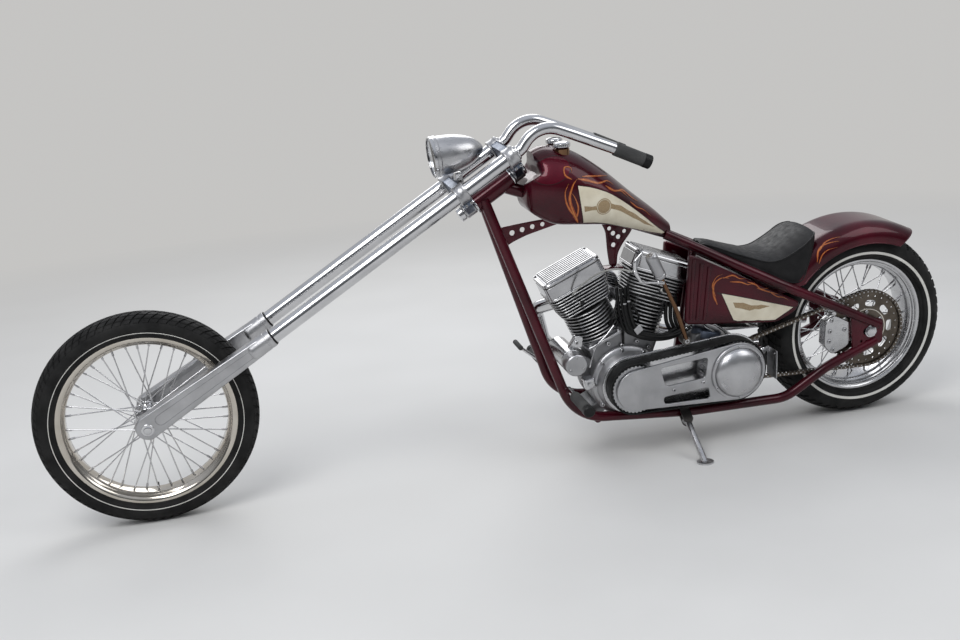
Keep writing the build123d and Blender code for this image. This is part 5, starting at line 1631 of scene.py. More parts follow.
@dataclass
class FuelTank:
    """Teardrop tank with its cream panels, flame licks and caps."""

    exponent: float = 2.1
    waist: float = 0.42
    flat: float = 0.6
    # Columns: X, bottom Z, top Z, half width.
    rows: tuple = (
        (-1204, 918, 1016, 44),
        (-1199, 895, 1040, 72),
        (-1180, 872, 1060, 97),
        (-1120, 838, 1081, 122),
        (-1030, 826, 1058, 129.5),
        (-930, 812, 990, 118),
        (-830, 778, 902, 86),
        (-750, 750, 834, 50),
        (-692, 730, 778, 22),
    )

    def section(self, row: Row) -> list[Vector]:
        """One closed section, flat below and domed above.

        Args:
            row: X, bottom, top and half width.

        Returns:
            Points round the section.
        """
        x, bottom, top, half = row
        middle = bottom + self.waist * (top - bottom)
        flat = self.flat * half
        power = 2 / self.exponent
        right = [(flat * i / 4, bottom) for i in range(4)]
        for i in range(12):
            a = math.pi / 2 * i / 12
            y = flat + (half - flat) * math.sin(a) ** power
            right.append((y, middle - (middle - bottom) * math.cos(a) ** power))
        for i in range(25):
            a = math.pi / 2 * i / 24
            right.append((half * math.cos(a) ** power, middle + (top - middle) * math.sin(a) ** power))
        left = [(-y, z) for y, z in reversed(right[1:-1])]
        return [self.dent(Vector((x, y, z))) for y, z in right + left]

    def dent(self, point: Vector) -> Vector:
        """Push a point back out of the room that the upper clamp sweeps.

        Args:
            point: A point of the tank's skin.

        Returns:
            The point, moved where it has to be.
        """
        away = point - STANCE.on_fork(0, FORK.steering_line)
        station, out = away.dot(STANCE.along), away.dot(STANCE.across)
        fade = held((1482 - station) / 22) * held((station - 1350) / 22)
        limit = -33 + 21 * max(0, abs(point.y) - 31) / 139
        return point - STANCE.across * max(0, out - limit) * fade

    def build(self) -> None:
        """Build the tank, its paint and its caps."""
        shape = Shape("tank_skin")
        sections = [self.section(row) for row in smooth_line(self.rows, 7)]
        shape.grid(sections, Finish.MAROON, wrap=True)
        shape.cap(sections[0], Finish.MAROON)
        shape.cap(sections[-1], Finish.MAROON)
        shape.weld()
        for side in Side:
            self.paint(Artwork(shape, side))
        shape.finish("fuel_tank", Slot.PAINT, 50)
        self.caps()

    def paint(self, art: Artwork) -> None:
        """Cream panel, round badge with its dart, flame licks and the raised oval, drawn flat as a painted
        highlight inside a line of painted shade.

        Args:
            art: The paint on one side.
        """
        lower = ((-1028, 836), (-990, 833), (-942, 822), (-880, 800), (-830, 784), (-780, 766), (-716, 745))
        upper = ((-716, 752), (-760, 786), (-820, 838), (-880, 886), (-940, 927), (-1000, 953), (-1050, 966))
        front = ((-1050, 966), (-1046, 930), (-1040, 890), (-1034, 860), (-1028, 836))
        panel = [*smooth_line(lower, 6)[:-1], *smooth_line(upper, 6)[:-1], *smooth_line(front, 6)[:-1]]
        art.fill(panel, Finish.IVORY)
        for edge in (upper, front):
            art.line(edge, 2.6)
        art.fill(circle(-962, 886, 27, 40), Finish.GOLD, 2)
        badge_line = circle(-962, 886, 23, 24)
        art.line([*badge_line, badge_line[0]], 1.6, Finish.IVORY, 3)
        dart = [
            (-936, 893), (-900, 880), (-850, 846), (-800, 808), (-757, 776), (-806, 800), (-856, 832),
            (-902, 862), (-938, 876)
        ]
        art.fill(dart, Finish.GOLD, 2)
        art.fill([(-990, 892), (-1030, 896), (-1028, 876), (-988, 878)], Finish.GOLD, 2)
        # Flame licks, each from its root to its tip.
        licks = (
            (((-1046, 840), (-1066, 880), (-1078, 925), (-1066, 965), (-1048, 985)), 15),
            (((-1060, 862), (-1086, 905), (-1092, 945), (-1078, 975)), 9),
            (((-1056, 850), (-1050, 890), (-1060, 925), (-1072, 945)), 8),
            (((-1066, 985), (-1086, 1000), (-1084, 1022), (-1064, 1020), (-1062, 1004)), 8),
            (((-1046, 985), (-1010, 975), (-975, 962), (-940, 962), (-915, 946)), 11),
            (((-1030, 990), (-990, 985), (-950, 978), (-925, 972)), 7),
            (((-950, 950), (-920, 930), (-890, 922), (-866, 898)), 9),
            (((-905, 925), (-880, 922), (-850, 895), (-820, 872)), 8),
            (((-860, 884), (-835, 862), (-806, 846), (-775, 818)), 6),
        )
        art.licks(licks)
        # The raised oval is not shaped: its brighter maroon fill is a painted highlight, and the dark line
        # round it is painted shade at its edge.
        middle = -1125
        oval = [(middle + 62 * math.cos(a), 1016 + 40 * math.sin(a) + 10 * math.cos(a)) for a in turns(48)]
        art.fill([(x - 0.02 * (x - middle), z) for x, z in oval], Finish.MAROON_PANEL)
        art.line([*oval, oval[0]], 2.2)

    def caps(self) -> None:
        """Turned filler caps with knurled edges."""
        shape = Shape("filler_cap_pair")
        for side in Side:
            place = place_matrix(Vector((-1070, side.value * 42, 0)), X_AXIS, Y_AXIS)
            rows = [(24, 1040), (24, 1073), (21, 1075), (19, 1077), (19, 1079)]
            shape.lathe(rows, place, Finish.BRONZE, 48)
            rows = [
                (19, 1078), (25.5, 1078), (27, 1080), (27, 1090), (25, 1093), (20, 1095), (8, 1097),
                (0, 1097.6)
            ]
            shape.lathe(rows, place, Finish.CHROME, 48)
            for at in circle(-1070, side.value * 42, 26.2, 24):
                shape.rod((*at, 1080.5), (*at, 1089.5), 1.3, Finish.CHROME, 6)
        shape.finish("filler_caps", Slot.CHROME, 35)


@dataclass
class Seat:
    """Solo seat that climbs the fender, with a welt round its edge."""

    def build(self) -> None:
        """Build the padded top, the skirt and the welt."""
        shape = Shape("seat_pad")
        # Columns: X, half width, top Z at the middle, top Z at the edge, skirt Z.
        rows = (
            (-585, 30, 697, 693, 689),
            (-574, 46, 702, 694, 682),
            (-540, 66, 695, 683, 665),
            (-490, 89, 677, 663, 642),
            (-430, 108, 657, 642, 613),
            (-378, 119, 642, 626, 588),
            (-332, 122, 648, 628, 562),
            (-290, 123, 669, 645, 543),
            (-252, 123.5, 691, 666, 548),
            (-230, 122, 702, 681, 600),
            (-212, 114, 709, 692, 650),
            (-197, 98, 711, 699, 684),
            (-191, 80, 709, 702, 696),
        )
        sections = []
        for x, half, top, edge, skirt in smooth_line(rows, 6):
            right = []
            for i in range(17):
                share = i / 16
                crown = edge + (top - edge) * (1 - share ** 2.4)
                right.append((half * share * 0.985, crown))
            for i in range(1, 7):
                share = i / 6
                bulge = 0.985 + 0.015 * math.sin(math.pi * share)
                right.append((half * bulge, mixed(edge, skirt, share)))
            left = [(-y, z) for y, z in reversed(right[1:])]
            sections.append([Vector((x, y, z)) for y, z in left + right])
        shape.grid(sections, Finish.LEATHER)
        floor = [[row[0], (row[0] + row[-1]) / 2 + Vector((0, 0, 12)), row[-1]] for row in sections]
        shape.grid(floor, Finish.LEATHER)
        for sign in (0, -1):
            line = [row[sign] for row in sections[3:-2]]
            shape.tube(line, 2.6, Finish.LEATHER, 10)
        for place in (6, len(sections[0]) - 7):
            line = [
                row[place] + (row[place] - row[len(row) // 2]).normalized() * 0.6 for row in sections[2:-2]
            ]
            shape.tube(line, 2.8, Finish.LEATHER, 10)
        piece = shape.finish("seat", Slot.LEATHER, 60)


@dataclass
class RearFender:
    """Close rear fender with rounded shoulders and rolled edges."""

    crown: float = 380.0
    half: float = 124.0
    corner: float = 58.0
    low: float = 310.0
    wall: float = 2.5
    front_deg: tuple = (66, 51)
    rear_deg: tuple = (30, 23)

    def profile(self, inset: float) -> list[tuple[float, float]]:
        """Right half of the section, from the crown out.

        Args:
            inset: Distance inside the outer skin.

        Returns:
            Radius and half width of each point.
        """
        rows = [(self.crown - inset, (self.half - self.corner) * i / 6) for i in range(6)]
        reach = self.corner - inset
        for i in range(15):
            a = math.pi / 2 * i / 14
            rows.append(tuple(polar((self.crown - self.corner, self.half - self.corner), reach, a)))
        return [*rows, (self.low + 6, self.half - inset), (self.low, self.half - inset)]

    def limits(self, radius: float) -> tuple[float, float]:
        """Front and rear angles of the skin's ends at a distance from the axle."""
        share = held((self.crown - radius) / (self.crown - self.low))
        return math.radians(mixed(*self.front_deg, share)), math.radians(mixed(*self.rear_deg, share))

    def skin(self, inset: float, steps: int = 72) -> list[list[Vector]]:
        """Rows of points across the fender.

        Args:
            inset: Distance inside the outer skin.
            steps: Steps from the front edge to the tail.

        Returns:
            The rows, from the front edge to the tail.
        """
        half = self.profile(inset)
        full = [(r, -h) for r, h in reversed(half[1:])] + half
        rows = []
        for i in range(steps + 1):
            row = []
            for radius, side in full:
                front, rear = self.limits(radius)
                angle = -front + (front + rear) * i / steps
                row.append(Vector((radius * math.sin(angle), side, REAR_AXLE.z + radius * math.cos(angle))))
            rows.append(row)
        return rows

    def build(self) -> None:
        """Build the skin with a rolled edge and its flame."""
        shape = Shape("fender_skin")
        outer = self.skin(0)
        shape.grid(outer, Finish.MAROON)
        shape.grid(self.skin(self.wall), Finish.BLACK)
        tail, right = reversed(outer[-1][:-1]), [row[-1] for row in outer[1:]]
        edge = [*outer[0], *right, *tail, *[row[0] for row in reversed(outer[:-1])]]
        shape.tube([p + self.inward(p) for p in edge], 2.4, Finish.MAROON, 10, caps=False)
        for side in Side:
            licks = (
                (((-198, 604), (-190, 636), (-172, 654), (-146, 663), (-112, 667)), 8),
                (((-192, 598), (-178, 626), (-156, 641), (-122, 648)), 6),
                (((-184, 640), (-163, 662), (-136, 674), (-104, 680)), 5),
            )
            Artwork(shape, side).licks(licks)
        shape.finish("rear_fender", Slot.PAINT, 45)

    def inward(self, point: Vector) -> Vector:
        """Small step from the outer skin towards the middle of its wall.

        Args:
            point: A point of the outer skin.

        Returns:
            The step.
        """
        if abs(point.y) < self.half - 20:
            return Vector((-point.x, 0, REAR_AXLE.z - point.z)).normalized() * 1.2
        return Y_AXIS * -math.copysign(1.2, point.y)


@dataclass
class OilTank:
    """Fluted oil tank under the seat with its cream panel."""

    half: float = 118.0

    def build(self) -> None:
        """Build the cheeks, the flutes and the artwork on the CAD tank's place."""
        shape = Shape("oil_tank_skin")
        corners = (
            (-663, 686), (-622, 668), (-256, 468), (-267, 441), (-302, 421), (-345, 405), (-492, 421),
            (-625, 436), (-682, 444)
        )
        outline = round_outline(corners, 14)
        for side in Side:
            self.cheek(shape, side, outline)
        middle = round_outline(((-570, 634), (-410, 548), (-402, 424), (-492, 422), (-614, 436)), 10)
        shape.plate(middle, side_place(98), 196, Finish.MAROON)
        for side in Side:
            self.paint(Artwork(shape, side))
        shape.finish("oil_tank", Slot.PAINT, 40)

    def cheek(self, shape: Shape, side: Side, outline: Sequence[Vector]) -> None:
        """One side of the tank with three upright flutes.

        Args:
            shape: The tank's mesh.
            side: Which side.
            outline: The side's outline.
        """
        outer = side.value * self.half
        place = side_place(outer if side is Side.RIGHT else outer + 22)
        shape.plate(outline, place, 22, Finish.MAROON, bevel=6)
        # Columns: X and Z at the flute's top and foot.
        flutes = ((-650, 676, -664, 452), (-622, 660, -640, 448), (-594, 645, -614, 444))
        for top_x, top_z, foot_x, foot_z in flutes:
            shape.rod((top_x, outer, top_z - 8), (foot_x, outer, foot_z + 8), 6.5, Finish.MAROON, 20)

    def paint(self, art: Artwork) -> None:
        """Cream panel, dart and flame licks.

        Args:
            art: The paint on one side.
        """
        panel = round_outline(((-552, 540), (-278, 452), (-352, 414), (-492, 430), (-508, 438)), 10)
        art.fill(panel, Finish.IVORY)
        art.line([*panel[::3], panel[0]], 2.4)
        dart = (
            (-508, 500), (-470, 494), (-440, 480), (-404, 478), (-370, 468), (-410, 462), (-446, 462),
            (-478, 474), (-500, 480)
        )
        art.fill(dart, Finish.GOLD, 2)
        licks = (
            (((-566, 500), (-580, 540), (-576, 575), (-550, 592), (-520, 586)), 10),
            (((-572, 530), (-584, 566), (-570, 596), (-545, 606)), 6),
            (((-545, 590), (-510, 596), (-485, 582), (-462, 578)), 8),
            (((-520, 575), (-480, 568), (-452, 556), (-425, 560)), 7),
            (((-455, 566), (-425, 552), (-405, 535), (-375, 532)), 7),
            (((-420, 540), (-385, 524), (-360, 515), (-335, 506)), 6),
            (((-372, 520), (-345, 500), (-318, 492), (-296, 476)), 5),
        )
        art.licks(licks)


CRANK = Vector((-888, 0, 264))
CLUTCH = Vector((-525, 0, 278))
# X of the plane between the two cylinders.
VALLEY_X = -891


@dataclass
class Cylinder:
    """One finned cylinder with its head and rocker cover."""

    name: str
    lean_deg: float
    base: float = 176.0
    fins: int = 9
    fin_pitch: float = 12.5
    fin_radius: float = 84.0
    core_radius: float = 62.0
    head_fins: int = 8
    head_pitch: float = 11.25
    head_length: float = 218.0
    head_width: float = 150.0
    cover_length: float = 214.0
    cover_width: float = 140.0
    cover_height: float = 60.0
    cover_ribs: int = 9

    @property
    def head(self) -> float:
        """Height of the head's foot from the crankshaft."""
        return self.base + self.fins * self.fin_pitch

    @property
    def up(self) -> Vector:
        """Direction along the cylinder."""
        lean = math.radians(self.lean_deg)
        return Vector((math.sin(lean), 0, math.cos(lean)))

    def place(self, height: float) -> Matrix:
        """Place at a height, with local Z along the cylinder and local Y to the right."""
        return place_matrix(CRANK + self.up * height, Vector((self.up.z, 0, -self.up.x)), Y_AXIS)

    def kept(self, point: Vector) -> Vector:
        """Keep a point on its own side of the V's middle.

        Args:
            point: A point in the build frame.

        Returns:
            The point, moved where it has to be.
        """
        if self.lean_deg < 0:
            return Vector((min(point.x, VALLEY_X - 2.2), point.y, point.z))
        return Vector((max(point.x, VALLEY_X + 2.2), point.y, point.z))

    def slab(
        self, shape: Shape, outline: Sequence[Vector], low: float, high: float, finish: Finish,
        ease: float = 0.0
    ) -> None:
        """Flat slice across the cylinder with eased edges, kept clear of its neighbour.

        Args:
            shape: The mesh to add to.
            outline: Closed outline, rearwards and to the right.
            low: Height of its underside from the crankshaft.
            high: Height of its top.
            finish: The finish.
            ease: Height and inset of the eased edges.
        """
        middle = sum(outline, Vector((0, 0))) / len(outline)
        rings = []
        for height, inset in ((low, ease), (low + ease, 0), (high - ease, 0), (high, ease)):
            place = self.place(height)
            flats = [p - (p - middle).normalized() * inset for p in outline]
            rings.append([self.kept(place @ Vector((*flat, 0))) for flat in flats])
        if not ease:
            rings = [rings[0], rings[-1]]
        shape.grid(rings, finish, wrap=True)
        shape.cap(rings[0], finish)
        shape.cap(rings[-1], finish)

    def barrel(self) -> None:
        """Round barrel fins below the wider head fins."""
        shape = Shape(self.name + "_fins")
        head = self.head
        # The core, the bands between the fins and the studs are near black: painted shade between the fins.
        self.slab(shape, circle(0, 0, self.core_radius, 64), self.base - 2, head + 1, Finish.FIN_ROOT)
        self.slab(shape, box_outline(66, 66, 26), self.base - 12, self.base + 1.5, Finish.CAST, 1)
        for index in range(self.fins):
            low = self.base + (index + 0.5) * self.fin_pitch
            self.slab(shape, circle(0, 0, self.fin_radius, 96), low, low + 4, Finish.FIN, 0.9)
            self.slab(shape, circle(0, 0, self.fin_radius - 9, 64), low - 1.4, low + 5.4, Finish.FIN_ROOT)
        for x, y in ((-48, -58), (48, -58), (-48, 58), (48, 58)):
            a, b = (self.kept(self.place(h) @ Vector((x, y, 0))) for h in (self.base - 20, head + 30))
            shape.rod(a, b, 6, Finish.FIN_ROOT, 12)
        # The head's core and the bands between its fins are near black: painted shade between the fins.
        core = box_outline(75, 52, 20)
        top = head + self.head_fins * self.head_pitch
        self.slab(shape, core, head, top, Finish.FIN_ROOT)
        # Head fins grow towards the cover.
        for index in range(self.head_fins):
            high = head + (index + 1) * self.head_pitch
            share = (index + 1.6) / (self.head_fins + 0.6)
            length = self.head_length * (0.82 + 0.18 * share) / 2
            width = self.head_width * (0.86 + 0.14 * share) / 2
            outline = box_outline(length, width, 34)
            self.slab(shape, outline, high - 3.8, high, Finish.FIN, 0.9)
            # Near-black band under each head fin: painted shade.
            inner = box_outline(length - 12, width - 10, 30)
            self.slab(shape, inner, high - self.head_pitch, high - 0.5, Finish.FIN_ROOT)
        self.plug(shape, head + 34)
        shape.finish(self.name, Slot.FINS, 30)

    def plug(self, shape: Shape, height: float) -> None:
        """Spark plug on the left and pushrod boss on the right.

        Args:
            shape: The cylinder's mesh.
            height: The plug's height from the crankshaft.
        """
        place = self.place(height)
        for x in (-46, 46):
            at = place @ Vector((x * 0.4, -60, 0))
            way = (place @ Vector((x * 0.4, -76, 6))) - at
            if x * self.lean_deg > 0:
                shape.rod(at, at + way * 1.35, 7.5, Finish.BOLT, 6)
                shape.rod(at + way * 1.35, at + way * 2.1, 5.5, Finish.WHITE_BAND, 16)
                shape.rod(at + way * 2.1, at + way * 2.9, 7, Finish.BLACK, 16, 1.5)
        boss = round_outline(((-42, 70), (42, 70), (42, 104), (-42, 104)), 10)
        self.slab(shape, boss, height - 32, height - 18, Finish.CAST, 1.5)

    def cover(self, shape: Shape) -> None:
        """Smooth sided rocker cover with a seam, a stepped lid and long ribs.

        Args:
            shape: The mesh of both covers.
        """
        low = self.head + self.head_fins * self.head_pitch + 0.3
        length, width = self.cover_length / 2, self.cover_width / 2
        outline = box_outline(length, width, 24, 8)
        flange = box_outline(length + 1, width + 3, 26, 8)
        self.slab(shape, flange, low, low + 4.5, Finish.POLISHED, 0.8)
        seam = low + self.cover_height - 14
        self.slab(shape, outline, low + 4.5, seam, Finish.COVER, 0.6)
        inner = [p * 0.975 for p in outline]
        self.slab(shape, inner, seam - 1, seam + 2.6, Finish.STEEL)
        self.slab(shape, outline, seam + 2, low + self.cover_height, Finish.COVER, 3)
        lid = box_outline(length - 12, width - 8, 16, 6)
        top = low + self.cover_height
        self.slab(shape, lid, top - 0.5, top + 1.8, Finish.SATIN, 0.8)
        for index in range(self.cover_ribs):
            gaps = self.cover_ribs - 1
            y = (index - gaps / 2) * (2 * width - 24) / gaps
            rib = box_outline(length - 18, 2.6, 2.4, 3, y)
            self.slab(shape, rib, top + 1, top + 6.8, Finish.POLISHED, 1)
        for x in (-length + 10, length - 10):
            for y in (-width + 12, width - 12):
                shape.bolt(self.place(top) @ Vector((x, y, 0)), self.up, 5, 4)


@dataclass
class Engine:
    """Crankcase, cam chest, generator, carburettor and plumbing."""

    case_radius: float = 128.0
    case_half: float = 84.0
    banks: tuple = (Cylinder("front_cylinder", -23.5), Cylinder("rear_cylinder", 21.5))
    generator_at: tuple = (-1082, 366)
    cleaner_at: tuple = (VALLEY_X, 540)

    def build(self) -> None:
        """Build every piece of the engine."""
        self.case()
        covers = Shape("rocker_covers")
        for bank in self.banks:
            bank.barrel()
            bank.cover(covers)
        covers.finish("rocker_boxes", Slot.CHROME, 30)
        self.cam_chest()
        self.generator()
        self.intake()
        self.exhausts()

    def case(self) -> None:
        """Crankcase with its bolted ring cover, decks and feet."""
        shape = Shape("crankcase_castings")
        half = self.case_half
        drum = circle(*CRANK.xz, self.case_radius - 4, 96)
        shape.plate(drum, side_place(half), 2 * half, Finish.CAST, bevel=6)
        rows = [(0, -3), (self.case_radius, -3), (self.case_radius, 3), (0, 3)]
        shape.lathe(rows, left_place(CRANK), Finish.CAST, 96)
        for bank in self.banks:
            bank.slab(shape, box_outline(68, 78, 14), 60, 164, Finish.CAST, 1.5)
            bank.slab(shape, box_outline(71, 80, 18), 160, 170, Finish.SATIN, 1.5)
            for x in (-54.88, 54.88):
                at = bank.place(170) @ Vector((x, -70, 0))
                if (bank.kept(at) - at).length < 0.1:
                    shape.bolt(at, bank.up, 6.5, 7)
        feet = (
            (-1024, 149), (-1024, 168), (-960, 200), (-800, 200), (-742, 168), (-742, 149), (-806, 149),
            (-820, 165), (-950, 165), (-966, 149)
        )
        shape.plate(round_outline(feet, 8), side_place(62), 124, Finish.CAST, bevel=2)
        ring = left_place(CRANK)
        rows = [
            (70, 84), (121, 84), (125, 86), (125, 92), (121, 96), (110, 99), (104, 112), (100, 122),
            (96, 126.5), (66, 126.5)
        ]
        shape.lathe(rows, ring, Finish.SATIN, 96)
        shape.lathe([(109, 99.4), (107.5, 104.4), (106, 104.4), (106, 99.4)], ring, Finish.POLISHED, 96)
        for angle in turns(9, math.radians(18)):
            at = ring @ Vector((*polar((0, 0), 115, angle), 97))
            shape.lathe([(0, -6), (10, -6), (10, 0), (9, 1.2), (0, 1.2)], left_place(at), Finish.SATIN, 24)
            shape.bolt(at + TO_LEFT * 1.2, TO_LEFT, 6.2, 5.5)
        shape.bolts(((-948, 404), (-900, 392), (-846, 398), (-804, 372)), -half, TO_LEFT, 7, 6)
        shape.finish("crankcase", Slot.ALLOY, 35)

    def cam_chest(self) -> None:
        """Cam chest on the right with pushrod tubes and lifter blocks."""
        shape = Shape("cam_chest")
        corners = (
            (-1000, 230), (-985, 320), (-940, 368), (-836, 368), (-790, 320), (-776, 240), (-840, 178),
            (-940, 178)
        )
        outline = round_outline(corners, 26)
        shape.plate(outline, side_place(119.5), 35.2, Finish.POLISHED, bevel=3)
        cover = right_place((CRANK.x, 119, CRANK.z))
        shape.lathe([(46, 0), (46, 6), (43, 8.6), (30, 9), (0, 9)], cover, Finish.POLISHED)
        spots = (
            (-988, 242), (-975, 318), (-936, 356), (-840, 356), (-799, 316), (-787, 246), (-843, 190),
            (-937, 190)
        )
        shape.bolts(spots, 119.2, TO_RIGHT, 5.5, 5)
        spots = [polar(CRANK.xz, 36, angle) for angle in turns(4, math.radians(45))]
        shape.bolts(spots, 128, TO_RIGHT, 4, 3.5)
        # Columns: cylinder, offset at the cover, offset at the head.
        for index, low_x, high_x in ((0, -6, -27), (0, 22, 24), (1, -22, -24), (1, 6, 27)):
            bank = self.banks[index]
            foot = bank.place(96) @ Vector((low_x, 96, 0))
            head = bank.place(bank.head + 1.7) @ Vector((high_x, 96, 0))
            shape.rod(foot, head, 7.5, Finish.CHROME)
            along = (head - foot).normalized()
            for start, end, radius in ((26, 40, 12), (84, 92, 10.5), (150, 158, 10.5)):
                shape.rod(foot + along * start, foot + along * end, radius, Finish.CHROME, 24, 1.2)
        shape.finish("cam_cover", Slot.ALLOY, 35)

    def generator(self) -> None:
        """Generator with a brushed end cap, its saddle and the small block under it."""
        shape = Shape("generator_set")
        x, z = self.generator_at
        place = left_place((x, 0, z))
        rows = [
            (0, -60), (35, -60), (38, -57), (38, 96), (36.5, 97), (36.5, 100), (38, 101), (38, 120), (0, 120)
        ]
        shape.lathe(rows, place, Finish.POLISHED)
        rows = [(38.2, 101), (38.2, 143), (37, 147.5), (34, 150), (24, 150.4), (0, 150.6)]
        shape.lathe(rows, place, Finish.SATIN)
        spots = [polar((x, z), 26, angle) for angle in turns(3, math.radians(90))]
        shape.bolts(spots, -150.2, TO_LEFT, 4, 3)
        saddle = round_outline(((-1086, 350), (-1040, 372), (-975, 330), (-1000, 270), (-1060, 300)), 12)
        shape.plate(saddle, side_place(56), 112, Finish.CAST, bevel=2)
        mount = round_outline(((-1088, 402), (-1060, 448), (-1036, 440), (-1040, 404)), 8)
        shape.plate(mount, side_place(-60), 24, Finish.POLISHED, bevel=2)
        shape.bolt((-1060, -84, 424), TO_LEFT, 7, 5)
        block = round_outline(((-1052, 300), (-1016, 306), (-1010, 276), (-1044, 262)), 7)
        shape.plate(block, side_place(-84), 44, Finish.POLISHED, bevel=3)
        shape.rod((-1032, -128, 284), (-1032, -136, 284), 9, Finish.BOLT, 6)
        shape.finish("generator", Slot.CHROME, 35)

    def intake(self) -> None:
        """Carburettor and round air cleaner with manifold and intake tract."""
        shape = Shape("air_cleaner_set")
        x, z = self.cleaner_at
        place = right_place((x, 114, z))
        rows = [(0, 0), (58, 0), (64, 4), (66, 8), (66, 16), (62, 18), (62, 30)]
        rows += [(66, 32), (66, 40), (62, 45), (52, 49), (30, 49.8), (0, 50)]
        shape.lathe(rows, place, Finish.CHROME, 80)
        shape.lathe([(62.4, 18), (62.4, 30)], place, Finish.BLACK, 80)
        shape.lathe([(0, -26), (24, -26), (25, -24), (25, 0)], place, Finish.SATIN, 40)
        spots = [polar((x, z), 40, angle) for angle in turns(3, math.radians(30))]
        shape.bolts(spots, 163.6, TO_RIGHT, 4.5, 0.3)
        shape.finish("air_cleaner", Slot.CHROME, 35)

    def exhausts(self) -> None:
        """Two drag pipes on the right with turned-out ends."""
        shape = Shape("drag_pipes")
        front = ((-1096, 36, 536), (-1148, 92, 506), (-1092, 196, 350), (-980, 198, 226), (-90, 205, 212))
        rear = ((-752, 60, 566), (-744, 204, 560), (-690, 206, 318), (-60, 208, 290))
        for points, bends in ((front, (50, 90, 110)), (rear, (60, 100))):
            line = rounded_route(points, bends)
            whole = [*line[:-2], *[line[-2] + (line[-1] - line[-2]) * i / 30 for i in range(31)]]
            shape.tube(whole, 24, Finish.CHROME, 48, caps=False)
            end, back = whole[-1], (whole[-2] - whole[-1]).normalized()
            inner = [end + back * step for step in (0, 20, 60, 140)]
            shape.tube(inner, [21.5, 21.3, 21.3, 21.3], Finish.STEEL, 48, caps=False)
            shape.lathe([(21.5, 0), (22.6, -0.6), (24, 0)], axis_place(end, back), Finish.CHROME, 48)
            shape.cap(self.ring(whole[-6], back, 21.3), Finish.STEEL)
        shape.finish("exhaust_pipes", Slot.CHROME)

    def ring(self, centre: Vector, axis: Vector, radius: float) -> list[Vector]:
        """Ring of points square to an axis."""
        place = axis_place(centre, axis)
        return [place @ Vector((*spot, 0)) for spot in circle(0, 0, radius, 32)]


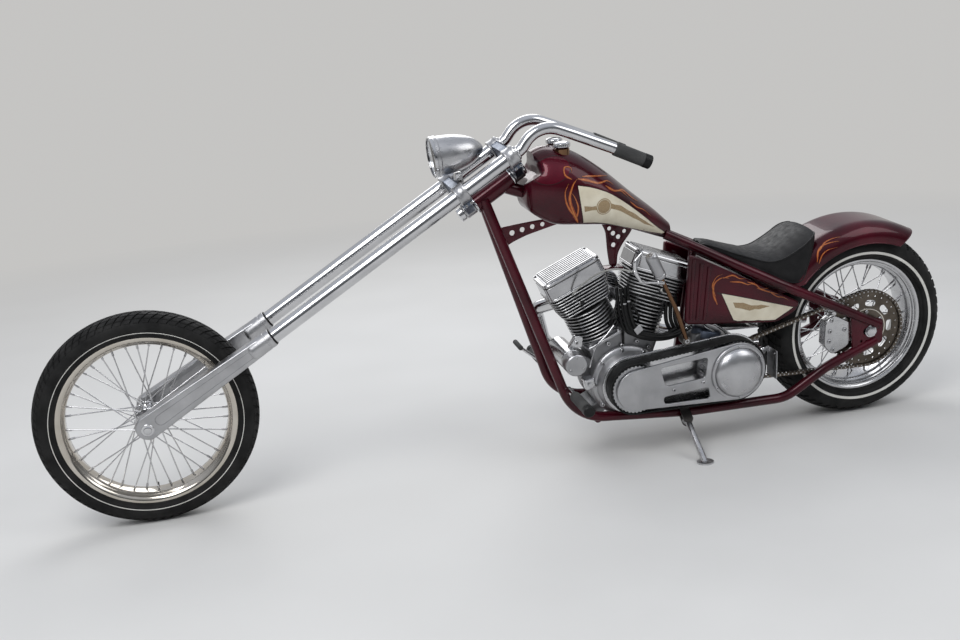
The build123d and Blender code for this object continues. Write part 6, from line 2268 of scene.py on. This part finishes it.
@dataclass
class Primary:
    """Open belt primary: backing plate, toothed belt, pulleys, outer plate and dome."""

    back: float = -126.0
    belt_inner: float = -137.0
    belt_width: float = 46.0
    plate_inner: float = -186.0
    plate_depth: float = 9.0
    tooth_pitch: float = 13.9

    def loop(self, front: float, rear: float) -> list[Vector]:
        """Outline round the crankshaft and the clutch."""
        return hull(((CRANK.x, CRANK.z, front), (CLUTCH.x, CLUTCH.z, rear)), 96)

    def build(self) -> None:
        """Build every piece of the primary drive."""
        backing = Shape("primary_backing_plate")
        backing.plate(self.loop(101, 116), side_place(self.back), 8, Finish.POLISHED, bevel=2)
        backing.lathe([(0, 84.3), (62, 84.3), (62, 126), (0, 126)], left_place(CRANK), Finish.CAST)
        spots = ((-800, 356), (-700, 378), (-600, 384), (-452, 352), (-420, 262), (-760, 170), (-620, 168))
        backing.bolts(spots, -133.8, TO_LEFT, 5.5, 3)
        backing.finish("primary_backing", Slot.ALLOY, 35)
        self.belt()
        self.pulleys()
        self.outer_plate()
        self.dome()

    def belt(self) -> None:
        """Wide black belt with teeth on its inner face."""
        shape = Shape("primary_belt_loop")
        outer, inner = self.loop(91, 111), self.loop(86.5, 106.5)
        near, far = self.belt_inner, self.belt_inner - self.belt_width
        rows = [lifted(inner, near), lifted(outer, near), lifted(outer, far), lifted(inner, far)]
        shape.grid(rows, Finish.BELT, wrap=True, loop=True)
        line = self.loop(84.3, 104.3)
        count = round(around(line) / self.tooth_pitch)
        for at, along in stations(line, count):
            out = Vector((along.y, -along.x)) * 3
            ring = [at - along * 3.4 + out, at - along * 2.6, at + along * 2.6, at + along * 3.4 + out]
            shape.prism(ring, near - 1, far + 1, Finish.BELT)
        shape.finish("primary_belt", Slot.RUBBER, 40)

    def pulleys(self) -> None:
        """Engine pulley and clutch drum with toothed faces."""
        shape = Shape("pulley_pair")
        for centre, radius, teeth in ((CRANK, 83.6, 38), (CLUTCH, 103.6, 47)):
            tooth = ((-0.32, radius), (-0.2, radius - 3), (0.2, radius - 3), (0.32, radius))
            holes = [circle(*polar(centre.xz, radius * 0.62, a), radius * 0.16, 24) for a in turns(6)]
            front = centre is CRANK
            outline = toothed(centre.xz, teeth, tooth)
            shape.plate(outline, side_place(-134.3), 48.7, Finish.SATIN, holes if front else ())
            edge = radius + 4 if front else radius - 1
            rows = [(radius - 4, 134.3), (edge, 134.3), (edge, 136.2), (radius - 4, 136.2)]
            shape.lathe(rows, left_place(centre), Finish.POLISHED)
        shape.finish("primary_pulleys", Slot.ALLOY, 35)

    def outer_plate(self) -> None:
        """Satin plate with two windows, three standoffs and its bolts."""
        shape = Shape("primary_outer_cover")
        upper = round_outline(((-806, 331), (-633, 345), (-643, 273), (-787, 262)), 14, 7)
        lower = round_outline(((-796, 226), (-632, 238), (-626, 196), (-792, 199)), 12, 7)
        place = side_place(self.plate_inner)
        shape.plate(self.loop(71, 102), place, self.plate_depth, Finish.SATIN, (upper, lower), 2.2)
        face = self.plate_inner - self.plate_depth
        shape.bolts(((-758, 247), (-652, 258)), face, TO_LEFT, 6.5, 4.5)
        for x, z in ((-888, 312), (-932, 246), (-880, 212)):
            shape.rod((x, self.plate_inner + 0.2, z), (x, -134, z), 8, Finish.SATIN, 20)
        shape.finish("primary_outer_plate", Slot.ALLOY, 35)

    def dome(self) -> None:
        """Spun clutch dome in its bolted ring."""
        shape = Shape("clutch_cover_dome")
        place = left_place(CLUTCH)
        low = -self.plate_inner + self.plate_depth + 0.3
        rows = [
            (84, low), (96, low), (97, low + 1), (97, low + 6), (95.5, low + 8), (88, low + 8.6),
            (86.5, low + 7.5), (86, low + 6)
        ]
        shape.lathe(rows, place, Finish.SATIN, 96)
        corners = ((86, 6), (84, 12), (78, 20), (66, 28.5), (48, 35), (26, 38.8), (10, 39.8), (0, 40))
        curve = smooth_line(corners, 6)
        shape.lathe([(p.x, low + p.y) for p in curve], place, Finish.BRUSHED_DOME, 96)
        spots = [polar(CLUTCH.xz, 91.5, angle) for angle in turns(6, math.radians(30))]
        shape.bolts(spots, -low - 8.2, TO_LEFT, 3.6, 2.6)
        shape.finish("clutch_dome", Slot.ALLOY, 35)


@dataclass
class Driveline:
    """Gearbox, roller chain, brake sprocket and caliper."""

    chain_y: float = -118.0
    pitch: float = 15.875
    front_teeth: int = 23
    rear_teeth: int = 54
    link_radius: float = 7.0
    lid_tilt: float = 0.27

    def pitch_radius(self, teeth: int) -> float:
        """Radius through the roller centres."""
        return self.pitch / 2 / math.sin(math.pi / teeth)

    def teeth_ring(self, centre: Vector, teeth: int) -> list[Vector]:
        """Outline of a sprocket's teeth.

        Args:
            centre: The sprocket's centre.
            teeth: How many teeth.

        Returns:
            The closed outline.
        """
        tip = self.pitch_radius(teeth) + 4.5
        rise = ((-0.36, tip - 9), (-0.2, tip - 4), (-0.09, tip))
        return toothed(centre.xz, teeth, (*rise, *[(-share, radius) for share, radius in reversed(rise)]))

    def build(self) -> None:
        """Build gearbox, chain, sprocket and caliper."""
        self.gearbox()
        self.chain()
        self.sprocket()
        self.caliper()

    def gearbox(self) -> None:
        """Gearbox case with a ribbed round lid, side cover and output sprocket."""
        shape = Shape("gearbox_castings")
        corners = (
            (-662, 149), (-660, 182), (-628, 380), (-610, 392), (-536, 372), (-432, 330), (-412, 250),
            (-430, 149)
        )
        outline = round_outline(corners, 24)
        shape.plate(outline, side_place(91.5), 167.2, Finish.CAST, bevel=5)
        corners = ((-640, 180), (-622, 350), (-548, 348), (-450, 312), (-432, 240), (-446, 175))
        side_cover = round_outline(corners, 30)
        shape.plate(side_cover, side_place(95.5), 6, Finish.POLISHED, bevel=1.5)
        spots = ((-626, 190), (-614, 338), (-550, 336), (-462, 304), (-446, 242), (-458, 186))
        shape.bolts(spots, 95.4, TO_RIGHT, 5, 4)
        tilt = self.lid_tilt
        rear = Vector((math.cos(tilt), 0, -math.sin(tilt)))
        lid_place = place_matrix(Vector((-572, -38, 376)), rear, Y_AXIS)
        rows = [(52, -12), (52, 10), (49, 16), (42, 20), (20, 22), (0, 22.4)]
        shape.lathe(rows, lid_place, Finish.BLUE_CAST)
        for index in range(5):
            y = (index - 2) * 17.0
            reach = math.sqrt(50 ** 2 - y ** 2)
            ends = [lid_place @ Vector((x, y, 11)) for x in (-reach, reach)]
            shape.rod(*ends, 4.5, Finish.BLUE_CAST, 12)
        shape.rod((CLUTCH.x, -75, CLUTCH.z), (CLUTCH.x, -117, CLUTCH.z), 24, Finish.STEEL, 32)
        outline = self.teeth_ring(CLUTCH, self.front_teeth)
        bore = circle(*CLUTCH.xz, 14, 32)
        shape.plate(outline, side_place(self.chain_y + 3), 6, Finish.STEEL, (bore,), 0.6)
        shape.finish("transmission", Slot.ALLOY, 35)

    def rollers(self) -> list[Vector]:
        """Roller centres round both sprockets.

        Returns:
            The centres as X and Z, one chain pitch apart.
        """
        front = (*CLUTCH.xz, self.pitch_radius(self.front_teeth))
        rear = (*REAR_AXLE.xz, self.pitch_radius(self.rear_teeth))
        line = hull((front, rear), 720)
        count = 2 * round(around(line) / self.pitch / 2)
        return [at for at, _ in stations(line, count)]

    def link(self, a: Vector, b: Vector) -> list[Vector]:
        """Waisted outline of one link plate.

        Args:
            a: Its first roller.
            b: Its second roller.

        Returns:
            The closed outline as X and Z.
        """
        along = (b - a).normalized() * self.link_radius
        across = Vector((-along.y, along.x))
        ring = []
        for turn in turns(16):
            end = a if math.cos(turn) < 0 else b
            waist = 0.72 + 0.28 * abs(math.cos(turn))
            ring.append(end + along * math.cos(turn) + across * math.sin(turn) * waist)
        return ring

    def chain(self) -> None:
        """Every link of the roller chain."""
        shape = Shape("roller_chain")
        points = self.rollers()
        for index, (a, b) in enumerate(zip(points, [*points[1:], points[0]])):
            spacing = 6.0 if index % 2 == 0 else 8.4
            for sign in (1, -1):
                y = self.chain_y + sign * spacing
                shape.prism(self.link(a, b), y - 0.9, y + 0.9, Finish.CHAIN)
            # Columns: half length, radius and sides of the roller and of its pin.
            for half, radius, count in ((5, 4.9, 12), (10, 2.4, 8)):
                ends = [(a.x, self.chain_y + way * half, a.y) for way in (-1, 1)]
                shape.rod(*ends, radius, Finish.BOLT, count)
        shape.finish("drive_chain", Slot.STEEL, 40)

    def sprocket(self) -> None:
        """Drilled brake sprocket with a bright inner ring."""
        shape = Shape("brake_sprocket")
        centre = REAR_AXLE.xz
        holes = []
        for angle in turns(9):
            middle = polar(centre, 92, angle)
            away = Vector((-math.sin(angle), math.cos(angle))) * 10
            holes.append(hull(((*(middle - away), 11.5), (*(middle + away), 11.5)), 24))
        holes += [circle(*polar(centre, 119, a), 3.6, 16) for a in turns(27, math.tau / 54)]
        holes.append(circle(*centre, 36, 48))
        outline = self.teeth_ring(REAR_AXLE, self.rear_teeth)
        shape.plate(outline, side_place(self.chain_y + 3), 6, Finish.CHAIN, holes, 0.5)
        place = left_place(REAR_AXLE)
        rows = [(70, 121), (73, 121), (74.5, 122.2), (73, 123), (70, 123)]
        shape.lathe(rows, place, Finish.WARM_CHROME, 96, closed=True)
        rows = [
            (12.9, 84.5), (46, 84.5), (48, 86.5), (48, 112), (44, 115), (44, 119.5), (40, 121), (12.9, 121)
        ]
        shape.lathe(rows, place, Finish.POLISHED, closed=True)
        shape.bolts([polar(centre, 62, a) for a in turns(6, math.tau / 12)], -121, TO_LEFT, 6, 4)
        shape.finish("rear_sprocket", Slot.STEEL, 35, body=Body.REAR_WHEEL)

    def caliper(self) -> None:
        """Polished caliper halves with bolts, bleed nipple and reaction arm."""
        shape = Shape("rear_caliper")
        corners = ((-137, 411), (-168, 388), (-172, 300), (-140, 264), (-78, 290), (-70, 330), (-66, 371))
        outline = round_outline(corners, 16)
        shape.plate(outline, side_place(-126.5), 15.9, Finish.POLISHED, bevel=3)
        corners = ((-140, 405), (-166, 384), (-170, 304), (-140, 270), (-118, 300), (-118, 380))
        inner = round_outline(corners, 12)
        shape.plate(inner, side_place(-97.5), 11.8, Finish.SATIN, bevel=2)
        corners = ((-146, 402), (-168, 386), (-171, 302), (-150, 276), (-152, 300), (-152, 384))
        bridge = round_outline(corners, 6)
        shape.plate(bridge, side_place(-100), 38, Finish.POLISHED, bevel=1.5)
        for x, z in ((-146, 392), (-152, 352), (-154, 316), (-140, 284), (-96, 352)):
            rows = [(0, 0), (9.5, 0), (9.5, 0.8), (0, 0.8)]
            shape.lathe(rows, left_place((x, -142.2, z)), Finish.SATIN, 24)
            shape.bolt((x, -142.3, z), TO_LEFT, 6.6, 4.6)
        arm = round_outline(((-84, 300), (-30, 324), (-30, 350), (-78, 345)), 9)
        slot = round_outline(((-72, 316), (-46, 328), (-46, 340), (-68, 334)), 5)
        shape.plate(arm, side_place(-127), 14, Finish.SATIN, (slot,), 2)
        shape.finish("brake_caliper", Slot.ALLOY, 35)


@dataclass
class Controls:
    """Hand shift, foot controls and the rear axle."""

    def build(self) -> None:
        """Build every control."""
        self.shift()
        for side, node in ((Side.LEFT, "foot_controls_left"), (Side.RIGHT, "foot_controls_right")):
            self.foot(side, node)
        self.axle()

    def shift(self) -> None:
        """Hand shift with a bronze shaft, a long round handle and the bent clutch lever."""
        shape = Shape("hand_shift")
        shape.rod((-697, -126.2, 402), (-697, -166, 402), 15, Finish.STEEL, 32, 2)
        shape.bolt((-697, -166, 402), TO_LEFT, 8, 1.8)
        middle, top = Vector((-752, -196, 540)), Vector((-850, -233, 737))
        path = rounded_route(((-697, -158, 406), middle, top), (400,))
        count = len(path) - 1
        shape.tube(path, [9.0 - 2.4 * i / count for i in range(count + 1)], Finish.BRONZE)
        place = axis_place(top, (top - middle).normalized())
        # Columns: radius, distance from the handle's top.
        handle = (
            (0, -96), (9, -96), (16, -95), (18.6, -92), (19.4, -86), (20, -60), (20, -12), (19, -5),
            (16, -1.2), (0, 0.6)
        )
        shape.lathe(handle, place, Finish.SATIN, 48)
        shape.lathe([(20, -82), (20.5, -81.4), (20.5, -79.6), (20, -79)], place, Finish.CHROME, 48)
        bends = (
            (-822, -222, 638), (-883, -232, 650), (-905, -236, 690), (-905, -238, 725), (-880, -236, 748)
        )
        lever = rounded_route(bends, (16, 16, 16))
        steps = len(lever) - 1
        sizes = [4.2 + 2.0 * math.sin(math.pi * i / steps) for i in range(steps + 1)]
        shape.tube(lever, sizes, Finish.CHROME, 16)
        shape.rod((-798, -213, 634), (-826, -222, 640), 8.5, Finish.POLISHED, 24, 1.5)
        shape.rod((-822, -212, 639), (-822, -232, 639), 4.5, Finish.BOLT, 16, 0.8)
        shape.rod((-905, -228, 690), (-905, -245, 690), 6.5, Finish.CHROME, 20, 1)
        shape.finish("shift_lever", Slot.CHROME, 35)

    def foot(self, side: Side, node: str) -> None:
        """Ribbed peg with its arm, and on the right the pedal ahead of it.

        Args:
            side: Which side.
            node: The CAD node that it stands for.
        """
        shape = Shape(node + "_set")
        place = place_matrix(Vector((-1103, 0, 272)), X_AXIS, Z_AXIS * -side.value)
        rib = ((17.4, 0), (18.4, 1.4), (18.4, 7), (17.4, 8.4))
        ribs = [(r, 186 + index * 9.5 + step) for index in range(12) for r, step in rib]
        shape.lathe([(11, 112), (11, 180), (17, 180)], place, Finish.CHROME, 40)
        shape.lathe([(11, 180), (17, 180), *ribs, (17.4, 304)], place, Finish.GRIP, 40)
        shape.lathe([(17, 304), (19, 305), (19, 326), (16, 329.6), (0, 329.6)], place, Finish.BLACK, 40)
        if side is Side.RIGHT:
            shape.rod((-1103, 164, 272), (-1188, 164, 344), 6, Finish.CHROME, 20)
            rows = [(0, 157), (8, 157), (9, 159), (9, 231), (7, 233.6), (0, 233.6)]
            shape.lathe(rows, right_place((-1188, 0, 344)), Finish.GRIP, 32)
        shape.finish(node, Slot.RUBBER, 35)

    def axle(self) -> None:
        """Rear axle with its nuts, washers, spacers and chain adjusters."""
        shape = Shape("rear_axle_set")
        place = left_place(REAR_AXLE)
        shape.lathe([(0, -164), (12.7, -164), (12.7, 164), (0, 164)], place, Finish.CHROME, 40)
        washer = ((12.7, 153.2), (21.5, 153.2), (21.5, 155.4), (12.7, 155.4))
        nut = ((12.7, 155.4), (18.6, 155.8), (18.6, 163), (15.5, 164.6), (0, 164.8))
        for sign in (1, -1):
            shape.lathe([(r, sign * h) for r, h in washer], place, Finish.CHROME, 40)
            shape.lathe([(r, sign * h) for r, h in nut], place, Finish.POLISHED, 6)
        shape.lathe([(12.7, 121.4), (14, 121.4), (14, 142.6), (12.7, 142.6)], place, Finish.POLISHED, 40)
        shape.lathe([(12.7, -85.2), (14, -85.2), (14, -142.6), (12.7, -142.6)], place, Finish.POLISHED, 40)
        shape.finish("rear_axle", Slot.CHROME, 35)


@dataclass
class CarriedPieces:
    """CAD nodes that are shown as they are, in their own finish."""

    finishes: tuple = (
        ("stand_bracket", "STEEL"),
        ("side_stand", "BOLT"),
    )

    def build(self) -> None:
        """Give each node its finish and smooth shading."""
        for node, finish in self.finishes:
            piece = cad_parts[node]
            piece.data.materials.clear()
            piece.data.materials.append(Finish[finish].made)
            piece.data.polygons.foreach_set("use_smooth", [True] * len(piece.data.polygons))
            piece.data.set_sharp_from_angle(angle=math.radians(30))


@dataclass
class Plumbing:
    """Hoses, cables and lines that fill the V and run behind the belt."""

    def build(self) -> None:
        """Build hoses, spark leads, manifold and lines."""
        self.hoses()
        shape = Shape("leads_and_lines")
        # Manifold between the heads, behind the plugs.
        manifold = ((VALLEY_X - 39, 10, 520), (VALLEY_X, 60, 540), (VALLEY_X + 39, 10, 520))
        shape.tube(smooth_line(manifold, 10), 19, Finish.CAST, 28)
        shape.rod((VALLEY_X, 40, 540), (VALLEY_X, 92, 540), 22, Finish.CAST, 28)
        for sign in (-1, 1):
            lead = ((52, -82, 470), (44, -104, 500), (16, -70, 560), (0, -20, 600))
            line = smooth_line([(VALLEY_X + sign * x, y, z) for x, y, z in lead], 10)
            shape.tube(line, 3.6, Finish.HOSE, 12)
        line = ((-1016, -86, 330), (-1000, -100, 400), (-960, -100, 440), (-930, -96, 470))
        shape.tube(smooth_line(line, 10), 3, Finish.CHROME, 12)
        # Bundle of black hoses down the V and back over the belt, in its clamp.
        bundle = (
            (-893, -70, 590), (-888, -82, 500), (-872, -98, 440), (-812, -100, 414), (-744, -96, 408),
            (-690, -90, 420)
        )
        for step_x, step_y in ((-16, -2), (-6, -14), (8, -12), (20, -6)):
            route = [(x + step_x, y + step_y, z + abs(step_x) / 3) for x, y, z in bundle]
            shape.tube(smooth_line(route, 10), 5.6, Finish.HOSE, 16)
        clamp = round_outline(((-868, 452), (-846, 470), (-834, 448), (-856, 432)), 3)
        shape.plate(clamp, side_place(-112), 8, Finish.SATIN, bevel=1)
        # Dark lines down the gap between the rear cylinder and the oil tank.
        for x in (-724, -707, -691):
            dark = ((x + 10, -30, 610), (x, -52, 520), (x - 4, -60, 450), (x + 16, -66, 398))
            shape.tube(smooth_line(dark, 8), 7, Finish.HOSE, 16)
        for x in (-600, -560):
            pipe = ((x, -60, 428), (x + 12, -74, 410), (x + 40, -80, 386), (x + 54, -82, 360))
            shape.tube(smooth_line(pipe, 8), 5, Finish.CHROME, 14)
        shape.finish("", Slot.RUBBER, 40)

    def hoses(self) -> None:
        """Pair of hoses from the V down behind the belt, each with a clamp at both ends."""
        shape = Shape("oil_hose_pair")
        # Points: X, Y, Z.
        route = (
            (-893, -98, 560),
            (-886, -100, 500),
            (-866, -112, 436),
            (-812, -113, 410),
            (-744, -110, 402),
            (-690, -103, 412),
            (-664, -100, 430),
        )
        for step in (0, 14):
            points = [Vector((x + step, y, z + step / 2)) for x, y, z in route[:-1]]
            points.append(Vector((route[-1][0] + step, *route[-1][1:])))
            line = smooth_line(points, 12)
            shape.tube(line, 6, Finish.HOSE, 20)
            for index in (3, len(line) - 5):
                shape.tube([line[index], line[index + 1]], 7.2, Finish.BOLT, 20)
        shape.finish("oil_hoses", Slot.RUBBER, 40)


@dataclass(frozen=True)
class ClutchCable:
    """Cable that hangs between the clutch lever and its stop on the front cylinder head."""

    radius_m: float = 0.003
    length_m: float = 0.260
    # Points: X, Y, Z in metres, in the upright frame.
    route: tuple = (
        (-0.913, -0.237, 0.690),
        (-0.946, -0.214, 0.702),
        (-0.992, -0.165, 0.684),
        (-1.030, -0.116, 0.642),
        (-1.056, -0.096, 0.612),
        (-1.066, -0.079, 0.590),
    )

    def build(self) -> None:
        """Build the cable as one smooth curve."""
        data = bpy.data.curves.new("clutch_cable_line", "CURVE")
        data.dimensions = "3D"
        data.bevel_depth = self.radius_m
        data.bevel_resolution = 4
        data.use_fill_caps = True
        spline = data.splines.new("NURBS")
        spline.points.add(len(self.route) - 1)
        spots = [TO_ROW @ (Vector(spot) * 1000) for spot in self.route]
        for point, spot in zip(spline.points, spots):
            point.co = (*spot, 1)
        spline.order_u = 3
        spline.use_endpoint_u = True
        spline.resolution_u = 12
        data.materials.append(Finish.CABLE.made)
        piece = add_object("clutch_cable_line", data)
        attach(piece, Body.FRAME.value)
        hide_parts("clutch_cable")
        tuple(spots[0])


@dataclass
class PlateHolder:
    """Small bare plate behind the clutch, hung from a round bolt."""

    bolt_x: float = -406.8
    bolt_z: float = 318.7

    def build(self) -> None:
        """Build the bolt, the arm and the plate."""
        shape = Shape("bare_plate_holder")
        x, z = self.bolt_x, self.bolt_z
        shape.rod((x, -134.3, z), (x, -145, z), 12, Finish.CHROME, 32, 1.5)
        shape.plate(hull(((x, z, 8), (-391, 326, 8)), 24), side_place(-141), 5, Finish.POLISHED, bevel=1)
        shape.bolt((x, -146, z), TO_LEFT, 6.5, 4)
        face = place_matrix(Vector((-389.5, 0, 0)), TO_LEFT, Z_AXIS)
        outline = round_outline(((145, 236), (215, 236), (215, 338), (145, 338)), 6)
        shape.plate(outline, face, 3, Finish.SATIN, (circle(160, 326, 3, 16), circle(200, 326, 3, 16)), 0.6)
        shape.finish("plate_holder", Slot.STEEL, 40)


@dataclass(frozen=True)
class View:
    """Fitted camera of the photograph, in the upright calibration frame."""

    place: tuple = (-2.2289, -3.8421, 1.4236)
    yaw_deg: float = 12.80
    pitch_deg: float = 13.08
    roll_deg: float = -4.84
    focal_pixels: float = 1198.83
    width: int = 960
    sensor_mm: float = 36.0

    def build(self) -> None:
        """Set the scene's camera."""
        yaw, pitch, roll = (math.radians(a) for a in (self.yaw_deg, self.pitch_deg, self.roll_deg))
        ahead = Vector((math.sin(yaw) * math.cos(pitch), math.cos(yaw) * math.cos(pitch), -math.sin(pitch)))
        right = Vector((math.cos(yaw), -math.sin(yaw), 0))
        up = right.cross(ahead)
        right, up = right * math.cos(roll) + up * math.sin(roll), up * math.cos(roll) - right * math.sin(roll)
        data = bpy.data.cameras.new("photo_camera")
        data.lens = self.focal_pixels * self.sensor_mm / self.width
        data.sensor_width = self.sensor_mm
        data.clip_end = 200
        camera = add_object("photo_camera", data)
        spot = Vector(self.place) + TO_ROW.to_translation()
        rows = [(right[i], up[i], -ahead[i], spot[i]) for i in range(3)]
        camera.matrix_world = Matrix((*rows, (0, 0, 0, 1)))
        bpy.context.scene.camera = camera


@dataclass(frozen=True)
class Studio:
    """Plain floor, pale surroundings and soft lamps."""

    floor_size: float = 60.0
    room: tuple = (0.10, 0.105, 0.11)
    ceiling: tuple = (0.58, 0.61, 0.67)

    def build(self) -> None:
        """Build the floor, the room and the lamps."""
        self.floor()
        self.surroundings()
        self.lamp("key_panel", (-2.6, -3.2, 4.6), 3, 165)
        self.lamp("fill_panel", (3.2, -2.6, 3.4), 2.6, 45)
        self.lamp("back_panel", (0.4, 3.8, 3.6), 3.4, 95)
        bpy.context.scene.view_settings.view_transform = "Standard"

    def floor(self) -> None:
        """Flat pale floor."""
        mesh = bmesh.new()
        bmesh.ops.create_grid(mesh, x_segments=2, y_segments=2, size=self.floor_size / 2)
        data = bpy.data.meshes.new("floor")
        mesh.to_mesh(data)
        mesh.free()
        data.materials.append(Finish.GROUND.made)
        add_object("floor", data)

    def surroundings(self) -> None:
        """Backdrop's colour behind the machine, a darker room before it and a bright ceiling."""
        world = bpy.data.worlds.new("pale_room")
        world.use_nodes = True
        tree = world.node_tree
        place = add_node(tree, "TexCoord")
        split = add_node(tree, "SeparateXYZ")
        tree.links.new(place.outputs["Generated"], split.inputs["Vector"])
        ray = add_node(tree, "LightPath").outputs
        behind = math_of(tree, "MAXIMUM", ray["Is Camera Ray"], span(tree, split.outputs["Y"], -0.25, 0.35))
        wall = self.blend(tree, behind, self.room, BACKDROP)
        whole = self.blend(tree, span(tree, split.outputs["Z"], 0.12, 0.75), wall, self.ceiling)
        tree.links.new(whole, tree.nodes["Background"].inputs["Color"])
        bpy.context.scene.world = world

    def blend(self, tree: Tree, share: Socket, *ends: tuple | Socket) -> Socket:
        """Colour between two colours or colour sockets.

        Args:
            tree: The node tree.
            share: Share of the second end.
            ends: Both ends, each a colour or a socket.

        Returns:
            The colour's socket.
        """
        node = add_node(tree, "Mix")
        node.data_type = "RGBA"
        tree.links.new(share, node.inputs[0])
        for socket, end in zip(node.inputs[6:8], ends):
            if isinstance(end, tuple):
                socket.default_value = (*end, 1)
            else:
                tree.links.new(end, socket)
        return node.outputs[2]

    def lamp(self, name: str, place: tuple, size: float, power: float) -> None:
        """Soft square lamp aimed at the machine.

        Args:
            name: The lamp's name.
            place: Where it hangs, in metres.
            size: Side of the square.
            power: Its power in watts.
        """
        data = bpy.data.lights.new(name, "AREA")
        data.size = size
        data.energy = power
        piece = add_object(name, data)
        aim = Vector((0, 0, 0.4)) - Vector(place)
        piece.matrix_world = Matrix.Translation(place) @ aim.to_track_quat("-Z", "Y").to_matrix().to_4x4()


FRONT_WHEEL = Wheel(
    name="front",
    centre=FRONT_AXLE,
    body=Body.FRONT_WHEEL,
    tyre_rows=(
        (0, 349.8), (14, 349), (30, 344.8), (43, 337.5), (52.5, 326), (56.8, 312), (55.6, 298), (51, 286.5),
        (41.5, 282.6), (38.5, 279.5)
    ),
    rim_rows=mirrored_rows((
        (266.2, 39.8), (279, 39.8), (280.2, 40.8), (280.6, 42.6), (279.4, 44.2), (276.6, 44.4), (269, 43.4),
        (264, 40.6), (259.5, 35), (255, 29), (251, 25.5), (249.2, 21)
    )),
    hub_rows=mirrored_rows((
        (10.2, 52), (17, 52), (20.8, 50), (20.8, 37), (23, 36), (41, 36), (42, 35), (42, 31), (41, 30),
        (33, 29.6), (28.5, 26), (26, 20), (22.5, 10)
    )),
    bands=((295.2, 299.4),),
    flange_radius=37,
    flange_height=33,
    rim_radius=249.5,
    rim_height=9,
    rim_finish=Finish.WARM_CHROME,
    tread_edge=50,
    tread_depth=5.5,
    tread_pitches=76,
    tread_skew=0.0022,
)
REAR_WHEEL = Wheel(
    name="rear",
    centre=REAR_AXLE,
    body=Body.REAR_WHEEL,
    tyre_rows=(
        (0, 335.8), (22, 335.2), (46, 331), (68, 322.5), (86, 309), (97, 290), (99.4, 270), (94, 254),
        (80, 247.5), (71.5, 243.5)
    ),
    rim_rows=mirrored_rows((
        (228.2, 72.8), (241.5, 72.8), (242.9, 74.2), (243, 76.4), (241, 77.6), (234, 77), (230.6, 74.5),
        (229.6, 68), (224.5, 66.4), (223.4, 58), (218, 56), (216.4, 44), (213, 40), (211.4, 33)
    )),
    hub_rows=mirrored_rows((
        (12.9, 84), (26, 84), (28.8, 82), (28.8, 69), (31, 68), (55, 68), (56, 67), (56, 63), (55, 62),
        (47, 61.6), (40, 56), (36, 50), (32, 30)
    )),
    bands=((262, 275),),
    flange_radius=51,
    flange_height=65,
    rim_radius=211.5,
    rim_height=14,
    rim_finish=Finish.POLISHED,
    tread_edge=86,
    tread_depth=6,
    tread_pitches=58,
    tread_skew=0.0016,
)


def main() -> None:
    """Build the machine, the studio and the camera."""
    logging.basicConfig(level=logging.INFO, format="%(name)s: %(message)s")
    FRONT_WHEEL.build()
    REAR_WHEEL.build()
    for part in (
        FORK,
        Handlebars(),
        Headlight(),
        FrameTubes(),
        FuelTank(),
        Seat(),
        RearFender(),
        OilTank(),
        Engine(),
        Primary(),
        Driveline(),
        Controls(),
        CarriedPieces(),
        Plumbing(),
        ClutchCable(),
        PlateHolder(),
        View(),
        Studio(),
    ):
        part.build()


if __name__ == "__main__":
    main()
